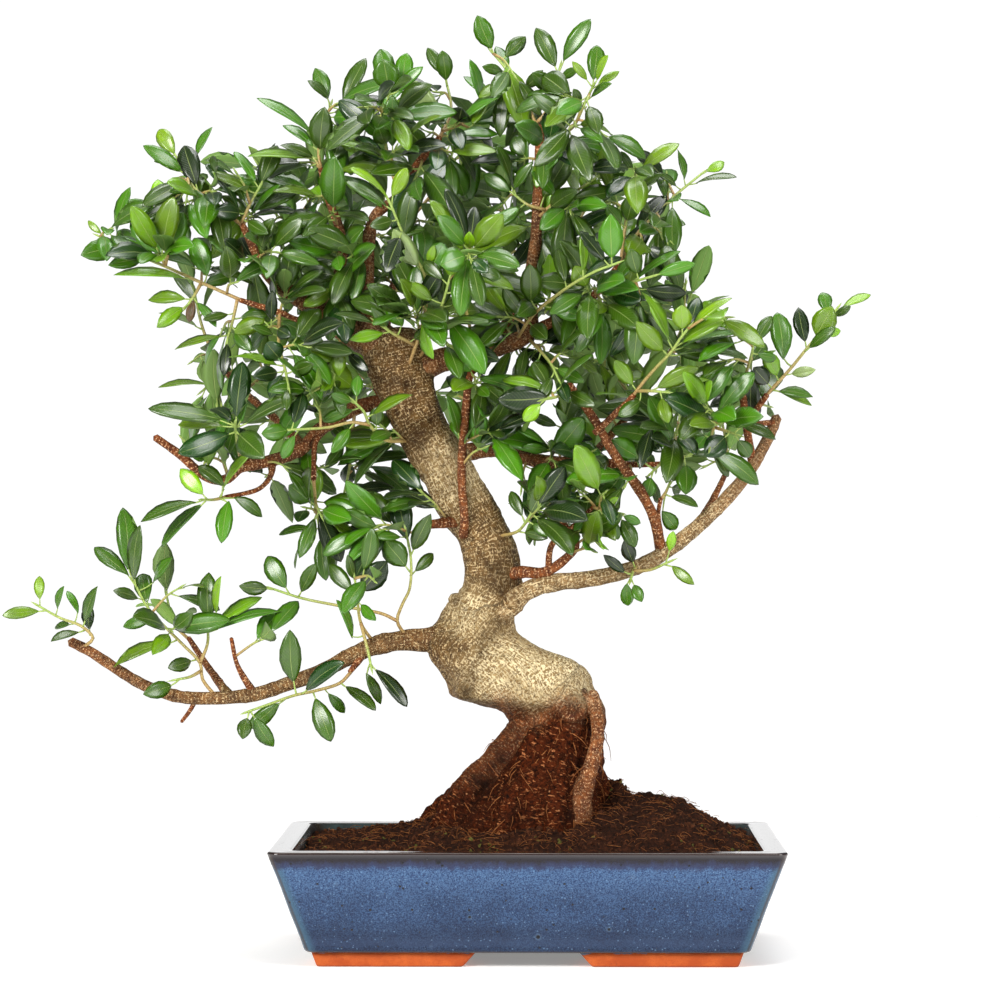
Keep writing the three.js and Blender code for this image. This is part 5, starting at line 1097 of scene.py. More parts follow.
def make_pot_walls(glaze):
    rings = []
    for inset, height in pot_profile():
        radius = max(CORNER_RADIUS, 5.0) if inset < 10 or inset > RIM_WIDTH - 3 else CORNER_RADIUS
        rings.append(rounded_outline(RIM_LENGTH / 2 - inset, RIM_DEPTH / 2 - inset, radius, height))
    points, faces = skin(rings)
    walls = mesh_piece("pot_walls", points, faces, (glaze,))
    for side in (-1, 1):
        hole = [[(side * DRAIN_HOLE_X + DRAIN_HOLE_RADIUS * math.cos(a), DRAIN_HOLE_RADIUS * math.sin(a), z)
                 for a in np.arange(24) * math.pi / 12] for z in (0, 40)]
        cutter = mesh_piece("drain_hole", *skin(hole), ())
        cut = walls.modifiers.new("hole", "BOOLEAN")
        cut.object, cut.operation, cut.solver = cutter, "DIFFERENCE", "EXACT"
        settle_modifiers(walls)
        bpy.data.objects.remove(cutter)
    place = points_of(walls)
    x, y, z = np.abs(place[:, 0]), np.abs(place[:, 1]), place[:, 2]
    from_end, from_side = RIM_LENGTH / 2 - wall_inset(z) - x, RIM_DEPTH / 2 - wall_inset(z) - y
    outside = ease(np.minimum(from_end, from_side), 6, 3.5)
    corner = outside * ease(np.maximum(from_end, from_side), 17, 1.0)
    inner = ease(np.minimum(from_end, from_side), RIM_WIDTH - 1.8, RIM_WIDTH - 0.4) * ease(z, 91.4, 90.4)
    outer_edge = ease(np.minimum(from_end, from_side), 2.6, 1.4) * ease(z, 89.6, 90.6)
    edge = np.maximum(outer_edge, 0.8 * inner * ease(z, 88.5, 90.5))
    set_values(walls.data, corner=corner, inner=inner, edge=edge)
    sway = np.array([noise.fractal(Vector(p) * 0.014, 0.8, 2.0, 2) for p in place])
    level = ease(z, 12, 30) * ease(z, 90, 70) * outside
    place[:, 1] -= np.sign(place[:, 1]) * level * (from_side < from_end) * np.abs(sway) * 0.9
    place[:, 0] -= np.sign(place[:, 0]) * level * (from_end <= from_side) * np.abs(sway) * 0.9
    move_points(walls, place)
    walls.data.polygons.foreach_set("use_smooth", [True] * len(walls.data.polygons))
    return finish_piece(walls, "glaze", "pot")


def make_pot_feet(clay):
    outer_end = RIM_LENGTH / 2 - WALL_TAPER - FOOT_INSET
    outer_side = RIM_DEPTH / 2 - WALL_TAPER - FOOT_INSET
    form = Form()
    rounding = ((0, 1.1), (0.35, 0.45), (1.1, 0))
    for side_x in (-1, 1):
        for side_y in (-1, 1):
            rings = []
            for height, tuck in (*rounding, (FOOT_HEIGHT / 2, 0), (FOOT_HEIGHT + 1.2, 0)):
                share = height / FOOT_HEIGHT
                inner_x = FOOT_INNER_END + FOOT_CHAMFER * (1 - share) + tuck
                outer_x = outer_end - 4 * (1 - share) - tuck
                inner_y = outer_side - FOOT_DEPTH + 4 * (1 - share) + tuck
                outer_y = outer_side - 3 * (1 - share) - tuck
                half_x, half_y = (outer_x - inner_x) / 2, (outer_y - inner_y) / 2
                ring = rounded_outline(half_x, half_y, 2.5, height)
                middle = (side_x * (inner_x + outer_x) / 2, side_y * (inner_y + outer_y) / 2)
                rings.append([(x + middle[0], y + middle[1], z) for x, y, z in ring])
            form.add(*skin(rings))
    return finish_piece(form.piece("pot_feet", clay), "glaze", "pot")


# Soil

def soil_height(x, y):
    crest = np.interp(x, [at for at, _ in SOIL_CREST], [top for _, top in SOIL_CREST])
    fall = 1 - np.minimum(1, np.abs(y - SOIL_CREST_Y) / SOIL_HALF_DEPTH) ** 2
    clods = 1.1 * np.sin(0.11 * x + 0.07 * y) + 0.9 * np.sin(0.05 * x - 0.13 * y)
    return SOIL_EDGE_HEIGHT + (crest - SOIL_EDGE_HEIGHT) * fall + clods


def cavity_plan(u, v, height, clearance):
    """A place inside the pot from shares of its length and depth, drawn in at the round corners."""
    inset = RIM_WIDTH + (POT_HEIGHT - height) * WALL_TAPER / (POT_HEIGHT - FOOT_HEIGHT) + clearance
    half_x, half_y, radius = RIM_LENGTH / 2 - inset, RIM_DEPTH / 2 - inset, CORNER_RADIUS - 2
    x, y = u * half_x, v * half_y
    over_x, over_y = np.abs(x) - half_x + radius, np.abs(y) - half_y + radius
    round_off = np.where((over_x > 0) & (over_y > 0),
                         np.maximum(over_x, over_y) / np.maximum(np.hypot(over_x, over_y), 1e-6), 1)
    x = np.where(round_off < 1, np.sign(x) * (half_x - radius + over_x * round_off), x)
    y = np.where(round_off < 1, np.sign(y) * (half_y - radius + over_y * round_off), y)
    return x, y


def make_soil(peat):
    columns, rows = 150, 96
    u, v = np.meshgrid(np.linspace(-1, 1, columns + 1), np.linspace(-1, 1, rows + 1))
    u, v = u.ravel(), v.ravel()
    x, y = cavity_plan(u, v, 84.0, 0.4)
    z = soil_height(x, y)
    for i in range(len(z)):
        spot = Vector((x[i], y[i], 0))
        rough = noise.fractal(spot * 0.06, 0.7, 2.1, 5) * 3.2 + noise.fractal(spot * 0.3, 0.8, 2.0, 3) * 1.3
        z[i] += rough - 0.6
    for middle_x, middle_y, reach, height in SOIL_CLODS:
        z += height * np.exp(-((x - middle_x) ** 2 + (y - middle_y) ** 2) / reach ** 2)
    x, y = cavity_plan(u, v, z, 0.4)
    rim = np.maximum(np.abs(u), np.abs(v)) > 0.9999
    z[rim] = np.minimum(z[rim], 86)
    low_x, low_y = cavity_plan(u, v, SOIL_UNDERSIDE, 0.8)
    count = len(z)
    underside = np.column_stack((low_x, low_y, np.full(count, SOIL_UNDERSIDE)))
    points = np.concatenate((np.column_stack((x, y, z)), underside))
    faces = []
    wide = columns + 1
    for row in range(rows):
        for column in range(columns):
            a = row * wide + column
            faces.append((a, a + 1, a + 1 + wide, a + wide))
            faces.append(tuple(count + i for i in (a + wide, a + 1 + wide, a + 1, a)))
    ring = [*range(columns), *(columns + r * wide for r in range(rows)),
            *(rows * wide + c for c in range(columns, 0, -1)), *(r * wide for r in range(rows, 0, -1))]
    for a, b in zip(ring, ring[1:] + ring[:1]):
        faces.append((b, a, count + a, count + b))
    used = np.unique(np.concatenate([np.array(f) for f in faces]))
    mound = mesh_piece("soil_mound", points[used], renumbered(faces, used), (peat,))
    return finish_piece(mound, "peat", "soil")


def renumbered(faces, used):
    place = {old: new for new, old in enumerate(used.tolist())}
    return [tuple(place[i] for i in face) for face in faces]


# Crumbs and fibres lie on the soil by Geometry Nodes

def litter_tree():
    tree = bpy.data.node_groups.new("litter on the soil", "GeometryNodeTree")
    for name, kind, usual in (("Ground", "Geometry", None), ("Crumbs per m2", "Float", 16000.0),
                              ("Crumb size", "Float", 0.0016), ("Fibres per m2", "Float", 9000.0),
                              ("Fibre length", "Float", 0.010), ("Seed", "Int", 5),
                              ("Crumb finish", "Material", None), ("Fibre finish", "Material", None)):
        socket = tree.interface.new_socket(name=name, in_out="INPUT", socket_type="NodeSocket" + kind)
        if usual is not None:
            socket.default_value = usual
    tree.interface.new_socket(name="Litter", in_out="OUTPUT", socket_type="NodeSocketGeometry")
    given = outputs_of(tree.nodes.new("NodeGroupInput"))
    result = tree.nodes.new("NodeGroupOutput").inputs[0]

    def scattered(density, shape, size_low, size_high, seed_shift, flat):
        seed = given["Seed"] + float(seed_shift)
        spots = add(tree, "GeometryNodeDistributePointsOnFaces",
                    {"Mesh": given["Ground"], "Density": density, "Seed": seed})[0]
        ranges = (((-flat, -flat, 0.0), (flat, flat, 6.28)), ((size_low,) * 3, (size_high,) * 3))
        spin, grow = (add(tree, "FunctionNodeRandomValue", {0: low, 1: high, "Seed": seed},
                          data_type="FLOAT_VECTOR")[0] for low, high in ranges)
        lay = add(tree, "GeometryNodeInstanceOnPoints",
                  {"Points": spots, "Instance": shape, "Rotation": spin, "Scale": grow})[0]
        return add(tree, "GeometryNodeRealizeInstances", {0: lay})[0]

    crumb = add(tree, "GeometryNodeMeshIcoSphere", {"Radius": given["Crumb size"], "Subdivisions": 1})[0]
    crumbs = scattered(given["Crumbs per m2"], crumb, 0.35, 1.9, 1, 3.1)
    wobble = add(tree, "ShaderNodeTexNoise", {"Scale": 420.0, "Detail": 1.0})["Color"]
    push = add(tree, "ShaderNodeVectorMath", {0: wobble, 1: (0.5, 0.5, 0.5)}, operation="SUBTRACT")[0]
    push = add(tree, "ShaderNodeVectorMath", {0: push, "Scale": 0.0026}, operation="SCALE")[0]
    crumbs = add(tree, "GeometryNodeSetPosition", {"Geometry": crumbs, "Offset": push})[0]
    crumbs = add(tree, "GeometryNodeSetMaterial", {"Geometry": crumbs, "Material": given["Crumb finish"]})[0]

    half = given["Fibre length"] * 0.5
    back = half * -1.0
    start = add(tree, "ShaderNodeCombineXYZ", {0: back, 2: 0.0})[0]
    crown = add(tree, "ShaderNodeCombineXYZ", {1: back, 2: half * 0.9})[0]
    end = add(tree, "ShaderNodeCombineXYZ", {0: half, 1: half, 2: 0.0003})[0]
    arch = add(tree, "GeometryNodeCurveQuadraticBezier",
               {"Resolution": 5, "Start": start, "Middle": crown, "End": end})[0]
    round_cut = add(tree, "GeometryNodeCurvePrimitiveCircle", {"Resolution": 3, "Radius": 0.00022})[0]
    strand = add(tree, "GeometryNodeCurveToMesh",
                 {"Curve": arch, "Profile Curve": round_cut, "Fill Caps": True})[0]
    fibres = scattered(given["Fibres per m2"], strand, 0.35, 1.25, 2, 0.5)
    fibres = add(tree, "GeometryNodeSetMaterial", {"Geometry": fibres, "Material": given["Fibre finish"]})[0]
    whole = tree.nodes.new("GeometryNodeJoinGeometry")
    for litter in (crumbs, fibres):
        feed(whole.inputs[0], litter)
    feed(result, outputs_of(whole)[0])
    return tree


def set_inputs(modifier, tree, **values):
    """Sets a tree's inputs by the identifiers of their sockets."""
    sockets = {item.name: item.identifier for item in tree.interface.items_tree if item.in_out == "INPUT"}
    for name, value in values.items():
        modifier[sockets[name.replace("_", " ")]] = value


def make_litter(soil, tree, name, keep, crumb_finish, fibre_finish, **inputs):
    """Litter over the part of the soil's top that keep(x, y, z) leaves."""
    top = points_of(soil)
    faces = [tuple(face.vertices) for face in soil.data.polygons]
    shown = [face for face in faces if min(top[list(face), 2]) > 60 and keep(*top[list(face)].mean(axis=0))]
    used = np.unique(np.concatenate([np.array(face) for face in shown]))
    litter = mesh_piece(name, top[used], renumbered(shown, used), ())
    modifier = litter.modifiers.new("litter", "NODES")
    modifier.node_group = tree
    set_inputs(modifier, tree, Crumb_finish=crumb_finish, Fibre_finish=fibre_finish, **inputs)
    settle_modifiers(litter)
    return finish_piece(litter, "peat", "soil")


# Wood

KNOTS = [
    # x, z, radius and depth of the scar as they show on the front
    (-57, 281, 7, 1.6), (-50, 274, 3, 0.8), (-49, 210, 8, 1.4), (-34, 206, 3, 0.5), (-88, 414, 8, 1.4),
    (-72, 398, 4, 0.8), (-97, 452, 5, 0.9), (-78, 425, 4, 0.7), (-60, 356, 3.5, 0.7), (-30, 306, 4, 0.9),
    (-84, 380, 3, 0.6), (-104, 431, 4, 0.8), (-44, 330, 3, 0.5),
]
CURL = (35, 195, 9)
DARK_STREAKS = [
    # x, z, reach and depth of the shaded folds
    (-30, 252, 8, 0.5), (-37, 242, 9, 0.5), (-43, 230, 9, 0.5), (-45, 218, 8, 0.5), (-54, 240, 15, 0.35),
    (-24, 262, 6, 0.5),
    (-26, 300, 9, 0.5), (-20, 292, 8, 0.5), (-38, 316, 7, 0.5), (-62, 366, 7, 0.5), (-93, 440, 10, 0.5),
    (-110, 452, 9, 0.5), (-84, 404, 8, 0.5), (-12, 174, 9, 0.9), (-24, 155, 13, 0.9), (-34, 136, 15, 0.9),
    (-42, 118, 15, 0.9), (-56, 102, 14, 0.8), (45, 152, 8, 0.9), (40, 130, 8, 0.9), (34, 112, 10, 0.9),
    (-8, 112, 12, 0.8),
]


TRUNK_SIDES = 44
STUB_LENGTH = 46
GRAIN_SIZE = 0.0017


def trunk_lumps(along, angle):
    """Shallow swellings that climb slowly round the trunk."""
    return 1 + 0.04 * np.sin(3 * angle + 0.09 * along) + 0.03 * np.sin(5 * angle - 0.06 * along)


def lumpy_rings(sections):
    angles = np.arange(TRUNK_SIDES) * 2 * math.pi / TRUNK_SIDES
    return [[(x + width * trunk_lumps(z, a) * math.cos(a), y + depth * trunk_lumps(z, a) * math.sin(a), z)
             for a in angles] for x, y, z, width, depth in sections]


def trunk_rings():
    rows = [(*seen(x, y, height), width, depth) for x, y, height, width, depth in TRUNK_SECTIONS]
    return smooth_rows(rows, 4.0)


def raised(rows):
    return [(*seen(x, y, z), radius) for x, y, z, radius in rows]


def seen_path(rows):
    return [seen(*row) for row in rows]


def cut_short(rows):
    """The first stretch of a limb, as a stub that the limb's own sleeve covers."""
    fine = smooth_rows(raised(rows), 3.0)
    along = travel_frames(fine[:, :3])[0]
    stub = fine[along <= STUB_LENGTH]
    stub[:, 3] *= 1.0 - 0.10 * along[:len(stub)] / STUB_LENGTH
    return stub


def skeleton():
    """Every axis in the trunk and roots, as place, radius, frame and kind, for grain and zones."""
    axes = []
    core = trunk_rings()
    axes.append((core[:, :3], (core[:, 3] + core[:, 4]) / 2, 0))
    mass = smooth_rows(ROOT_MASS, 6.0)
    axes.append((mass[:, :3], (mass[:, 3] + mass[:, 4]) / 2, 1))
    for i, rows in enumerate(ROOTS):
        fine = smooth_rows(raised(rows), 4.0)
        axes.append((fine[:, :3], fine[:, 3], 2 if i == 1 else 3 if i == 0 else 1))
    for rows in LIMBS + BACK_TWIGS:
        stub = cut_short(rows)
        axes.append((stub[:, :3], stub[:, 3], 4))
    return axes


def smoothed(points, pairs, rounds, strength=0.5):
    """Points drawn towards the middle of their neighbours."""
    counts = np.bincount(pairs.ravel(), minlength=len(points)).astype(float)[:, None]
    for _ in range(rounds):
        total = np.zeros_like(points)
        for axis in range(3):
            total[:, axis] = (np.bincount(pairs[:, 0], points[pairs[:, 1], axis], len(points))
                              + np.bincount(pairs[:, 1], points[pairs[:, 0], axis], len(points)))
        points = points + strength * (total / np.maximum(counts, 1) - points)
    return points


def nearest_grain(points, axes):
    """Grain coordinates of each point about the axis that it lies deepest in, and the kind of that axis."""
    best = np.full(len(points), 1e9)
    grain = np.zeros((len(points), 3))
    kinds = np.zeros(len(points), int)
    for middles, radii, kind in axes:
        along, ways, normals, across = travel_frames(middles)
        away = np.linalg.norm(points[:, None, :] - middles[None], axis=2)
        gap = away / radii[None] * (0.7 if kind in (2, 3) else 1)
        nearest = gap.argmin(axis=1)
        least = gap[np.arange(len(points)), nearest]
        closer = least < best
        offset = points - middles[nearest]
        local = np.column_stack(((offset * normals[nearest]).sum(1), (offset * across[nearest]).sum(1),
                                 along[nearest] + (offset * ways[nearest]).sum(1)))
        best = np.where(closer, least, best)
        grain[closer] = local[closer]
        kinds[closer] = kind
    return grain, kinds


def make_trunk(bark):
    form = Form()
    core = trunk_rings()
    form.add(*skin(lumpy_rings(core)))
    form.add(*skin(lumpy_rings(smooth_rows(ROOT_MASS, 6.0))))
    wood = Form("grain")
    for rows in ROOTS:
        tube(wood, raised(rows), 5.0, 18)
    for rows in LIMBS + BACK_TWIGS:
        tube(wood, cut_short(rows), 4.0, 14)
    form.add(wood.points, wood.faces)
    for x, z, radius, _ in KNOTS[:5]:
        front = trunk_front(x, z, core)
        form.add(*round_boss(front, radius * 0.95))
    x, z, radius = CURL
    form.add(*round_boss(trunk_front(x, z, core) + Vector((0, 2, 0)), radius * 1.35))

    trunk = form.piece("trunk_and_roots", bark)
    remesh = trunk.modifiers.new("grown together", "REMESH")
    remesh.mode, remesh.voxel_size, remesh.adaptivity = "VOXEL", GRAIN_SIZE, 0.0
    settle_modifiers(trunk)
    trunk.data.materials.clear()
    trunk.data.materials.append(bark)
    points = points_of(trunk)
    pairs = np.empty(len(trunk.data.edges) * 2, np.int32)
    trunk.data.edges.foreach_get("vertices", pairs)
    pairs = pairs.reshape(-1, 2)
    points = smoothed(points, pairs, 5)
    move_points(trunk, points)
    normals = np.array([tuple(n.vector) for n in trunk.data.vertex_normals])
    grain, kinds = nearest_grain(points, skeleton())
    x, y, z = points.T
    in_earth = ease(z + 5 * np.sin(0.21 * x), 200, 178)
    in_earth = np.maximum(in_earth, ease(np.hypot(x - CURL[0], z - CURL[1]), 13, 9) * 0.4 * (y < 0))
    in_earth = np.where(kinds == 2, in_earth * ease(z, 150, 96) * 0.45, in_earth)
    in_earth = np.where(kinds == 3, in_earth * (0.6 + 0.4 * ease(z, 160, 120)), in_earth)
    ruddy = np.where(kinds == 2, 0.74, 0) + np.where(kinds == 3, 0.65, 0)
    ruddy = np.maximum(ruddy, 0.8 * ease(z + 6 * np.sin(0.13 * x + 1), 212, 188))
    # Paler bark on the bulge, with a painted highlight where the light falls on it
    pale = ease(np.hypot((x - 8) / 1.4, z - 222), 62, 22) * ease(z, 190, 203)
    pale = np.maximum(pale, 0.8 * ease(np.hypot(x + 48, z - 272), 34, 10))
    pale = np.maximum(pale, 0.12 * ease(np.hypot(x + 30, z - 325), 60, 20))
    # Painted light: a paler patch high on the trunk, lifting the bark where the crown shades it
    pale = np.maximum(pale, 0.8 * ease(np.hypot(x + 56, z - 384), 46, 14))

    push = np.zeros(len(points))
    dark = np.zeros(len(points))
    front = (y < 0) * 1.0
    # Knots and the curl swell at the rim and sink in the middle; their dark middles are scar colour with
    # painted shade in the hollow
    for kx, kz, radius, depth in KNOTS:
        far = np.hypot(x - kx, (z - kz) * 0.9) / radius
        push += front * (1.1 * np.exp(-((far - 1.0) / 0.35) ** 2) - depth * np.exp(-(far / 0.6) ** 2))
        dark = np.maximum(dark, front * 0.75 * np.exp(-(far / 0.75) ** 4))
    far = np.hypot(x - CURL[0], z - CURL[1]) / CURL[2]
    turn = np.arctan2(z - CURL[1], x - CURL[0])
    push += front * 2.2 * np.exp(-((far - 1.0) / 0.28) ** 2) * (0.75 + 0.25 * np.cos(turn - 2.2))
    push -= front * 2.6 * np.exp(-((far - 0.45) / 0.22) ** 2)
    dark = np.maximum(dark, front * 0.6 * np.exp(-((far - 0.45) / 0.25) ** 2))
    # Painted shade down the folds of the trunk and in the clefts between the roots
    for sx, sz, reach, depth in DARK_STREAKS:
        shows = (y < 4) * ((kinds < 2) | (kinds == 3) & (sz < 180))
        dark = np.maximum(dark, depth * shows * np.exp(-((x - sx) ** 2 + (z - sz) ** 2) / reach ** 2))
    spread = np.zeros(len(points))
    for i in range(len(points)):
        g = Vector(grain[i])
        place = Vector(points[i])
        lump = noise.fractal(place * 0.035, 0.9, 2.0, 3) * 1.5
        wrinkle = noise.noise(Vector((g.x * 0.06, g.y * 0.06, g.z * 0.30)))
        fibre = noise.fractal(Vector((g.x * 0.13, g.y * 0.13, g.z * 0.09)), 0.7, 2.1, 4)
        deep = in_earth[i]
        spread[i] = lump * (1 - 0.4 * deep) + wrinkle * 0.55 * (1 - deep) + fibre * 1.9 * deep
        dark[i] = min(1.0, dark[i] * (0.7 + 0.6 * noise.noise(place * 0.12)))
    points = points + normals * (push + spread)[:, None]
    points = smoothed(points, pairs, 1, 0.3)
    # Painted shade in every hollow, stronger in the root base, from how far the surface sinks below its
    # neighbours
    sunk = ((smoothed(points, pairs, 14) - points) * normals).sum(1)
    hollow = np.maximum(np.clip(dark, 0, 1), ease(sunk, 0.35, 1.9) * (0.45 + 0.45 * in_earth))
    move_points(trunk, points)
    set_values(trunk.data, pale=pale, ruddy=ruddy, earthy=in_earth, hollow=hollow, grain=grain)
    trunk.data.polygons.foreach_set("use_smooth", [True] * len(trunk.data.polygons))
    return finish_piece(trunk, "bark", "trunk")


def trunk_front(x, z, core):
    """The place on the front of the trunk that shows at x and z."""
    row = core[np.abs(core[:, 2] - z).argmin()]
    out = np.clip((x - row[0]) / row[3], -0.96, 0.96)
    return Vector((x, row[1] - row[4] * math.sqrt(1 - out * out), z))


def round_boss(middle, radius):
    rings = []
    for i in range(1, 8):
        angle = math.pi * i / 8
        level, wide = -radius * math.cos(angle), radius * math.sin(angle)
        rings.append([(middle.x + wide * math.cos(a), middle.y + wide * math.sin(a), middle.z + level)
                      for a in np.arange(14) * math.pi / 7])
    return skin(rings)


HAIR_ROOTS = 170


def make_hair_roots(trunk, fibres, draw):
    """Fine roots that leave the root base and lie down along it."""
    form = Form()
    places = points_of(trunk)
    low = np.flatnonzero((places[:, 2] > 100) & (places[:, 2] < 192)).tolist()
    for _ in range(HAIR_ROOTS):
        at = draw.choice(low)
        place, out = Vector(places[at]), trunk.data.vertex_normals[at].vector.copy()
        down = square_to(Vector((draw.uniform(-0.9, 0.9), draw.uniform(-0.3, 0.3), -1)), out)
        long, stand = draw.uniform(6, 22), draw.uniform(0.5, 3.5)
        rows = [(*(place - out), 0.42), (*(place + out * stand + down * long * 0.45), 0.34),
                (*(place + out * stand * 0.8 + down * long), 0.14)]
        tube(form, rows, 4.0, 3)
    return finish_piece(form.piece("hair_roots", fibres), "bark")


LIMB_TONES = (
    # how red-brown and how pale each limb's bark is
    (0.18, 0.08), (0.14, 0.6), (0.85, 0.1), (0.7, 0.1), (0.6, 0.1), (0.4, 0.0), (0.55, 0.0), (0.6, 0.0),
    (0.8, 0.1),
)


def make_limbs(bark, draw):
    form = Form("grain", "ruddy", "pale", "earthy", "hollow")
    limbs = [(rows, *tones, 14) for rows, tones in zip(LIMBS, LIMB_TONES)]
    limbs += [(rows, 0.9, 0.1, 9) for rows in WOODY_TWIGS] + [(rows, 0.8, 0.0, 9) for rows in BACK_TWIGS]
    for rows, share, paleness, sides in limbs:
        phase = draw.uniform(0, 6)
        joints = sorted(draw.uniform(4, 420) for _ in range(26))

        def swell(along, angle):
            knuckle = sum(math.exp(-((along - at) / 1.6) ** 2) for at in joints)
            bend = noise.noise(Vector((math.cos(angle) * 1.2, math.sin(angle) * 1.2, along * 0.09 + phase)))
            sleeve = 1.03 - 0.10 * math.exp(-along / 14)
            return sleeve + 0.10 * min(1.0, knuckle) * (0.8 + 0.2 * math.sin(angle + phase)) + 0.11 * bend

        tip_red = min(1.0, share + 0.5)
        length = sum(math.dist(a[:3], b[:3]) for a, b in zip(rows, rows[1:]))
        tube(form, raised(rows), 2.6, sides, swell,
             ruddy=lambda s: share + (tip_red - share) * float(ease(s * length, length * 0.55, length)),
             pale=paleness)
    return finish_piece(form.piece("limbs_and_twigs", bark), "bark", "trunk")


# Leaves

LEAF_STATIONS = (
    # share of the length, then the share of the width in a pointed leaf and in a blunt one
    (0.0, 0.06, 0.05), (0.09, 0.40, 0.28), (0.25, 0.80, 0.66), (0.45, 1.0, 0.93), (0.65, 0.92, 1.0),
    (0.83, 0.60, 0.80), (0.945, 0.22, 0.42),
)
BLADE_ACROSS = (-1.0, -0.5, 0.0, 0.5, 1.0)
BLADE_THICKNESS = 0.5


def put_leaf(form, root, base, tip, facing, width, tone, draw, stalk=0.75):
    """One leaf: a folded, arched blade with a pointed tip, and its stalk down to the stem."""
    along = tip - base
    length = along.length
    along.normalize()
    facing = square_to(facing, along)
    fold, wave = draw.uniform(0.10, 0.42), draw.uniform(-0.03, 0.03)
    twist, lean = draw.uniform(-0.35, 0.35), draw.uniform(-0.03, 0.03)
    chance, phase, blunt = draw.random(), draw.uniform(0, 6), draw.uniform(0.0, 0.65)
    chance *= 0.66 if tone >= L else 1.0
    points, blade = [], []
    for share, pointed, round_full in LEAF_STATIONS:
        up = facing.copy()
        up.rotate(Quaternion(along, twist * (share - 0.45)))
        right = along.cross(up)
        half = (pointed + (round_full - pointed) * blunt) * width / 2
        middle = base + along * (length * share) + up * (4 * BLADE_ARCH * length * share * (1 - share))
        middle += right * (lean * length * math.sin(math.pi * share))
        for level, sides in ((0.5, BLADE_ACROSS), (-0.5, BLADE_ACROSS[1:-1])):
            for side in sides:
                rise = fold * half * abs(side) * (1 - 0.45 * abs(side))
                rise += wave * length * side * abs(side) * math.sin(5.5 * share + phase)
                rise += level * BLADE_THICKNESS * (abs(side) < 0.9)
                points.append(middle + right * (side * half) + up * rise)
                blade.append((side, share, 0))
    points.append(tip)
    blade.append((0, 1, 0))
    faces = []
    top, low = (0, 1, 2, 3, 4), (0, 5, 6, 7, 4)
    last = 8 * (len(LEAF_STATIONS) - 1)
    for row in range(0, last, 8):
        for a, b in zip(top, top[1:]):
            faces.append((row + a, row + b, row + 8 + b, row + 8 + a))
        for a, b in zip(low, low[1:]):
            faces.append((row + b, row + a, row + 8 + a, row + 8 + b))
    end = last + 8
    for a, b in zip(top, top[1:]):
        faces.append((last + a, last + b, end))
    for a, b in zip(low, low[1:]):
        faces.append((last + b, last + a, end))
    faces.append((0, 5, 6, 7, 4, 3, 2, 1))
    start = len(form.faces)
    form.add(points, faces, 0, blade=blade, tone=float(tone), chance=chance, grain=(0, 0, 0), age=0.0)
    for first in range(start + 4, start + 8 * len(LEAF_STATIONS), 8):
        form.undersides.update(range(first, first + 4))
    bow = (root + base) / 2 + Vector((0, 0, -0.04 * (base - root).length))
    stem = [(*root, stalk * 1.25), (*bow, stalk), (*(base + along * (0.05 * length)), stalk * 0.7)]
    tube_into(form, stem, 5, 3.0, age=0.85 if tone < 4.5 else 1.0)


def tube_into(form, rows, sides, step, age, **more):
    """A stem or stalk in a leafy piece, in the second material."""
    first = len(form.faces)
    tube(form, rows, step, sides, blade=(0, 0, 0), tone=2.0, chance=0.5, age=age, **more)
    for i in range(first, len(form.faces)):
        form.kinds[i] = 1


def leaf_form():
    form = Form("blade", "tone", "chance", "grain", "age")
    form.undersides = set()
    return form


def leafy_piece(form, name, leaf, shoot, *nodes):
    piece = form.piece(name, leaf, shoot)
    under = piece.data.attributes.new("under", "FLOAT", "FACE")
    under.data.foreach_set("value", [1.0 if i in form.undersides else 0.0 for i in range(len(form.faces))])
    return finish_piece(piece, "leaf", *nodes)


def drawn_back(stems, reach):
    """Stems drawn back in depth, more and more towards their tips."""
    foot_x, _, foot_z = stems[0][0]
    farthest = max(math.hypot(x - foot_x, z - foot_z) for stem in stems for x, _, z in stem)
    return [[(x, y + reach * (math.hypot(x - foot_x, z - foot_z) / farthest) ** 1.3, z) for x, y, z in stem]
            for stem in stems]


def place_on_stems(stems, x, z, order):
    """The place on the stems nearest to a point in the front view, clear of the wood at their foot."""
    best = None
    for stem in stems:
        for i in range(len(stem) - 1):
            start, end = Vector(stem[i]), Vector(stem[i + 1])
            reach = (end - start).length
            span_x, span_z = end.x - start.x, end.z - start.z
            along = ((x - start.x) * span_x + (z - start.z) * span_z) / (span_x ** 2 + span_z ** 2)
            first = stem is stems[0] and i == 0
            least = min(1, (STEM_FOOT + TIP_STEP * (order % 3)) / reach) if first else 0
            most = 1 - (STEM_TIP + TIP_STEP * (order % 4)) / reach if i == len(stem) - 2 else 1
            place = start.lerp(end, max(least, min(most, along)))
            distance = math.hypot(place.x - x, place.z - z)
            if best is None or distance < best[1]:
                best = (place, distance)
    return best[0]


def way_along(path, share):
    """The place at a share of the way through a path's rows, and the direction that it runs there."""
    place = share * (len(path) - 1)
    index = min(len(path) - 2, int(place))
    way = (path[index + 1] - path[index]).normalized()
    return path[index].lerp(path[index + 1], place - index), way


def leaf_from_row(stems, row, order):
    base_x, base_z, tip_x, tip_z, shown, depth, tone = row
    place = place_on_stems(stems, base_x, base_z, order)
    root = seen(*place)
    tip = seen(tip_x, place.y + TIP_DEPTH * depth, tip_z)
    base = seen(base_x, place.y + 0.1 * depth, base_z)
    to_tip = (tip - root).normalized()
    if (base - root).length < STALK_LENGTH or (base - root).normalized().dot(to_tip) < 0.3:
        base = root + to_tip * STALK_LENGTH
    along = tip - base
    width = max(shown, SLENDEREST_BLADE * along.length)
    along.normalize()
    front = square_to(Vector((0, -1, 0)), along)
    over = square_to(square_to(Vector((0, -0.3, 1)), along), front)
    turn = math.acos(min(1, shown / width))
    return root, base, tip, (front * math.cos(turn) + over * math.sin(turn)).normalized(), width, tone


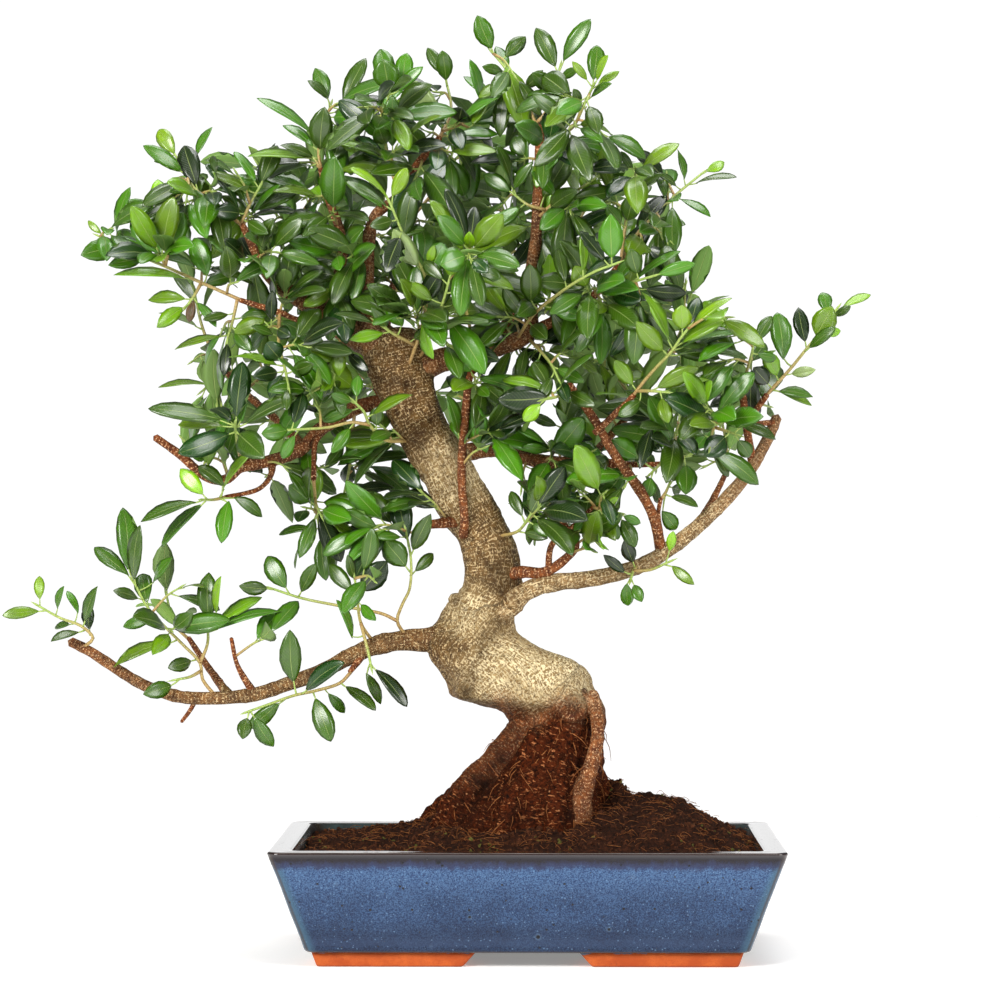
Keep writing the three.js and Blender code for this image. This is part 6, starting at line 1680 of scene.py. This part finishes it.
def seeded_draw(seed):
    """The same repeatable draws between 0 and 1 that set the back leaves in the solids."""
    state = seed
    full = 0xFFFFFFFF
    while True:
        state = (state + 0x6D2B79F5) & full
        stir = ((state ^ (state >> 15)) * (1 | state)) & full
        stir = ((stir + (((stir ^ (stir >> 7)) * (61 | stir)) & full)) & full) ^ stir
        yield (stir ^ (stir >> 14)) / 4294967296


def leaves_round_stem(stem, count, seed):
    """The leaves of a back spray, set round its stem by the golden angle."""
    drawn = seeded_draw(seed)
    leaves = []
    for i in range(count):
        share = 0.24 + 0.72 * i / (count - 1)
        root, way = way_along(seen_path(stem), share)
        side = square_to(Vector((1, 0, 0)), way)
        side.rotate(Quaternion(way, i * GOLDEN_ANGLE + seed))
        tilt = math.radians(68 - 34 * share + 10 * (next(drawn) - 0.5))
        along = way * math.cos(tilt) + side * math.sin(tilt)
        length = BACK_LEAF_LENGTH * (0.82 + 0.36 * next(drawn))
        base = root + along * STALK_LENGTH
        tip = base + along * length
        tip.z -= 0.12 * length * next(drawn)
        facing = (way + Vector((0, 0, 0.8))).normalized()
        leaves.append((root, base, tip, facing, length * (0.40 + 0.06 * next(drawn)), M))
    return leaves


BENDS = [(shift, turn) for turn in (0, 0.5, -0.5, 0.9) for shift in (0, -8, 8, -16, 16, -26, 26)]


def bent(leaf, bend):
    root, base, tip, facing, width, tone = leaf
    tip = tip + Vector((0, bend[0], 0))
    along = (tip - base).normalized()
    facing = square_to(facing, along)
    facing.rotate(Quaternion(along, bend[1]))
    return root, base, tip, facing, width, tone


def blade_frame(leaf):
    """The line from a blade's base to its tip, and the directions along it, up from it and to its right."""
    _, base, tip, facing, _, _ = leaf
    line = tip - base
    along = line.normalized()
    up = square_to(facing, along)
    return line, along, up, along.cross(up)


def solid_marks(leaf):
    """Places where the solid of a leaf has its corners: both faces of the tip, and the widest pair."""
    _, base, tip, _, width, _ = leaf
    line, along, up, right = blade_frame(leaf)
    length = line.length
    share, full = (0.48, 1.0) if length > 48 else (0.26, 0.90)
    middle = base + along * (length * share) + up * (4 * BLADE_ARCH * length * share * (1 - share))
    return [tip + up * 0.35, tip - up * 0.35, middle + right * (full * width / 2) + up * 0.35,
            middle - right * (full * width / 2) + up * 0.35]


def as_in_solid(leaf, solid_points):
    """The leaf bent the way its solid is."""
    def miss(bend):
        return sum(min(solid_points.find(mark)[2], 6.0) for mark in solid_marks(bent(leaf, bend)))
    return bent(leaf, min(BENDS, key=miss))


def node_points(name):
    points = (np.array([tuple(v.co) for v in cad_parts[name].data.vertices]) - POT_MIDDLE) / MM
    tree = kdtree.KDTree(len(points))
    for i, point in enumerate(points):
        tree.insert(point, i)
    tree.balance()
    return tree


def blade_tree(leaf):
    """A flat stand-in for a blade, to find whether it crosses others."""
    _, base, tip, _, width, _ = leaf
    line, _, _, right = blade_frame(leaf)
    half = right * (width / 2)
    middle = base + line * 0.5
    corners = [base, middle + half, tip, middle - half]
    return BVHTree.FromPolygons([tuple(p) for p in corners], [(0, 1, 2), (0, 2, 3)])


def solids_tree(names):
    points, faces = [], []
    for name in names:
        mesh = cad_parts[name].data
        start = len(points)
        points += [tuple((np.array(v.co) - POT_MIDDLE) / MM) for v in mesh.vertices]
        faces += [tuple(start + i for i in face.vertices) for face in mesh.polygons]
    return BVHTree.FromPolygons(points, faces)


def put_stems(form, stems):
    for stem in stems:
        count = len(stem) - 1
        rows = [(*seen(*place), GREEN_STEM_RADIUS * (1 - 0.34 * i / count)) for i, place in enumerate(stem)]
        tube_into(form, rows, 7, 4.0, age=lambda s: 0.15 + 0.8 * s)


def put_bud(form, stem, draw):
    """The pointed sheath at the end of a shoot."""
    before, end = seen(*stem[-2]), seen(*stem[-1])
    way = (end - before).normalized()
    long = draw.uniform(6, 10)
    rows = [(*(end - way * 2), 0.9), (*(end + way * long * 0.35), 1.05), (*(end + way * long * 0.75), 0.5),
            (*(end + way * long), 0.15)]
    tube_into(form, rows, 6, 3.0, age=1.0, round_tip=False)


# Leafy shoots that fill the crown between the sprays

CROWN = [
    # x, z, half width, half height and fullness of the foliage as it shows from the front
    (-219, 589, 88, 50, 1.0), (-103, 641, 60, 60, 1.0), (-127, 569, 152, 60, 1.0), (-7, 601, 88, 88, 1.0),
    (65, 585, 60, 60, 0.9), (-71, 513, 136, 40, 1.0), (57, 497, 88, 68, 1.0), (137, 457, 64, 60, 0.85),
    (81, 409, 72, 40, 0.95), (33, 353, 46, 40, 0.45), (-183, 465, 88, 48, 0.8), (-183, 409, 96, 32, 0.7),
    (-127, 377, 60, 48, 0.3), (-143, 313, 60, 46, 0.05), (-311, 573, 40, 32, 0.8), (9, 676, 40, 30, 0.5),
    (-30, 446, 42, 48, 0.5), (-262, 262, 70, 34, 0.1),
]
# How wide a blade is at shares of its length
BLADE_FULLNESS = ((0.08, 0.3), (0.2, 0.7), (0.35, 0.95), (0.5, 1.0), (0.65, 0.95), (0.8, 0.65), (0.94, 0.2))
CELL = 4.0
CELLS_X, CELLS_Z = (-372, 300), (150, 760)
SHOWN_WOOD = (0, 1, 2, 8)
TRUNK_SHOWS_BELOW = 508
DEEPEST, FRONTMOST = 172, -112
CROWD_BOX = 40
LONGEST_SHOOT = 80
SHORTEST_SHOOT = 16
TRIES_PER_SHOOT = 6
NEAR_FEET = 6


def shown_at(place):
    """The x and z at which a place shows from the front."""
    spread = 1 + place[1] / VIEW_DISTANCE
    return EYE_X + (place[0] - EYE_X) / spread, EYE_HEIGHT + (place[2] - EYE_HEIGHT) / spread


def cell_of(place):
    x, z = shown_at(place)
    return int((x - CELLS_X[0]) / CELL), int((z - CELLS_Z[0]) / CELL)


def blade_cells(leaf):
    """Cells of the front view that a blade covers."""
    line, _, _, right = blade_frame(leaf)
    cells = set()
    for share, full in BLADE_FULLNESS:
        for side in (-0.9, -0.45, 0.0, 0.45, 0.9):
            cells.add(cell_of(leaf[1] + line * share + right * (side * full * leaf[4] / 2)))
    return cells


def fullness_at(x, z):
    best = 0.0
    for middle_x, middle_z, half_x, half_z, full in CROWN:
        if ((x - middle_x) / half_x) ** 2 + ((z - middle_z) / half_z) ** 2 <= 1:
            best = max(best, full)
    return best


def wanted_cells():
    """Cells of the crown that the foliage covers, with its gaps where it is thinner."""
    wanted = set()
    for i in range(int((CELLS_X[1] - CELLS_X[0]) / CELL)):
        for k in range(int((CELLS_Z[1] - CELLS_Z[0]) / CELL)):
            x, z = CELLS_X[0] + (i + 0.5) * CELL, CELLS_Z[0] + (k + 0.5) * CELL
            full = fullness_at(x, z)
            gap = 0.5 + 0.9 * noise.noise(Vector((x, 0, z)) * 0.045)
            if full > 0 and gap < full + 0.12:
                wanted.add((i, k))
    return wanted


def wood_cells(rows):
    """Cells of the front view that a limb covers."""
    cells = set()
    for x, y, z, radius in smooth_rows(raised(rows), 3.0):
        for side in (-0.8, 0.0, 0.8):
            cells.add(cell_of((x + side * radius, y, z)))
            cells.add(cell_of((x, y, z + side * radius)))
    return cells


def trunk_cells():
    cells = set()
    for x, y, z, width, _ in trunk_rings():
        for side in np.linspace(-0.9, 0.9, 15):
            cells.add(cell_of((x + side * width, y, z)))
    return {cell for cell in cells if CELLS_Z[0] + cell[1] * CELL < TRUNK_SHOWS_BELOW}


def shown_wood_cells():
    """Cells where the trunk and the limbs that show bare must stay in view."""
    return trunk_cells().union(*(wood_cells(LIMBS[i]) for i in SHOWN_WOOD))


def footholds(rows):
    """Places every few millimetres along a stem or twig, for shoots to grow from."""
    return [Vector(row[:3]) for row in smooth_rows(rows, 8.0)]


def leaves_on_shoot(path, count, draw):
    """Leaves set round a shoot by the golden angle, their upper faces turned up and out of the crown."""
    leaves = []
    first = draw.uniform(0, 6.28)
    for i in range(count):
        share = 0.30 + 0.68 * i / (count - 1)
        root, way = way_along(path, share)
        side = square_to(Vector((0.3, 1, 0.2)), way)
        side.rotate(Quaternion(way, first + i * GOLDEN_ANGLE))
        tilt = math.radians(74 - 40 * share + draw.uniform(-9, 9))
        along = way * math.cos(tilt) + side * math.sin(tilt)
        length = SHOOT_LEAF_LENGTH * draw.uniform(0.75, 1.15) * (0.8 + 0.3 * math.sin(math.pi * share))
        base = root + along * draw.uniform(5.5, 8)
        tip = base + along * length
        tip.z -= draw.uniform(0, 0.16) * length
        outward = -0.9 if root.y < 45 else 0.8
        turned = Vector((draw.uniform(-0.35, 0.35), outward, draw.uniform(0.25, 1.0)))
        facing = (way * 0.5 + turned).normalized()
        inner = D if draw.random() < 0.5 else M
        tone = draw.choice((inner, inner, M, M, G, L)) if root.y < 60 else draw.choice((D, M, M, L))
        leaves.append((root, base, tip, facing, length * draw.uniform(0.38, 0.48), tone))
    return leaves


class Crowd:
    """The blades already in the crown, for finding whether a new one would cross them."""

    def __init__(self, solids):
        self.solids = solids
        self.blades = {}

    def boxes(self, each):
        """The box of space that a blade's middle lies in, in the middle of its 26 neighbours."""
        middle = (each[1] + each[2]) / 2
        i, k, m = (int(v // CROWD_BOX) for v in middle)
        near = (-1, 0, 1)
        return [(i + a, k + b, m + c) for a in near for b in near for c in near]

    def crosses(self, each):
        blade = blade_tree(each)
        if blade.overlap(self.solids):
            return True
        return any(blade.overlap(other) for key in self.boxes(each) for other in self.blades.get(key, ()))

    def add(self, each):
        own = self.boxes(each)[13]
        self.blades.setdefault(own, []).append(blade_tree(each))


def grow_crown(carriers, taken, crowd, draw, most_shoots):
    """Grows shoots from the nearest stems or twigs towards gaps in the crown, until it is full."""
    wanted = wanted_cells()
    bare_wood = shown_wood_cells()
    finder = kdtree.KDTree(len(carriers))
    for i, place in enumerate(carriers):
        x, z = shown_at(place)
        finder.insert((x, 0, z), i)
    finder.balance()
    shoots = []
    for _ in range(most_shoots * TRIES_PER_SHOOT):
        gaps = sorted(wanted - taken)
        if len(shoots) >= most_shoots or len(gaps) < 0.03 * len(wanted):
            break
        i, k = draw.choice(gaps)
        x, z = CELLS_X[0] + (i + 0.5) * CELL, CELLS_Z[0] + (k + 0.5) * CELL
        _, which, reach = draw.choice(finder.find_n((x, 0, z), NEAR_FEET))
        foot = carriers[which]
        if reach > LONGEST_SHOOT:
            continue
        depth = max(FRONTMOST, min(DEEPEST, foot.y + draw.uniform(-34, 34)))
        end = seen(x, depth, z)
        if (end - foot).length < SHORTEST_SHOOT:
            end = foot + (end - foot + Vector((0, -2, 3))).normalized() * SHORTEST_SHOOT
        long = (end - foot).length
        bow = foot.lerp(end, 0.5) + Vector((draw.uniform(-0.08, 0.08) * long, 0, 0.09 * long))
        path = [foot, bow, foot.lerp(end, 0.9)]
        leaves = []
        for each in leaves_on_shoot(path, draw.randint(4, 7), draw):
            for bend in BENDS[:12]:
                trial = bent(each, bend)
                cells = blade_cells(trial)
                x_tip, z_tip = shown_at(trial[2])
                front = trial[1].y < 14
                inside = fullness_at(x_tip, z_tip) > 0 and FRONTMOST - 20 < trial[2].y < DEEPEST + 12
                hides_wood = front and len(cells & bare_wood) > 2
                if inside and not hides_wood and not crowd.crosses(trial):
                    leaves.append(trial)
                    break
        fresh = set().union(*(blade_cells(each) for each in leaves)) - taken if leaves else set()
        if len(leaves) >= 2 and len(fresh & wanted) >= 3:
            for each in leaves:
                crowd.add(each)
            taken |= fresh
            shoots.append((path, leaves))
    return shoots


def put_shoot(form, path, leaves, draw):
    rows = [(*path[0], 1.25), (*path[1], 1.05), (*path[2], 0.8)]
    tube_into(form, rows, 6, 5.0, age=lambda s: 0.1 + 0.85 * s)
    way = (path[2] - path[1]).normalized()
    bud = [(*(path[2] - way), 0.8), (*(path[2] + way * 3), 0.95), (*(path[2] + way * 8), 0.15)]
    tube_into(form, bud, 5, 3.0, age=1.0, round_tip=False)
    for each in leaves:
        put_leaf(form, *each, draw, stalk=0.65)


# Everything in its place

draw = random.Random(41)
MOST_SHOOTS = 220
CROWN_PIECES = 4
glaze = glaze_finish()
clay = terracotta_finish()
netting = mesh_plastic_finish()
peat = peat_finish("damp peat", tint(18, 6, 2), tint(68, 36, 20), tint(112, 78, 52))
crumbs = peat_finish("peat crumbs", tint(30, 13, 6), tint(94, 54, 32), tint(140, 100, 70))
fibres = peat_finish("root fibres", tint(112, 62, 30), tint(176, 116, 68), tint(204, 158, 112))
moss = peat_finish("dry moss", tint(64, 62, 26), tint(112, 106, 52), tint(140, 130, 80))
bark = bark_finish()
shoot = shoot_finish()
leaf = leaf_finish()

make_pot_walls(glaze)
make_pot_feet(clay)
for name in ("drain_screen_left", "drain_screen_right"):
    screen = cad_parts[name]
    screen.data.materials.clear()
    screen.data.materials.append(netting)

soil = make_soil(peat)
litter = litter_tree()
make_litter(soil, litter, "peat_litter", lambda x, y, z: True, crumbs, fibres, Seed=5)
make_litter(soil, litter, "moss_tufts", lambda x, y, z: noise.noise(Vector((x, y, 3)) * 0.05) > 0.26,
            moss, fibres, Seed=9,
            Crumbs_per_m2=9000.0, Crumb_size=0.0014, Fibres_per_m2=9000.0, Fibre_length=0.014)

make_litter(soil, litter, "root_tangle", lambda x, y, z: 36 < math.hypot(x, y + 6) < 88,
            crumbs, fibres, Seed=13,
            Crumbs_per_m2=5000.0, Crumb_size=0.0022, Fibres_per_m2=15000.0, Fibre_length=0.017)

trunk = make_trunk(bark)
make_hair_roots(trunk, fibres, random.Random(12))
make_limbs(bark, draw)

spray_nodes = [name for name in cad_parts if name.startswith("spray_")]
crowd = Crowd(solids_tree([*spray_nodes, "trunk"]))
carriers = []
taken = shown_wood_cells()
for rows in LIMBS[3:] + WOODY_TWIGS + BACK_TWIGS:
    places = footholds(raised(rows))
    carriers += places[len(places) // 3:]


def close_spray(form, name, stems):
    """Ends a spray's stems in their buds and stands it in place of its solid."""
    for stem in stems:
        put_bud(form, stem, draw)
        carriers.extend(footholds(seen_path(stem)))
    leafy_piece(form, f"leaves_{name}", leaf, shoot, f"spray_{name}")


for name, reach, flat_stems, rows, young in SPRAYS:
    stems = drawn_back(flat_stems, reach)
    form = leaf_form()
    put_stems(form, stems)
    solid = node_points(f"spray_{name}")
    for order, row in enumerate(rows):
        each = as_in_solid(leaf_from_row(stems, row, order), solid)
        taken |= blade_cells(each)
        put_leaf(form, *each, draw)
    for order, row in enumerate(young, len(rows)):
        small = leaf_from_row(stems, row, order)
        trials = (bent(small, bend) for bend in BENDS)
        clear = next((trial for trial in trials if not crowd.crosses(trial)), small)
        crowd.add(clear)
        taken |= blade_cells(clear)
        put_leaf(form, *clear, draw, stalk=0.6)
    close_spray(form, name, stems)

for name, stem, count, seed in BACK_SPRAYS:
    form = leaf_form()
    put_stems(form, [stem])
    solid = node_points(f"spray_{name}")
    for each in leaves_round_stem(stem, count, seed):
        shaped = as_in_solid(each, solid)
        put_leaf(form, *shaped[:5], draw.choice((D, M, M, L)), draw)
    close_spray(form, name, [stem])

shoots = grow_crown(carriers, taken, crowd, draw, MOST_SHOOTS)
for part in range(CROWN_PIECES):
    form = leaf_form()
    for path, leaves in shoots[part::CROWN_PIECES]:
        put_shoot(form, path, leaves, draw)
    leafy_piece(form, f"crown_shoots_{part + 1}", leaf, shoot)

# Floor, light and camera

FLOOR_RADIUS = 1350
FLOOR_SIDES = 96
turns = np.arange(FLOOR_SIDES) * math.pi / (FLOOR_SIDES / 2)
disc = [(FLOOR_RADIUS * math.cos(turn), FLOOR_RADIUS * math.sin(turn), 0.0) for turn in turns]
floor = mesh_piece("paper_floor", disc, [tuple(range(FLOOR_SIDES))], (glowing_paper_finish(),))

world = bpy.data.worlds.new("white studio")
bpy.context.scene.world = world
world.use_nodes = True
sky = world.node_tree
level = abs(axes(add(sky, "ShaderNodeTexCoord")["Generated"])[2])
glow = between(level, 0.10, 0.20, 1.05, 0.14)
seen_behind = add(sky, "ShaderNodeLightPath")["Is Camera Ray"] * 1.05
feed(sky.nodes["Background"].inputs["Strength"], greater(glow, seen_behind))
feed(sky.nodes["Background"].inputs["Color"], (1.0, 1.0, 1.0, 1.0))

# Metres, from the floor's middle to halfway up the tree
TREE_MIDDLE = (0, 0, 0.38)


def softbox(name, place, size, power, colour):
    """A large soft light that looks at the middle of the tree."""
    lamp = bpy.data.lights.new(name, "AREA")
    lamp.shape = "RECTANGLE"
    lamp.size, lamp.size_y = size
    lamp.energy = power
    lamp.color = colour
    light = bpy.data.objects.new(name, lamp)
    light.location = place
    light.rotation_euler = (Vector(TREE_MIDDLE) - Vector(place)).to_track_quat("-Z", "Y").to_euler()
    bpy.context.scene.collection.objects.link(light)


softbox("key_softbox", (-1.4, -2.2, 1.5), (1.3, 1.0), 102, (1.0, 0.985, 0.96))
softbox("fill_softbox", (1.9, -1.7, 1.3), (1.2, 1.4), 54, (1.0, 0.99, 0.98))
softbox("top_softbox", (0.1, 0.3, 2.6), (1.6, 1.6), 52, (1.0, 1.0, 1.0))

lens = bpy.data.cameras.new("front_camera")
lens.lens = LENS
lens.sensor_width = 36
lens.clip_start, lens.clip_end = 0.05, 60
camera = bpy.data.objects.new("front_camera", lens)
camera.location = Vector(POT_MIDDLE) + Vector((EYE_X, -VIEW_DISTANCE, EYE_HEIGHT)) * MM
camera.rotation_euler = (math.pi / 2, 0, VIEW_TURN)
bpy.context.scene.collection.objects.link(camera)
bpy.context.scene.camera = camera
bpy.context.scene.view_settings.view_transform = "Standard"
